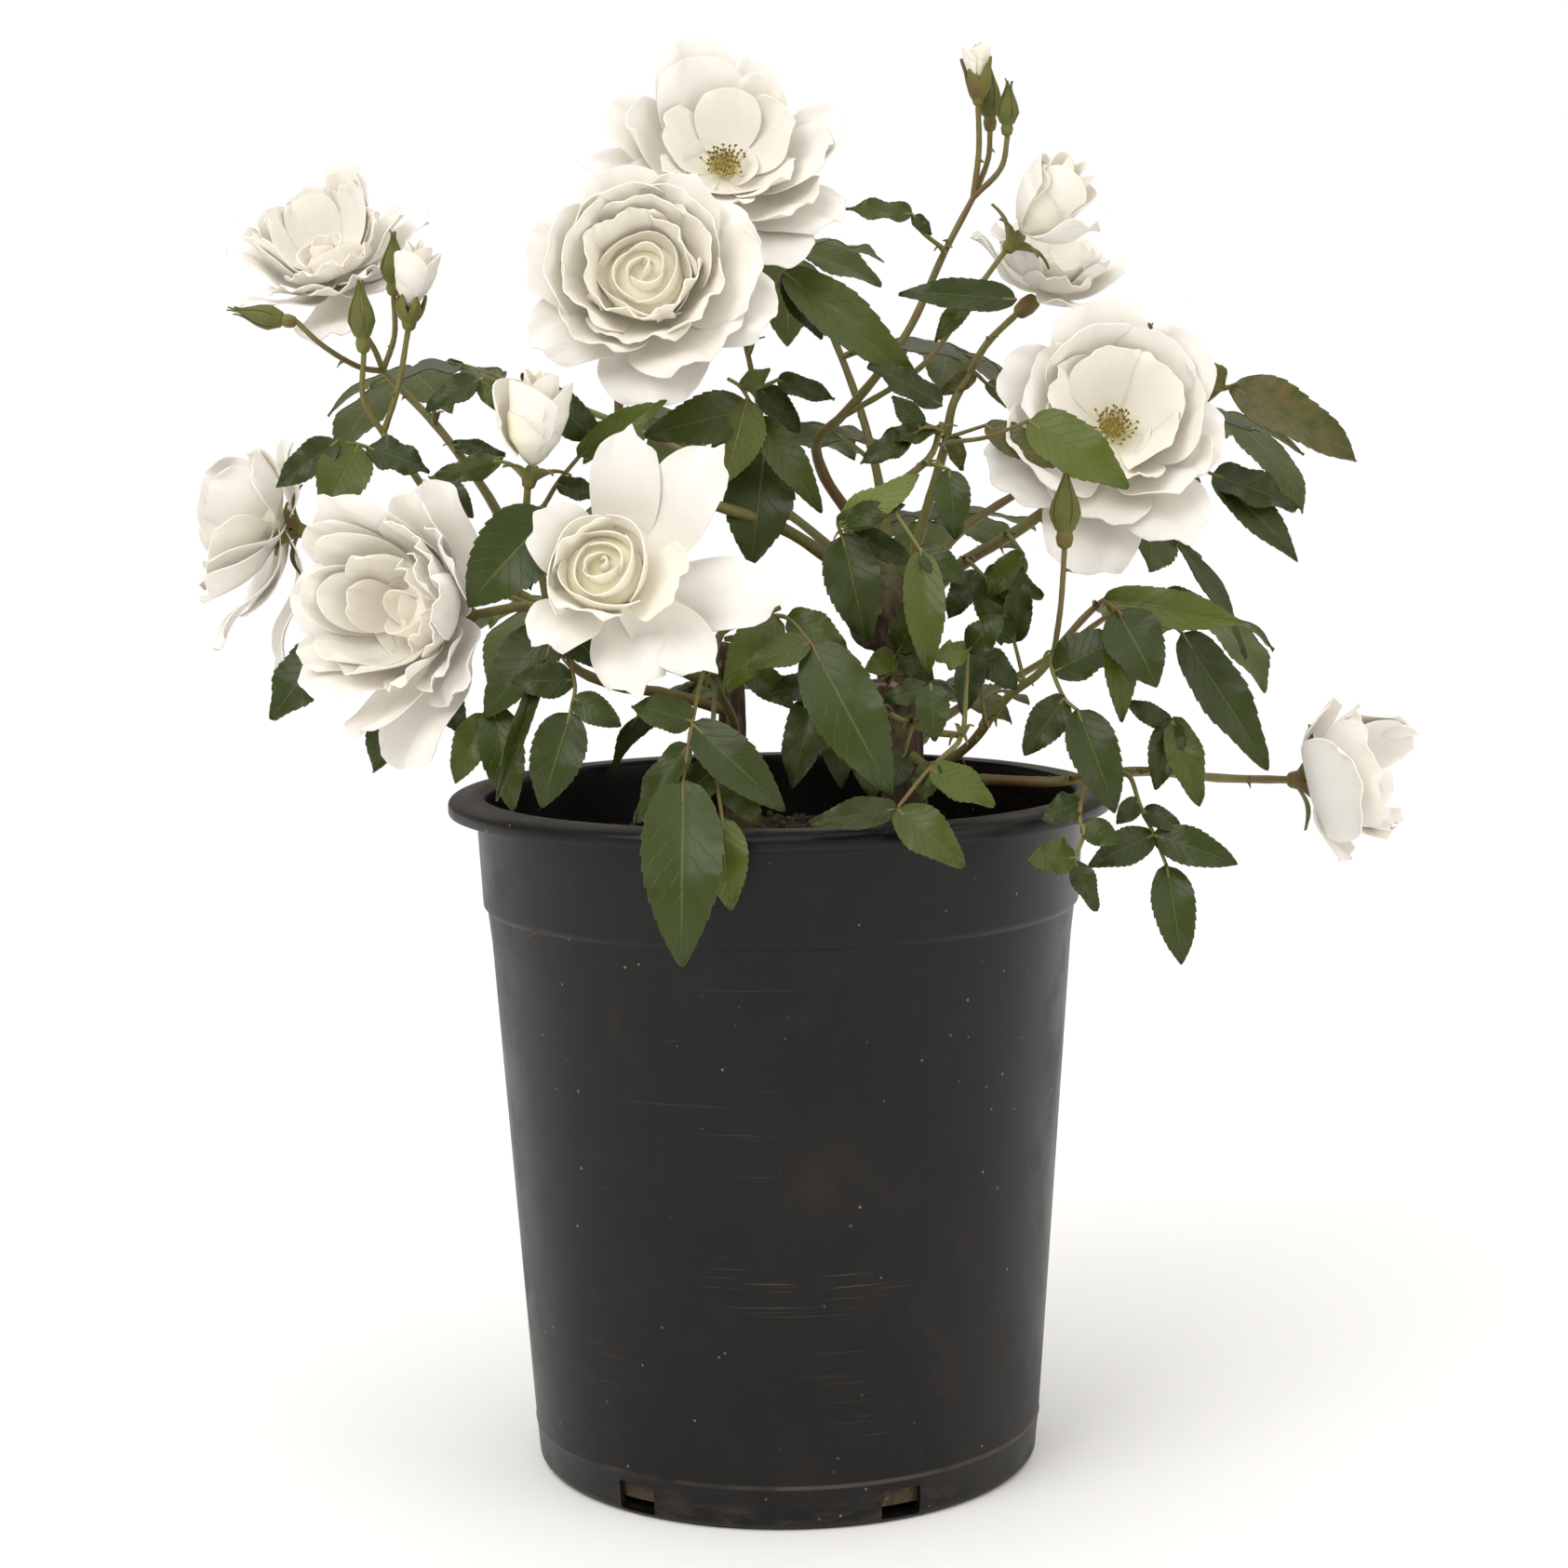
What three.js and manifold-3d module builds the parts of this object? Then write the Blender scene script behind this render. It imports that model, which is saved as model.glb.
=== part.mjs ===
// A potted rose: a black nursery pot filled with soil, two woody trunks, leafy stems and white
// blooms. Millimetres, +Z up. The origin is the middle of the pot's foot, and the front of the plant faces
// -Y.
import * as THREE from "three";
import { mergeVertices } from "three/addons/utils/BufferGeometryUtils.js";
import Module from "manifold-3d";

const wasm = await Module();
wasm.setup();

// Driving dimensions of the pot and the soil.
const RIM_RADIUS = 125;
const POT_HEIGHT = 255.5;
const POT_WALL = 2.2;
const LIP_DEPTH = 7;
const LIP_CREST = 110.5;
const BODY_TOP_RADIUS = 114;
const SHOULDER_RADIUS = 112.1;
const SHOULDER_Z = 214;
const SHOULDER_STEP = 1.6;
const FOOT_RADIUS = 95.5;
const FOOT_ROUND = 4;
const FOOT_RING_Z = 16;
const FLOOR_THICKNESS = 3;
const POT_SIDES = 30;
const DRAINS = { count: 6, width: 16, low: 1.7, high: 12.5, reach: 12, firstDeg: -65 };
const SOIL_DROP = 25;
const SOIL_RINGS = [30, 58, 84];
const SOIL_SIDES = 24;
const SOIL_RELIEF = 3;

// Clearance between separate pieces, larger where facets cut a round form short, and the thickness of a leaf,
// a petal and a sepal.
const GAP = 0.4;
const FACET_MARGIN = 1.3;
const SOCKET_GAP = FACET_MARGIN * GAP;
const LEAST_OVERLAP = 1e-4;
const LEAF_THICKNESS = 0.8;
const PETAL_THICKNESS = 0.9;
const SIMPLER = 0.15;

// The front view that places are read in: a square picture seen from this point, in its own pixels.
const VIEW = {
  eye: new THREE.Vector3(1.68, -1147.7, 398.3),
  pitch: THREE.MathUtils.degToRad(7.037),
  roll: THREE.MathUtils.degToRad(0.745),
  focal: 3300,
  centre: 842.5,
};
// Millimetres for one pixel of that view at the pot's axis.
const PIXEL = -VIEW.eye.y / (VIEW.focal * Math.cos(VIEW.pitch));

// A place given as [across, down, depth]: pixels of the front view, and millimetres behind the pot's axis.
function seen([across, down, depth]) {
  const u = (across - VIEW.centre) / VIEW.focal;
  const v = (VIEW.centre - down) / VIEW.focal;
  const sideways = u * Math.cos(VIEW.roll) + v * Math.sin(VIEW.roll);
  const upright = v * Math.cos(VIEW.roll) - u * Math.sin(VIEW.roll);
  const ray = new THREE.Vector3(
    sideways,
    Math.cos(VIEW.pitch) + upright * Math.sin(VIEW.pitch),
    upright * Math.cos(VIEW.pitch) - Math.sin(VIEW.pitch),
  );
  return VIEW.eye.clone().addScaledVector(ray, (depth - VIEW.eye.y) / ray.y);
}

// The place in the front view of a point, the other way round.
function shownAt(point) {
  const from = point.clone().sub(VIEW.eye);
  const away = from.y * Math.cos(VIEW.pitch) - from.z * Math.sin(VIEW.pitch);
  const sideways = from.x / away;
  const upright = (from.y * Math.sin(VIEW.pitch) + from.z * Math.cos(VIEW.pitch)) / away;
  const u = sideways * Math.cos(VIEW.roll) - upright * Math.sin(VIEW.roll);
  const v = sideways * Math.sin(VIEW.roll) + upright * Math.cos(VIEW.roll);
  return [VIEW.centre + VIEW.focal * u, VIEW.centre - VIEW.focal * v, point.y];
}

// Even numbers between 0 and 1 from a seed, the same on every run.
function randomFrom(seed) {
  let state = seed;
  return () => {
    state = (state * 16807) % 2147483647;
    return state / 2147483647;
  };
}

// Solid from a closed geometry.
function toSolid(geometry) {
  const bare = geometry.clone();
  bare.deleteAttribute("normal");
  bare.deleteAttribute("uv");
  const merged = mergeVertices(bare, 1e-4);
  return new wasm.Manifold(
    new wasm.Mesh({
      numProp: 3,
      vertProperties: new Float32Array(merged.attributes.position.array),
      triVerts: new Uint32Array(merged.index.array),
    }),
  );
}

// Solid from a list of corners and a list of triangles that name them.
function solidOf(corners, triangles) {
  return new wasm.Manifold(
    new wasm.Mesh({
      numProp: 3,
      vertProperties: new Float32Array(corners.flatMap((corner) => corner.toArray())),
      triVerts: new Uint32Array(triangles.flat()),
    }),
  );
}

// Tapered tube through points, closed at both ends. It can start a little early, as a hole does.
function tube(points, radii, sides, steps = points.length - 1, early = 0) {
  const curve = new THREE.CatmullRomCurve3(points, false, "centripetal");
  const frames = curve.computeFrenetFrames(steps);
  const corners = [];
  const triangles = [];
  for (let step = 0; step <= steps; step += 1) {
    const centre = curve.getPointAt(step / steps);
    if (step === 0) centre.addScaledVector(frames.tangents[0], -early);
    const radius = THREE.MathUtils.lerp(radii[0], radii[1], step / steps);
    for (let side = 0; side < sides; side += 1) {
      const angle = (2 * Math.PI * side) / sides;
      corners.push(
        centre
          .clone()
          .addScaledVector(frames.normals[step], radius * Math.cos(angle))
          .addScaledVector(frames.binormals[step], radius * Math.sin(angle)),
      );
    }
  }
  for (let step = 0; step < steps; step += 1) {
    for (let side = 0; side < sides; side += 1) {
      const here = step * sides + side;
      const beside = step * sides + ((side + 1) % sides);
      triangles.push([here, beside, beside + sides], [here, beside + sides, here + sides]);
    }
  }
  const last = steps * sides;
  for (let side = 1; side < sides - 1; side += 1) {
    triangles.push([0, side + 1, side], [last, last + side, last + side + 1]);
  }
  return solidOf(corners, triangles);
}

// Round body turned about the line from foot to top, with rings given as [along, radius] shares of its
// length.
function turned(foot, top, rings, sides) {
  const length = foot.distanceTo(top);
  const profile = rings.map(([along, radius]) => new THREE.Vector2(radius * length, along * length));
  const geometry = new THREE.LatheGeometry(profile, sides);
  const turn = new THREE.Quaternion().setFromUnitVectors(
    new THREE.Vector3(0, 1, 0),
    top.clone().sub(foot).normalize(),
  );
  geometry.applyQuaternion(turn);
  geometry.translate(foot.x, foot.y, foot.z);
  return toSolid(geometry);
}

// Outlines of thin blades. Rim points run from base to tip as [along, across] shares of length and half
// width.
const PETAL = { rim: [[0.34, 0.62], [0.74, 1], [1, 0.56]], rib: [0.38, 0.76], end: 0.95 };
const SEPAL = { rim: [[0.3, 1]], rib: [0.45], end: 1 };

// Triangles between a rim chain and a rib chain that share their first and last corner.
function zip(rim, rib) {
  const faces = [];
  let outer = 0;
  let inner = 0;
  while (outer < rim.length - 1 || inner < rib.length - 1) {
    const ribDone = inner === rib.length - 1;
    if (ribDone || (outer < rim.length - 1 && rim[outer + 1].along <= rib[inner + 1].along)) {
      faces.push([rim[outer].name, rim[outer + 1].name, rib[inner].name]);
      outer += 1;
    } else {
      faces.push([rim[outer].name, rib[inner + 1].name, rib[inner].name]);
      inner += 1;
    }
  }
  return faces.filter((face) => new Set(face).size === 3);
}

// Thin blade with the same triangles on both faces: from base to tip, its upper face turned to face. It
// comes to a point at both ends.
function blade(shape, fit) {
  const { base, tip, face, width, thickness } = fit;
  const { arch = 0, sway = 0, fold = 0, cup = 0, wave = 0 } = fit;
  const along = tip.clone().sub(base);
  const length = along.length();
  const side = new THREE.Vector3().crossVectors(along, face).normalize();
  const upper = new THREE.Vector3().crossVectors(side, along).normalize();
  const place = (share, across, layer, ripple) => {
    const bend = arch * Math.sin(Math.PI * share) + sway * Math.sin(2 * Math.PI * share);
    const rise = (fold * Math.abs(across) + cup * across * across) * (width / 2) + ripple * wave;
    return base
      .clone()
      .addScaledVector(along, share)
      .addScaledVector(side, (across * width) / 2)
      .addScaledVector(upper, bend * length + rise + (layer * thickness) / 2);
  };
  const corners = [place(0, 0, 0, 0), place(shape.end, 0, 0, 0)];
  for (const layer of [1, -1]) {
    shape.rib.forEach((share) => corners.push(place(share, 0, layer, 0)));
    for (const hand of [1, -1]) {
      shape.rim.forEach(([share, across]) => corners.push(place(share, hand * across, layer, share * hand)));
    }
  }
  const below = (name) => (name < 2 ? name : name + (corners.length - 2) / 2);
  const rib = [
    { name: 0, along: 0 },
    ...shape.rib.map((share, index) => ({ name: 2 + index, along: share })),
    { name: 1, along: shape.end },
  ];
  const triangles = [];
  [1, -1].forEach((hand, index) => {
    const first = 2 + shape.rib.length + index * shape.rim.length;
    const rim = [
      { name: 0, along: 0 },
      ...shape.rim.map(([share], spot) => ({ name: first + spot, along: share })),
      { name: 1, along: 2 },
    ];
    const turn = (face) => (hand === 1 ? face : face.toReversed());
    for (const face of zip(rim, rib)) triangles.push(turn(face), turn(face.map(below)).toReversed());
    for (let step = 1; step < rim.length; step += 1) {
      const [start, end] = [rim[step - 1].name, rim[step].name];
      triangles.push(turn([end, start, below(start)]), turn([end, below(start), below(end)]));
    }
  });
  return solidOf(corners, triangles.filter((face) => new Set(face).size === 3));
}

// Every solid placed so far, so that a new one can be bent clear of them.
const placed = [];

function place(solid, node, group) {
  placed.push({ solid, node, group, box: solid.boundingBox() });
}

function apart(a, b) {
  return [0, 1, 2].some((axis) => a.max[axis] < b.min[axis] || b.max[axis] < a.min[axis]);
}

// Whether a solid meets one that is already placed, other than those of the groups to skip.
function meets(solid, skip) {
  const box = solid.boundingBox();
  return placed.find(
    (other) =>
      !skip.includes(other.group) &&
      !apart(box, other.box) &&
      other.solid.intersect(solid).volume() > LEAST_OVERLAP,
  )?.group;
}

// Pieces of each node, joined at the end.
const nodes = new Map();

function addTo(name, ...solids) {
  if (!nodes.has(name)) nodes.set(name, []);
  nodes.get(name).push(...solids);
}

// The pot: a lathe shell with a rolled rim, a shoulder band, a ring above the foot, and drain holes at the
// foot.
function makePot() {
  const footRing = THREE.MathUtils.lerp(FOOT_RADIUS, SHOULDER_RADIUS, FOOT_RING_Z / SHOULDER_Z);
  const outside = [
    [0, 0],
    [FOOT_RADIUS - FOOT_ROUND, 0],
    [FOOT_RADIUS, FOOT_ROUND],
    [footRing, FOOT_RING_Z],
    [SHOULDER_RADIUS - SHOULDER_STEP, SHOULDER_Z - 1],
    [SHOULDER_RADIUS, SHOULDER_Z],
    [BODY_TOP_RADIUS, POT_HEIGHT - LIP_DEPTH],
    [RIM_RADIUS, POT_HEIGHT - LIP_DEPTH],
    [RIM_RADIUS, POT_HEIGHT - LIP_DEPTH + 4.5],
    [RIM_RADIUS - 4, POT_HEIGHT - 1],
    [LIP_CREST + 2, POT_HEIGHT],
    [LIP_CREST, POT_HEIGHT - 1],
  ];
  const inside = [
    [SHOULDER_RADIUS - SHOULDER_STEP - POT_WALL, SHOULDER_Z],
    [FOOT_RADIUS - POT_WALL, FLOOR_THICKNESS + 2],
    [0, FLOOR_THICKNESS],
  ];
  const profile = [...outside, ...inside].map(([radius, height]) => new THREE.Vector2(radius, height));
  const shell = new THREE.LatheGeometry(profile, POT_SIDES);
  shell.rotateX(Math.PI / 2);
  let pot = toSolid(shell);
  for (let index = 0; index < DRAINS.count; index += 1) {
    const cutter = new THREE.BoxGeometry(2 * DRAINS.reach, DRAINS.width, DRAINS.high - DRAINS.low);
    cutter.translate(FOOT_RADIUS, 0, (DRAINS.high + DRAINS.low) / 2);
    cutter.rotateZ(THREE.MathUtils.degToRad(DRAINS.firstDeg + (360 / DRAINS.count) * index));
    pot = pot.subtract(toSolid(cutter));
  }
  return pot;
}

// The soil: a plug that fills the pot below a lumpy surface.
function makeSoil() {
  const random = randomFrom(41);
  const wallRadius = (z) =>
    THREE.MathUtils.mapLinear(
      z,
      FLOOR_THICKNESS + 2,
      SHOULDER_Z,
      FOOT_RADIUS - POT_WALL,
      SHOULDER_RADIUS - SHOULDER_STEP - POT_WALL,
    ) - GAP;
  const top = POT_HEIGHT - SOIL_DROP;
  const corners = [new THREE.Vector3(0, 0, top + SOIL_RELIEF)];
  const rings = [...SOIL_RINGS, SHOULDER_RADIUS - SHOULDER_STEP - POT_WALL - 2 * GAP];
  const edge = Math.cos(Math.PI / POT_SIDES);
  for (const radius of rings) {
    const last = radius === rings.at(-1);
    for (let side = 0; side < SOIL_SIDES; side += 1) {
      const angle = (2 * Math.PI * side) / SOIL_SIDES;
      const rise = last ? -SOIL_RELIEF : SOIL_RELIEF * (2 * random() - 1);
      const reach = radius * edge;
      corners.push(new THREE.Vector3(reach * Math.cos(angle), reach * Math.sin(angle), top + rise));
    }
  }
  for (const z of [SHOULDER_Z, FLOOR_THICKNESS + 2 + GAP]) {
    for (let side = 0; side < SOIL_SIDES; side += 1) {
      const angle = (2 * Math.PI * side) / SOIL_SIDES;
      const radius = (wallRadius(z) - GAP) * edge;
      corners.push(new THREE.Vector3(radius * Math.cos(angle), radius * Math.sin(angle), z));
    }
  }
  corners.push(new THREE.Vector3(0, 0, FLOOR_THICKNESS + 2 + GAP));
  const triangles = [];
  const count = rings.length + 2;
  for (let side = 0; side < SOIL_SIDES; side += 1) {
    const next = (side + 1) % SOIL_SIDES;
    triangles.push([0, 1 + side, 1 + next]);
    for (let ring = 1; ring < count; ring += 1) {
      const inner = 1 + (ring - 1) * SOIL_SIDES;
      const outer = inner + SOIL_SIDES;
      triangles.push([inner + side, outer + side, outer + next], [inner + side, outer + next, inner + next]);
    }
    const bottom = 1 + (count - 1) * SOIL_SIDES;
    triangles.push([corners.length - 1, bottom + next, bottom + side]);
  }
  return solidOf(corners, triangles);
}

// Woody trunks. Each has its path from inside the soil, with knobs and cut stubs as [across, down, depth,
// size].
const WOODS = {
  main_trunk: {
    path: [[978, 1010, -6], [974, 900, -8], [968, 800, -6], [966, 730, -3], [957, 660, 0]],
    radii: [10.5, 8.5],
    knobs: [[957, 655, 0, 15.5], [940, 672, -8, 11], [974, 668, 6, 12], [985, 905, -8, 13]],
    stubs: [[[950, 655, -2], [936, 618, -10]], [[972, 655, 4], [984, 622, 12]]],
  },
  side_trunk: {
    path: [[800, 1010, -22], [797, 900, -22], [788, 830, -20], [785, 740, -16], [772, 700, -14]],
    radii: [6.8, 5.4],
    knobs: [[776, 712, -15, 9], [796, 905, -22, 8.5]],
    stubs: [[[780, 722, -12], [800, 690, -2]]],
  },
};
const STUB_RADII = [4.6, 3.8];

// Leafy stems. A cane, twig or leaf stalk is a path of [across, down, depth] places; a leaflet is [base
// across, base down, tip across, tip down, width], all in pixels, and a leaf's stalk starts at its cane.
const STEMS = {
  stem_upper_left: {
    wood: "side_trunk",
    cane: [
      [772, 703, -12], [700, 668, -18], [620, 632, -22], [560, 590, -22], [522, 529, -18], [493, 488, -14],
      [465, 453, -8], [412, 399, -2],
    ],
    radii: [2.6, 1.5],
    twigs: [
      [[412, 399, -2], [401, 373, 0], [378, 340, 3]],
      [[412, 399, -2], [385, 394, -16], [345, 370, -30], [318, 345, -31]],
      [[412, 397, -3], [424, 360, -14], [423, 318, -20]],
    ],
    hips: [[[380, 345, 3], [368, 318, 4]]],
    buds: [[[321, 347, -31], [250, 333, -30], 12], [[423, 320, -20], [423, 252, -22], 13]],
    leaves: [
      {
        stalk: [[466, 450, -12], [471, 427, -18], [516, 408, -26]],
        leaflets: [[514, 405, 457, 440, 28], [520, 408, 548, 446, 26]],
      },
      { stalk: [[487, 478, -20]], leaflets: [[487, 478, 543, 488, 18]] },
      { stalk: [[500, 500, -22], [540, 492, -30]], leaflets: [[540, 492, 462, 515, 28]] },
    ],
  },
  stem_left: {
    wood: "side_trunk",
    cane: [
      [770, 719, -17], [690, 694, -34], [610, 664, -46], [530, 620, -46], [495, 580, -43], [465, 539, -39],
      [439, 501, -35], [412, 466, -30],
    ],
    radii: [2.6, 1.4],
    twigs: [
      [[412, 466, -30], [391, 431, -34], [391, 378, -38]],
      [[412, 466, -30], [428, 415, -34], [439, 352, -36]],
    ],
    hips: [[[439, 358, -36], [440, 338, -37], 10]],
    buds: [[[391, 382, -38], [386, 300, -40], 13]],
    leaves: [
      {
        stalk: [[430, 498, -40], [390, 479, -48], [362, 474, -52]],
        leaflets: [[386, 477, 347, 550, 60], [362, 474, 296, 523, 38], [399, 472, 463, 504, 35]],
      },
      { stalk: [[466, 513, -46]], leaflets: [[466, 513, 509, 556, 34]] },
    ],
  },
  stem_low_left: {
    wood: "side_trunk",
    cane: [[775, 738, -14], [700, 706, -44], [640, 672, -58], [573, 652, -60], [512, 660, -62]],
    radii: [2.6, 1.9],
    twigs: [[[573, 652, -60], [500, 622, -40], [410, 590, -24], [330, 572, -20]]],
    hips: [[[516, 660, -62], [492, 662, -64]], [[334, 573, -20], [314, 568, -20], 15]],
    buds: [],
    leaves: [
      { stalk: [[440, 640, -40], [354, 694, -34]], leaflets: [[354, 694, 289, 773, 55]] },
      {
        stalk: [[470, 690, -36], [440, 740, -34]],
        leaflets: [[440, 740, 400, 830, 50], [455, 715, 500, 790, 44]],
      },
    ],
  },
  stem_centre_left: {
    wood: "side_trunk",
    cane: [
      [783, 764, -20], [715, 745, -48], [655, 735, -68], [612, 712, -74], [592, 660, -72], [578, 600, -74],
      [566, 560, -78], [567, 524, -80],
    ],
    radii: [2.4, 1.5],
    twigs: [[[655, 735, -68], [668, 690, -74], [663, 650, -82]]],
    hips: [[[567, 528, -80], [570, 508, -80], 13], [[664, 655, -80], [657, 634, -88]]],
    buds: [],
    leaves: [
      { stalk: [[590, 552, -86]], leaflets: [[590, 552, 500, 652, 85]] },
      {
        stalk: [[583, 545, -70], [600, 518, -66], [640, 470, -60]],
        leaflets: [[600, 521, 648, 534, 24], [625, 492, 716, 428, 35], [640, 470, 560, 405, 45]],
      },
      {
        stalk: [[601, 668, -86], [594, 686, -92], [586, 711, -96]],
        leaflets: [[598, 672, 520, 770, 60], [586, 711, 530, 864, 20], [603, 666, 649, 718, 45]],
      },
      {
        stalk: [[612, 712, -92], [618, 740, -98], [613, 766, -100]],
        leaflets: [[626, 728, 548, 733, 40], [613, 766, 581, 869, 60], [616, 750, 668, 780, 34]],
      },
      {
        stalk: [[590, 690, -78], [556, 735, -86], [520, 768, -88]],
        leaflets: [[545, 775, 552, 872, 50], [520, 770, 488, 842, 40]],
      },
    ],
  },
  stem_top: {
    wood: "main_trunk",
    cane: [
      [932, 640, -8], [890, 600, -16], [835, 565, -30], [760, 540, -42], [700, 516, -48], [668, 480, -46],
      [665, 440, -38], [668, 385, -28], [688, 338, -28],
    ],
    radii: [2.8, 1.6],
    twigs: [[[835, 565, -30], [826, 490, -16], [812, 420, -4], [795, 340, 2], [780, 270, 4], [775, 222, 2]]],
    hips: [[[687, 342, -28], [695, 320, -34]], [[776, 230, 2], [775, 210, 1]]],
    buds: [],
    leaves: [
      {
        stalk: [[822, 484, -24], [813, 448, -32], [795, 415, -38], [782, 407, -40]],
        leaflets: [
          [807, 440, 692, 468, 55], [820, 484, 807, 607, 78], [818, 449, 885, 550, 40],
          [800, 412, 828, 398, 22],
          [800, 430, 779, 519, 60],
        ],
      },
      {
        stalk: [[805, 380, -2], [822, 330, -8], [843, 292, -12]],
        leaflets: [[843, 290, 993, 417, 55], [850, 296, 886, 364, 38]],
      },
      {
        stalk: [[812, 420, -14], [836, 408, -20]],
        leaflets: [[815, 414, 861, 464, 32], [838, 405, 897, 428, 25]],
      },
    ],
  },
  stem_top_right: {
    wood: "main_trunk",
    cane: [
      [952, 622, 4], [925, 570, 4], [885, 510, 0], [878, 474, -4], [903, 449, -6], [946, 399, -4],
      [979, 350, 0],
      [1015, 271, 4], [1046, 212, 5],
    ],
    radii: [2.7, 1.3],
    twigs: [
      [[1046, 212, 5], [1052, 160, 3], [1051, 112, 2]],
      [[1046, 212, 5], [1062, 170, 8], [1064, 140, 9]],
      [[1046, 212, 5], [1076, 180, 2], [1083, 144, 0]],
      [[903, 449, -6], [969, 410, -12], [1000, 384, -14], [1045, 318, -10], [1080, 270, -8]],
    ],
    hips: [[[1051, 116, 2], [1051, 100, 2]], [[1078, 272, -8], [1092, 258, -9], 15]],
    buds: [[[1064, 144, 9], [1062, 66, 10], 12], [[1082, 148, 0], [1084, 88, -2], 11]],
    leaves: [
      {
        stalk: [[1013, 267, -2], [989, 247, -8], [980, 230, -10]],
        leaflets: [[979, 230, 907, 223, 22], [982, 232, 1001, 252, 16]],
      },
      {
        stalk: [[1040, 318, -18], [1092, 322, -24]],
        leaflets: [[1092, 320, 965, 312, 36], [1042, 325, 1004, 367, 24]],
      },
      { stalk: [[969, 410, -20], [1012, 436, -28]], leaflets: [[1012, 436, 934, 389, 30]] },
    ],
  },
  stem_young_right: {
    wood: "main_trunk",
    cane: [
      [976, 626, -8], [986, 579, -12], [1002, 527, -14], [1016, 476, -14], [1024, 435, -12], [1040, 405, -8],
      [1060, 370, 2], [1095, 335, 16],
    ],
    radii: [2.2, 1.4],
    twigs: [],
    hips: [[[1090, 340, 14], [1112, 322, 20]]],
    buds: [],
    leaves: [
      {
        stalk: [[1045, 400, -14], [1060, 412, -20]],
        leaflets: [[1060, 412, 1145, 453, 30], [1046, 404, 1010, 424, 20]],
      },
      {
        stalk: [[1020, 470, -22], [1059, 457, -32]],
        leaflets: [[1059, 457, 1134, 501, 34], [1022, 468, 1034, 506, 20]],
      },
      {
        stalk: [[1016, 476, -30], [1060, 470, -56], [1106, 452, -80]],
        leaflets: [[1110, 450, 1215, 522, 60]],
      },
    ],
  },
  stem_right: {
    wood: "main_trunk",
    cane: [[984, 652, 0], [1034, 606, 2], [1103, 564, 2], [1155, 520, -4], [1180, 492, -10]],
    radii: [3, 2],
    twigs: [
      [[1120, 556, 1], [1190, 520, 14], [1250, 470, 14], [1315, 415, 8]],
      [[1250, 470, 14], [1252, 430, 18], [1238, 396, 20]],
    ],
    hips: [[[1176, 496, -9], [1186, 480, -14]]],
    buds: [[[1238, 398, 20], [1235, 350, 22], 15]],
    leaves: [
      {
        stalk: [[1040, 602, -4], [1060, 622, -14]],
        leaflets: [[1060, 622, 1078, 694, 42], [1058, 618, 1122, 640, 36], [1050, 614, 1018, 664, 34]],
      },
      { stalk: [[1085, 576, -4], [1100, 596, -12]], leaflets: [[1100, 596, 1062, 640, 34]] },
      {
        stalk: [[1315, 418, 4], [1330, 412, 0]],
        leaflets: [[1322, 415, 1462, 492, 55], [1315, 415, 1267, 380, 30]],
      },
      {
        stalk: [[1240, 482, 4], [1304, 510, -6]],
        leaflets: [[1306, 506, 1396, 545, 38], [1302, 514, 1399, 602, 38], [1270, 496, 1262, 590, 46]],
      },
    ],
  },
  stem_right_mid: {
    wood: "main_trunk",
    cane: [
      [972, 806, -8], [1000, 824, -24], [1042, 800, -40], [1081, 751, -48], [1118, 722, -52],
      [1142, 690, -52],
      [1180, 650, -50], [1215, 632, -46],
    ],
    radii: [2.3, 1.3],
    twigs: [[[1132, 706, -52], [1140, 650, -60], [1144, 588, -66]]],
    hips: [],
    buds: [[[1144, 592, -66], [1146, 505, -66], 15]],
    leaves: [
      {
        stalk: [[1186, 646, -60], [1196, 652, -70], [1205, 660, -78]],
        leaflets: [[1186, 646, 1340, 668, 45], [1205, 652, 1245, 737, 65], [1196, 660, 1207, 779, 38]],
      },
      {
        stalk: [[1225, 640, -40], [1270, 680, -42]],
        leaflets: [[1274, 684, 1365, 828, 55], [1240, 655, 1290, 640, 36]],
      },
      {
        stalk: [[1130, 716, -64], [1145, 752, -74], [1158, 763, -78]],
        leaflets: [[1158, 763, 1200, 874, 55], [1146, 748, 1100, 812, 42], [1134, 722, 1210, 682, 50]],
      },
      {
        stalk: [[1060, 780, -56], [1049, 692, -62]],
        leaflets: [[1049, 693, 1034, 770, 34], [1052, 700, 1095, 740, 34]],
      },
      {
        stalk: [[1100, 730, -40], [1090, 690, -36]],
        leaflets: [[1091, 686, 1099, 608, 32], [1088, 689, 1055, 640, 26]],
      },
    ],
  },
  stem_low_right: {
    wood: "main_trunk",
    cane: [
      [975, 842, -8], [1000, 838, -26], [1063, 838, -46], [1137, 840, -56], [1182, 832, -54],
      [1238, 829, -46],
      [1309, 836, -34], [1385, 838, -24],
    ],
    radii: [2.5, 1.6],
    twigs: [],
    hips: [[[1380, 838, -24], [1404, 838, -22], 19]],
    buds: [],
    leaves: [
      {
        stalk: [[1238, 826, -56], [1249, 806, -62], [1260, 772, -64]],
        leaflets: [[1260, 770, 1242, 849, 38], [1263, 770, 1290, 867, 40], [1256, 780, 1208, 752, 24]],
      },
      {
        stalk: [[1215, 836, -66], [1225, 865, -74], [1240, 897, -78], [1254, 931, -80]],
        leaflets: [
          [1238, 898, 1170, 930, 40], [1242, 896, 1331, 928, 42], [1254, 931, 1272, 1038, 48],
          [1230, 870, 1272, 892, 24], [1224, 860, 1200, 885, 24],
        ],
      },
      {
        stalk: [[1165, 838, -76], [1160, 880, -94], [1165, 895, -98], [1154, 925, -100]],
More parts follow.
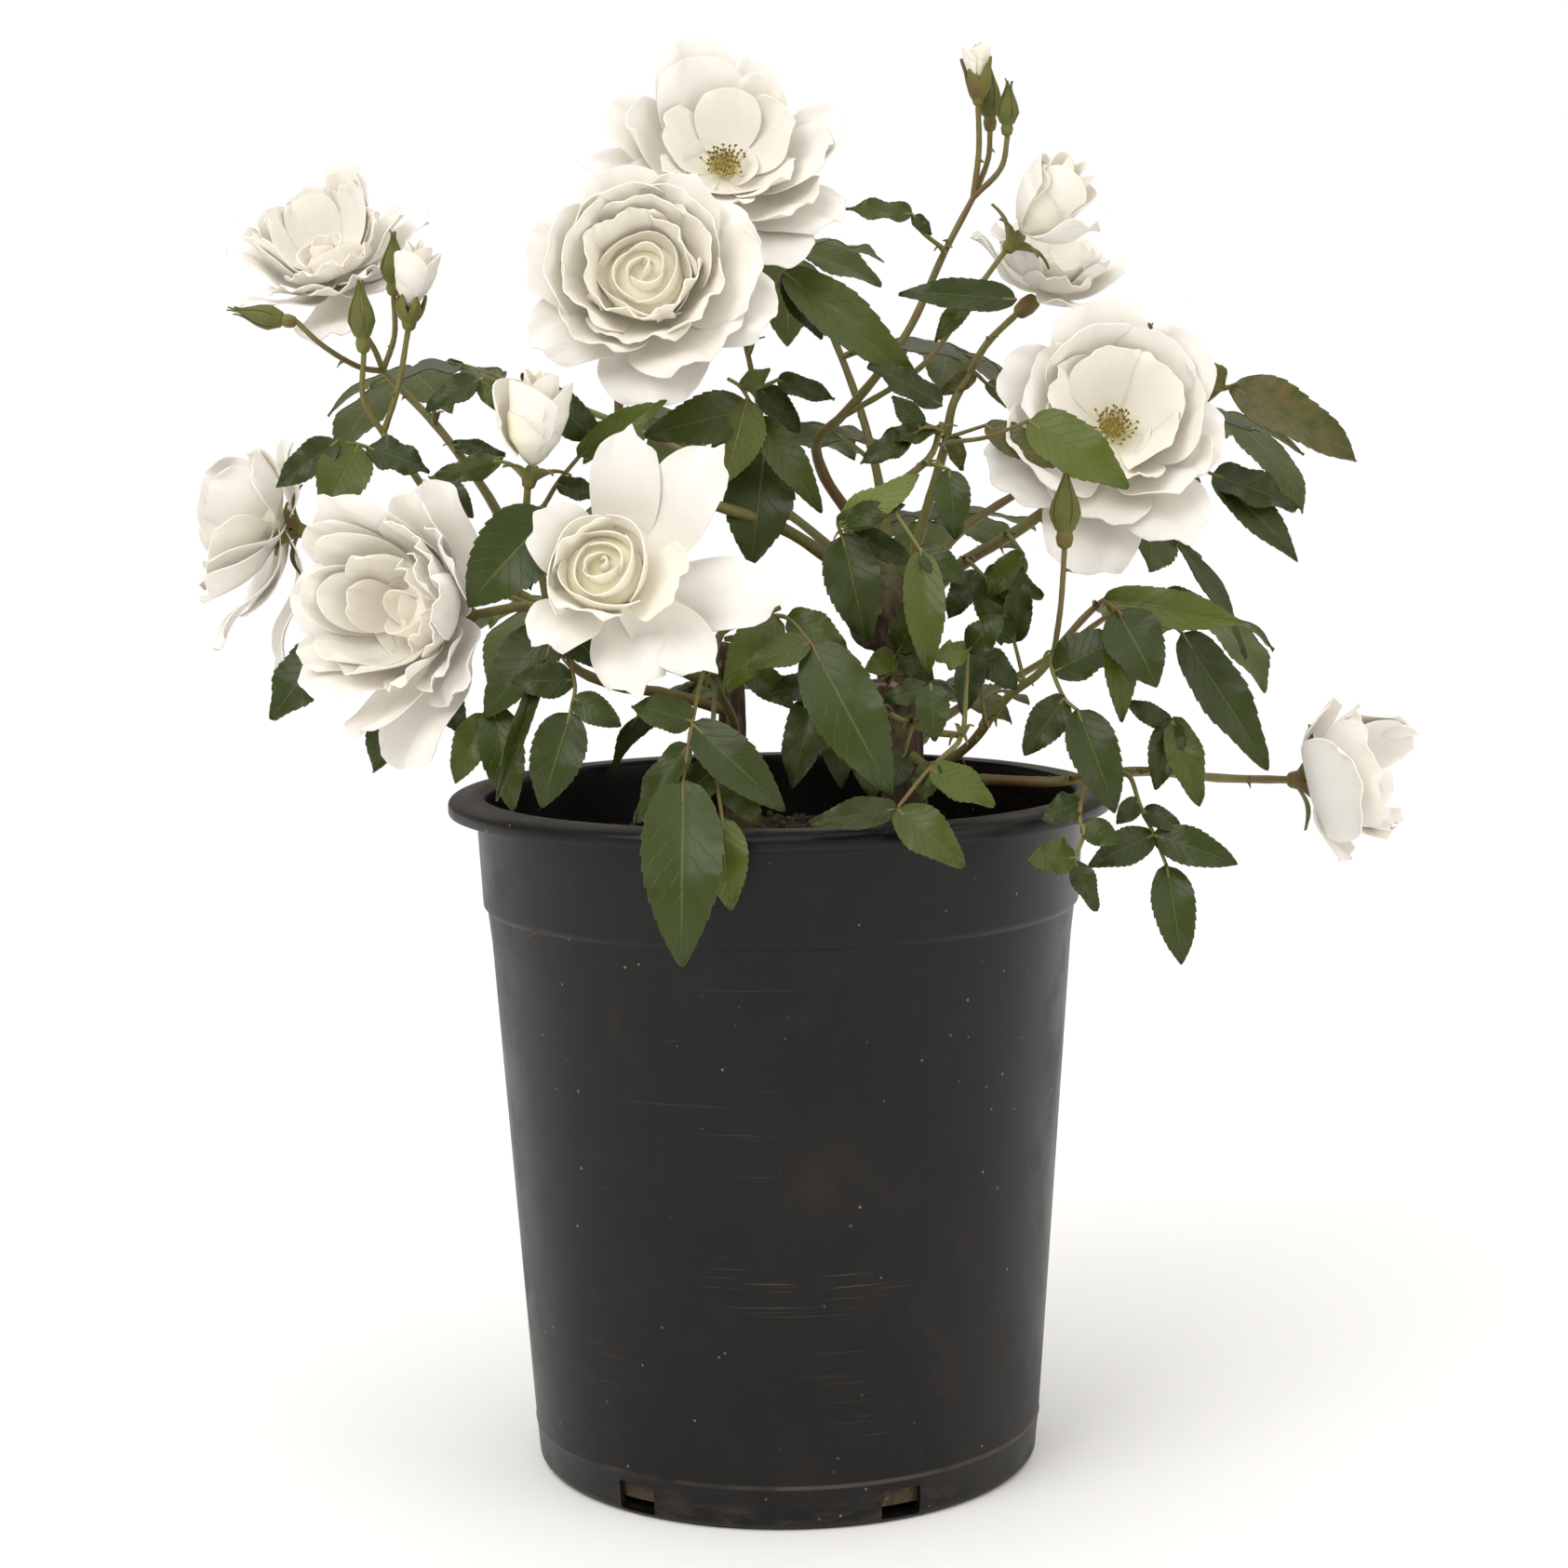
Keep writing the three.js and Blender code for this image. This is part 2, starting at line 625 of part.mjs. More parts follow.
        leaflets: [
          [1160, 862, 1120, 880, 32], [1155, 922, 1105, 923, 38], [1165, 885, 1205, 905, 30],
          [1156, 926, 1180, 980, 26],
        ],
      },
    ],
  },
  stem_front_left: {
    wood: "side_trunk",
    cane: [
      [791, 806, -24], [786, 770, -52], [766, 722, -76], [775, 680, -78], [800, 668, -74], [838, 652, -70],
    ],
    radii: [2.3, 1.4],
    twigs: [],
    hips: [],
    buds: [],
    leaves: [
      {
        stalk: [[756, 722, -96], [744, 776, -112], [734, 838, -126]],
        leaflets: [
          [743, 775, 679, 757, 40], [738, 800, 682, 884, 34], [745, 778, 845, 872, 55],
          [733, 840, 732, 1040, 90],
        ],
      },
      {
        stalk: [[768, 745, -84], [766, 800, -106], [776, 880, -128]],
        leaflets: [[779, 886, 785, 980, 50], [766, 826, 706, 884, 46], [768, 830, 820, 888, 34]],
      },
      {
        stalk: [[826, 662, -86], [846, 664, -94], [872, 692, -104]],
        leaflets: [
          [836, 660, 777, 744, 50], [846, 662, 912, 700, 42], [872, 694, 959, 855, 80],
          [866, 696, 802, 715, 34],
        ],
      },
      { stalk: [[795, 690, -74], [797, 714, -70]], leaflets: [[797, 716, 855, 760, 34]] },
    ],
  },
  stem_front_right: {
    wood: "main_trunk",
    cane: [
      [944, 662, -12], [930, 630, -34], [908, 590, -50], [925, 550, -56], [965, 520, -54], [1000, 490, -48],
      [1012, 455, -40],
    ],
    radii: [2.3, 1.3],
    twigs: [],
    hips: [],
    buds: [],
    leaves: [
      {
        stalk: [[905, 575, -62], [900, 562, -66]],
        leaflets: [[903, 580, 932, 692, 62], [896, 556, 988, 513, 38], [900, 560, 972, 540, 26]],
      },
      { stalk: [[915, 572, -50]], leaflets: [[913, 572, 986, 607, 30]] },
      {
        stalk: [[955, 540, -70], [990, 592, -80]],
        leaflets: [[990, 603, 998, 727, 46], [989, 588, 1040, 627, 32]],
      },
      { stalk: [[1008, 500, -58], [1020, 505, -62]], leaflets: [[1020, 506, 1028, 581, 40]] },
      {
        stalk: [[1012, 462, -46], [990, 460, -50], [975, 474, -50]],
        leaflets: [[1007, 455, 943, 472, 24], [982, 476, 924, 496, 28], [990, 462, 960, 425, 26]],
      },
    ],
  },
  stem_front: {
    wood: "main_trunk",
    cane: [
      [968, 745, -8], [955, 735, -40], [930, 740, -70], [960, 770, -88], [1000, 786, -92], [1034, 790, -90],
    ],
    radii: [2.2, 1.3],
    twigs: [],
    hips: [],
    buds: [],
    leaves: [
      {
        stalk: [[1030, 798, -98], [998, 827, -108], [963, 870, -118]],
        leaflets: [
          [963, 870, 870, 884, 34], [962, 873, 1038, 930, 50], [1001, 828, 1072, 863, 38],
          [1000, 815, 985, 862, 30],
        ],
      },
      {
        stalk: [[985, 770, -96], [1000, 735, -98]],
        leaflets: [[1001, 733, 1005, 797, 38], [998, 740, 950, 752, 30]],
      },
      {
        stalk: [[930, 742, -80], [890, 735, -92], [876, 748, -98]],
        leaflets: [[875, 749, 850, 848, 46], [892, 740, 905, 848, 45], [884, 738, 826, 742, 34]],
      },
      { stalk: [[935, 760, -92], [925, 800, -104]], leaflets: [[925, 808, 940, 860, 32]] },
      {
        stalk: [[952, 737, -46], [966, 700, -52]],
        leaflets: [[966, 700, 990, 640, 36], [964, 706, 930, 720, 30], [968, 704, 1004, 730, 30]],
      },
      { stalk: [[980, 780, -94], [972, 810, -96]], leaflets: [[972, 810, 950, 850, 34]] },
      {
        stalk: [[1036, 780, -86], [1040, 700, -84]],
        leaflets: [[1043, 690, 1003, 706, 30], [1040, 700, 1078, 660, 34]],
      },
    ],
  },
};

const CANE_SIDES = 5;
const TWIG_SIDES = 4;
const TWIG_RADII = [1.3, 1.1];
const HIP_RINGS = [[0, 0], [0, 0.2], [0.55, 0.5], [1, 0.42], [1, 0]];
const BUD_RINGS = [[0, 0], [0, 0.3], [0.2, 0.75], [0.3, 0.6], [0.5, 1], [0.8, 0.5], [1, 0]];
const BUD_SIDES = 5;

// Ways to bend a leaf clear of its neighbours: the shift in depth of its stalk's end, and the size of its
// leaflets.
const LEAF_BENDS = [
  [0, 1], [-7, 1], [7, 1], [-14, 1], [14, 1], [-22, 1], [22, 1], [0, 0.85], [-10, 0.85], [10, 0.85],
  [-20, 0.85],
  [20, 0.85], [-32, 0.9], [32, 0.9], [0, 0.7], [-12, 0.7], [12, 0.7], [-26, 0.7], [26, 0.7],
];

// Nearest place to a target on the straight stretches between a tube's rings.
function nearestOn(points, target, steps) {
  const rings = new THREE.CatmullRomCurve3(points, false, "centripetal").getSpacedPoints(steps);
  const spots = rings.slice(1).map((ring, index) =>
    new THREE.Line3(rings[index], ring).closestPointToPoint(target, true, new THREE.Vector3()));
  return spots.reduce((best, spot) => (spot.distanceTo(target) < best.distanceTo(target) ? spot : best));
}

// Toothed rims of leaflets as [along, across] shares of length and half width, and how a leaflet lies: the
// share of its length that it droops forward, how far its upper side leans back, and how high it arches.
const LEAFLET_RIM = [[0.22, 0.86], [0.46, 1], [0.54, 0.8], [0.8, 0.56]];
const SMALL_RIM = [[0.24, 0.86], [0.52, 0.96], [0.6, 0.72]];
const LARGE_LEAFLET = 105;
const DROOP = [0.3, 0.12, 0.2];
const LEAN_BACK = [0.5, 0.85, 0.3];
const LEAF_ARCH = 0.1;
const LEAF_MOST_WIDTH = 0.64;
const STALK_HALF = 2.6;
const LEAF_FOOT = 3;
const LEAF_LAYER = 1.1;

// A stalk in the front view: places, their distance along it, and a way to find a place and direction on it.
function makeStalk(places) {
  const reach = [0];
  for (let index = 1; index < places.length; index += 1) {
    const [from, to] = [places[index - 1], places[index]];
    reach.push(reach[index - 1] + Math.hypot(to[0] - from[0], to[1] - from[1]));
  }
  const length = reach.at(-1);
  const at = (distance, offset = 0) => {
    const clamped = THREE.MathUtils.clamp(distance, 0, length);
    const index = Math.max(1, reach.findIndex((value, spot) => spot > 0 && value >= clamped - 1e-9));
    const [from, to] = [places[index - 1], places[index]];
    const step = reach[index] - reach[index - 1];
    const share = (clamped - reach[index - 1]) / step;
    const direction = [(to[0] - from[0]) / step, (to[1] - from[1]) / step];
    const spot = from.map((value, axis) => THREE.MathUtils.lerp(value, to[axis], share));
    return {
      direction,
      spot: [spot[0] - direction[1] * offset, spot[1] + direction[0] * offset, spot[2]],
    };
  };
  const nearest = ([across, down]) => {
    let best = 0;
    for (let distance = 0; distance <= length; distance += 1) {
      const [x, y] = at(distance).spot;
      const [bestX, bestY] = at(best).spot;
      if (Math.hypot(x - across, y - down) < Math.hypot(bestX - across, bestY - down)) best = distance;
    }
    return best;
  };
  return { places, reach, length, at, nearest };
}

// A leaflet's rim as places of the front view, out along one side and back along the other.
function leafletRim(leaflet, root, order, size, firstSide) {
  const [, , tipAcross, tipDown, width] = leaflet;
  const along = [(tipAcross - root[0]) * size, (tipDown - root[1]) * size];
  const shown = Math.hypot(...along);
  const beside = [-along[1] / shown, along[0] / shown];
  const half = (width * size) / 2;
  const foreshort = Math.sqrt(Math.max(0, ((2 * half) / LEAF_MOST_WIDTH) ** 2 - shown ** 2));
  const droop = Math.max(foreshort, shown * DROOP[order % DROOP.length]) * PIXEL;
  const put = ([share, across]) => {
    const aside = across * half;
    const up = -aside * beside[1] * PIXEL;
    const arch = LEAF_ARCH * shown * PIXEL * Math.sin(Math.PI * share);
    return [
      root[0] + along[0] * share + beside[0] * aside,
      root[1] + along[1] * share + beside[1] * aside,
      root[2] - droop * share - arch + LEAN_BACK[order % LEAN_BACK.length] * up,
    ];
  };
  const rim = shown > LARGE_LEAFLET ? LEAFLET_RIM : SMALL_RIM;
  const out = rim.map(([share, across]) => put([share, firstSide * across]));
  const back = rim.map(([share, across]) => put([share, -firstSide * across])).toReversed();
  return [...out, put([1, 0]), ...back];
}

// Outline of a compound leaf in the front view: its stalk as a ribbon, with its leaflets along both edges.
function leafOutline(stalk, leaflets, size) {
  const spots = leaflets.map((leaflet) => {
    const distance = stalk.nearest(leaflet);
    const { spot, direction } = stalk.at(distance);
    const toTip = [leaflet[2] - spot[0], leaflet[3] - spot[1]];
    const forward = (toTip[0] * direction[0] + toTip[1] * direction[1]) / Math.hypot(...toTip);
    const hand = Math.sign(direction[0] * toTip[1] - direction[1] * toTip[0]);
    return { leaflet, distance, forward, hand, order: leaflet[2] };
  });
  const last = spots.filter(({ distance, forward }) => distance > stalk.length - 12 && forward > 0.3);
  const terminal = last.sort((a, b) => b.forward - a.forward)[0];
  const edge = (hand) => {
    const points = [];
    const corners = stalk.reach.map((distance) => ({ distance, corner: true }));
    const lateral = spots.filter((spot) => spot !== terminal && spot.hand === hand);
    let filled = -1;
    for (const item of [...corners, ...lateral].sort((a, b) => a.distance - b.distance)) {
      if (item.corner) {
        if (item.distance > filled) points.push(stalk.at(item.distance, hand * STALK_HALF).spot);
        filled = Math.max(filled, item.distance);
      } else {
        const start = Math.max(item.distance - LEAF_FOOT, filled + 1);
        const end = start + 2 * LEAF_FOOT;
        const { spot, direction } = stalk.at(start + LEAF_FOOT, hand * STALK_HALF);
        const beside = [-(item.leaflet[3] - spot[1]), item.leaflet[2] - spot[0]];
        const backward = beside[0] * direction[0] + beside[1] * direction[1] < 0 ? 1 : -1;
        points.push(stalk.at(start, hand * STALK_HALF).spot);
        points.push(...leafletRim(item.leaflet, spot, item.order, size, backward));
        points.push(stalk.at(end, hand * STALK_HALF).spot);
        filled = end;
      }
    }
    return points;
  };
  const tip = terminal
    ? leafletRim(terminal.leaflet, stalk.at(stalk.length).spot, terminal.order, size, -1)
    : [];
  const outline = [...edge(-1), ...tip, ...edge(1).toReversed()];
  return outline.filter((point, index) => {
    const next = outline[(index + 1) % outline.length];
    return Math.hypot(point[0] - next[0], point[1] - next[1]) > 0.8;
  });
}

// Whether no two edges of an outline cross.
function isSimple(outline) {
  const turn = (a, b, c) => Math.sign((b[0] - a[0]) * (c[1] - a[1]) - (b[1] - a[1]) * (c[0] - a[0]));
  const count = outline.length;
  for (let first = 0; first < count; first += 1) {
    for (let second = first + 2; second < count; second += 1) {
      if (first === 0 && second === count - 1) continue;
      const [a, b] = [outline[first], outline[first + 1]];
      const [c, d] = [outline[second], outline[(second + 1) % count]];
      if (turn(a, b, c) !== turn(a, b, d) && turn(c, d, a) !== turn(c, d, b)) return false;
    }
  }
  return true;
}

// Thin solid from an outline in the front view: both faces have the same triangles, one layer apart.
function flatSolid(outline, thickness) {
  const shape = outline.map(([across, down]) => new THREE.Vector2(across, -down));
  const points = THREE.ShapeUtils.isClockWise(shape) ? outline.toReversed() : outline;
  const faces = THREE.ShapeUtils.triangulateShape(
    points.map(([across, down]) => new THREE.Vector2(across, -down)),
    [],
  );
  const corners = [];
  for (const layer of [1, -1]) {
    for (const point of points) {
      const corner = seen(point);
      const toViewer = VIEW.eye.clone().sub(corner).normalize();
      corners.push(corner.addScaledVector(toViewer, (layer * thickness) / 2));
    }
  }
  const count = points.length;
  const triangles = [];
  for (const [a, b, c] of faces) triangles.push([a, b, c], [a + count, c + count, b + count]);
  for (let here = 0; here < count; here += 1) {
    const next = (here + 1) % count;
    triangles.push([here, here + count, next + count], [here, next + count, next]);
  }
  return solidOf(corners, triangles);
}

// The stalk of a leaflet that stands alone, from a place towards its tip.
function shortStalk(from, leaflet) {
  const along = [leaflet[2] - from[0], leaflet[3] - from[1]];
  const share = (2 * STALK_HALF) / Math.hypot(...along);
  return [from, [from[0] + share * along[0], from[1] + share * along[1], from[2] - 1]];
}

// Solid of a compound leaf: one outline where its leaflets lie side by side, and one of its own for each that
// overlaps them. Where its stalk first runs towards the viewer, a round stalk takes the outline's place.
const STALK_RADII = [1.15, 0.9];
const STEEP = 1.2;
function leafSolid(start, leaf, [bend, size], thickness) {
  const wanted = leaf.stalk.map(([across, down, depth], index) => [
    across,
    down,
    depth + (bend * (index + 1)) / leaf.stalk.length,
  ]);
  const aside = Math.hypot(wanted[0][0] - start[0], wanted[0][1] - start[1]) * PIXEL;
  const steep = Math.abs(wanted[0][2] - start[2]) > STEEP * aside + LEAF_LAYER;
  const solids = [];
  const places = [...wanted];
  if (steep) {
    const from = seen(start);
    const onward = seen(wanted[0]).sub(from);
    onward.setLength(onward.length() + LEAF_LAYER);
    const wider = (thickness - LEAF_LAYER) / 2;
    solids.push(tube([from, onward.add(from)], STALK_RADII.map((radius) => radius + wider), 3, 1));
  } else {
    if (aside < 2 * STALK_HALF * PIXEL) places.shift();
    places.unshift(start);
  }
  if (places.length === 1) places.push(shortStalk(places[0], leaf.leaflets[0]).at(-1));
  while (places.length > 2 && !isSimple(leafOutline(makeStalk(places), [], size))) places.splice(1, 1);
  const stalk = makeStalk(places);
  const together = [];
  const alone = [];
  for (const leaflet of leaf.leaflets) {
    (isSimple(leafOutline(stalk, [...together, leaflet], size)) ? together : alone).push(leaflet);
  }
  solids.push(flatSolid(leafOutline(stalk, together, size), thickness));
  for (const leaflet of alone) {
    const own = shortStalk(stalk.at(stalk.nearest(leaflet)).spot, leaflet);
    const outline = leafOutline(makeStalk(own), [[...own[1].slice(0, 2), ...leaflet.slice(2)]], size);
    solids.push(flatSolid(outline, thickness));
  }
  return wasm.Manifold.union(solids);
}

// A leaf on the nearest of its stem's canes, bent clear of what is already there or else fused into its own
// stem.
function addLeaf(node, canes, leaf, group) {
  const target = seen(leaf.stalk[0]);
  const starts = canes.map((cane) => nearestOn(cane.map(seen), target, cane.length - 1));
  const start = shownAt(starts.sort((a, b) => a.distanceTo(target) - b.distanceTo(target))[0]);
  const clear = (skip) =>
    LEAF_BENDS.find((bend) => !meets(leafSolid(start, leaf, bend, LEAF_LAYER + 2 * GAP), skip));
  const own = placed.filter((other) => other.node === node).map((other) => other.group);
  const way = clear([node]) ?? clear(own);
  if (!way) throw new Error(`${group} meets its neighbours in every place tried`);
  const solid = leafSolid(start, leaf, way, LEAF_LAYER);
  addTo(node, solid);
  place(solid, node, group);
}

// Blooms. Each has its base on its hip, the way it faces, its heart of upright petals, and its outer petals
// as [tip across, tip down, tip depth, width] in pixels and millimetres.
const BLOOMS = {
  bloom_crown: {
    base: [775, 202, 1],
    faces: [0.1, -0.72, 0.68],
    heart: { count: 3, radius: 12, height: 18 },
    stamens: 7,
    petals: [
      [742, 38, 0, 105], [655, 118, -6, 90], [632, 176, -16, 75], [905, 135, -6, 90], [906, 228, -22, 90],
      [855, 290, -30, 95], [812, 62, 4, 80],
    ],
  },
  bloom_top: {
    base: [697, 315, -38],
    faces: [-0.05, -0.93, 0.36],
    heart: { count: 4, radius: 17, height: 25 },
    stamens: 0,
    petals: [
      [570, 262, -62, 110], [580, 372, -66, 95], [705, 430, -71, 125], [830, 338, -64, 100],
      [808, 240, -56, 100],
      [748, 196, -50, 95], [660, 180, -52, 110],
    ],
  },
  bloom_middle: {
    base: [656, 627, -89],
    faces: [-0.1, -0.93, 0.36],
    heart: { count: 4, radius: 17, height: 26 },
    stamens: 0,
    petals: [
      [676, 465, -104, 105], [768, 492, -108, 115], [832, 640, -112, 115], [762, 716, -116, 95],
      [684, 737, -118, 110],
      [580, 690, -116, 95], [580, 555, -106, 105],
    ],
  },
  bloom_low_left: {
    base: [486, 663, -65.5],
    faces: [-0.72, -0.66, 0.2],
    heart: { count: 4, radius: 15, height: 26 },
    stamens: 0,
    petals: [
      [455, 515, -66, 115], [352, 545, -74, 100], [312, 640, -80, 95], [330, 735, -86, 95],
      [424, 826, -84, 115],
      [498, 750, -92, 95], [470, 580, -96, 95],
    ],
  },
  bloom_left: {
    base: [312, 567, -20],
    faces: [-0.85, -0.2, 0.3],
    heart: { count: 3, radius: 11, height: 20 },
    stamens: 0,
    petals: [
      [300, 476, -16, 95], [222, 530, -36, 85], [212, 620, -40, 85], [236, 700, -34, 90], [296, 720, -22, 90],
      [262, 560, -2, 90], [262, 650, 0, 90],
    ],
  },
  bloom_left_top: {
    base: [365, 309, 5],
    faces: [-0.25, -0.35, 0.9],
    heart: { count: 3, radius: 11, height: 20 },
    stamens: 0,
    petals: [
      [245, 262, -6, 95], [262, 338, -22, 80], [352, 362, -27, 90], [438, 310, -8, 85], [454, 228, 12, 80],
      [372, 184, 14, 70], [305, 212, 16, 90],
    ],
  },
  bloom_right: {
    base: [1190, 476, -17],
    faces: [0.1, -0.86, 0.5],
    heart: { count: 3, radius: 14, height: 18 },
    stamens: 5,
    petals: [
      [1182, 322, -26, 120], [1286, 370, -30, 110], [1314, 470, -40, 115], [1276, 580, -50, 110],
      [1166, 610, -54, 115],
      [1066, 520, -46, 110], [1080, 390, -32, 110],
    ],
  },
  bloom_right_back: {
    base: [1116, 319, 21],
    faces: [0.25, -0.25, 0.93],
    heart: { count: 3, radius: 9, height: 16 },
    stamens: 0,
    petals: [
      [1050, 246, 14, 60], [1120, 242, 30, 85], [1206, 278, 26, 85], [1180, 340, -4, 80], [1098, 262, 44, 80],
    ],
  },
  bloom_half_open: {
    base: [1096, 254, -10],
    faces: [0.62, -0.25, 0.74],
    heart: { count: 4, radius: 13, height: 35 },
    stamens: 0,
    petals: [[1180, 238, -24, 70], [1120, 184, -18, 66]],
  },
  bloom_low_right: {
    base: [1409, 838, -22],
    faces: [0.93, -0.25, 0.25],
    heart: { count: 4, radius: 10, height: 20 },
    stamens: 0,
    petals: [
      [1440, 754, -20, 95], [1510, 792, -26, 85], [1508, 874, -30, 85], [1446, 924, -24, 95],
      [1470, 846, -60, 95],
      [1460, 820, 14, 95],
    ],
  },
  opening_bud_centre: {
    base: [572, 504, -80],
    faces: [0.1, -0.15, 0.98],
    heart: { count: 4, radius: 12.5, height: 35 },
    stamens: 0,
    petals: [],
  },
  opening_bud_left: {
    base: [440, 334, -37],
    faces: [0.15, -0.15, 0.97],
    heart: { count: 3, radius: 8, height: 25 },
    stamens: 0,
    petals: [],
  },
  opening_bud_top: {
    base: [1051, 96, 2],
    faces: [0, -0.1, 1],
    heart: { count: 2, radius: 5, height: 17 },
    stamens: 0,
    petals: [],
  },
};

// A cupped petal of a bloom's heart: part of a round wall that leans out from its foot and in again at its
// top.
const CUP_ROWS = [[0, 0.45], [0.55, 1], [1, 0.86]];
const CUP_STEPS = 3;
function cupPetal(foot, axis, across, { angle, radius, height, sweep }) {
  const corners = [];
  for (const layer of [PETAL_THICKNESS / 2, -PETAL_THICKNESS / 2]) {
    for (let step = 0; step <= CUP_STEPS; step += 1) {
      const outward = across.clone().applyAxisAngle(axis, angle + sweep * (step / CUP_STEPS - 0.5));
      for (const [rise, reach] of CUP_ROWS) {
        const round = 1 - 0.1 * rise * Math.abs(2 * (step / CUP_STEPS) - 1);
        const corner = foot.clone().addScaledVector(axis, height * rise * round);
        corners.push(corner.addScaledVector(outward, radius * reach + layer));
      }
    }
  }
  const rows = CUP_ROWS.length;
  const inner = (CUP_STEPS + 1) * rows;
  const triangles = [];
  const quad = (a, b, c, d) => triangles.push([a, b, c], [a, c, d]);
  for (let step = 0; step < CUP_STEPS; step += 1) {
    for (let row = 0; row < rows - 1; row += 1) {
      const a = step * rows + row;
      quad(a, a + rows, a + rows + 1, a + 1);
      quad(inner + a, inner + a + 1, inner + a + rows + 1, inner + a + rows);
    }
    const low = step * rows;
    const high = low + rows - 1;
    quad(low, inner + low, inner + low + rows, low + rows);
    quad(high, high + rows, inner + high + rows, inner + high);
  }
  for (let row = 0; row < rows - 1; row += 1) {
    const far = CUP_STEPS * rows + row;
    quad(row, row + 1, inner + row + 1, inner + row);
    quad(far, inner + far, inner + far + 1, far + 1);
  }
  return solidOf(corners, triangles);
}

// The white petals of a bloom: outer ones in two layers, and cupped ones in its heart, fused round a small
// core.
const GOLDEN = THREE.MathUtils.degToRad(137.5);
const LAYER_STEP = 2.6;
const PETAL_ROOT = { out: 0.2, up: 1.6 };
const PETAL_SHARE = 0.92;
const PETAL_BEND = { arch: -0.12, sway: -0.05, cup: 0.1, wave: 0.8 };
const CORE = { sides: 5, share: 0.55, height: 5, rise: 0.3 };
function makeBloom(name, bloom) {
  const axis = new THREE.Vector3(...bloom.faces).normalize();
  const base = seen(bloom.base).addScaledVector(axis, GAP);
  const { count, radius, height } = bloom.heart;
  const core = radius * CORE.share;
  const coreHeight = CORE.height + core * CORE.rise;
  const top = base.clone().addScaledVector(axis, coreHeight);
  const share = core / coreHeight;
  const pieces = [
    turned(base, top, [[0, 0], [0, 0.6 * share], [0.55, share], [1, 0.8 * share], [1, 0]], CORE.sides),
  ];
  bloom.petals.forEach(([across, down, depth, width], index) => {
    const lift = LAYER_STEP * (index % 2);
    const tip = seen([across, down, depth]).addScaledVector(axis, 1.5 * lift);
    const outward = tip.clone().sub(base);
    outward.addScaledVector(axis, -outward.dot(axis)).normalize();
    const root = base
      .clone()
      .addScaledVector(outward, core * PETAL_ROOT.out)
      .addScaledVector(axis, PETAL_ROOT.up + lift);
    const face = axis.clone().sub(outward);
    pieces.push(blade(PETAL, {
      base: root,
      tip,
      face,
      width: PETAL_SHARE * width * PIXEL,
      thickness: PETAL_THICKNESS,
      ...PETAL_BEND,
    }));
  });
  const across = new THREE.Vector3(0, 0, 1).cross(axis).normalize();
  const foot = base.clone().addScaledVector(axis, coreHeight * 0.9);
  for (let index = 0; index < count; index += 1) {
    const out = (index + 1) / count;
    pieces.push(cupPetal(foot, axis, across, {
      angle: GOLDEN * index,
      radius: radius * (bloom.stamens > 0 ? 0.6 + 0.4 * out : out),
      height: (height - coreHeight * 0.9) * (1.06 - 0.2 * out),
      sweep: THREE.MathUtils.degToRad(190 - 70 * out),
    }));
  }
  const whole = wasm.Manifold.union(pieces);
  addTo(name, whole);
  place(whole, name, name);
}

// Stamens of an open bloom: thin stalks fanned out from a small disc, which stand between the inner petals.
const STAMEN = { length: 9, radius: 0.5, disc: 2.2, fan: 2.6 };
function makeStamens(bloom) {
  const axis = new THREE.Vector3(...bloom.faces).normalize();
  const core = bloom.heart.radius * CORE.share;
  const foot = seen(bloom.base).addScaledVector(axis, CORE.height + core * CORE.rise + 2 * GAP);
  const across = new THREE.Vector3(0, 0, 1).cross(axis).normalize();
  const disc = turned(foot, foot.clone().addScaledVector(axis, 2), [[0, 0], [0, 1.1], [1, 0.9], [1, 0]], 6);
  const stalks = [];
  for (let index = 0; index < bloom.stamens; index += 1) {
    const outward = across.clone().applyAxisAngle(axis, GOLDEN * index);
    const spread = Math.sqrt((index + 0.5) / bloom.stamens);
    const root = foot.clone().addScaledVector(axis, 1).addScaledVector(outward, spread * STAMEN.disc * 0.7);
    const tip = foot.clone().addScaledVector(axis, STAMEN.length * (1 - 0.2 * spread));
    tip.addScaledVector(outward, spread * (STAMEN.disc + STAMEN.fan));
    stalks.push(tube([root, tip], [STAMEN.radius, STAMEN.radius * 1.4], 3, 1));
  }
  return wasm.Manifold.union([disc, ...stalks]);
}

// Five sepals round the top of a hip, each leaned back until it is clear of the petals.
const SEPAL_WIDTH = 5;
const SEPAL_LEANS = [70, 85, 100, 115, 130, 145].map(THREE.MathUtils.degToRad);
function addSepals(node, [foot, top, length]) {
  const [start, end] = [seen(foot), seen(top)];
  const axis = end.clone().sub(start);
  const ring = start.clone().addScaledVector(axis, 0.6);
  const radius = 0.34 * axis.length();
  axis.normalize();
  const across = new THREE.Vector3(0, 1, 0).cross(axis).normalize();
  for (let index = 0; index < 5; index += 1) {
    const outward = across.clone().applyAxisAngle(axis, (2 * Math.PI * (index + 0.25)) / 5);
    const make = (lean, thickness) => {
      const base = ring.clone().addScaledVector(outward, radius);
      const tip = base.clone().addScaledVector(axis, length * Math.cos(lean));
      tip.addScaledVector(outward, length * Math.sin(lean));
      return blade(SEPAL, { base, tip, face: axis, width: SEPAL_WIDTH, arch: 0.12, thickness });
    };
    const lean = SEPAL_LEANS.find((angle) => !meets(make(angle, LEAF_THICKNESS + 2 * GAP), [node]));
    if (lean) {
      const solid = make(lean, LEAF_THICKNESS);
      addTo(node, solid);
      place(solid, node, node);
    }
  }
}

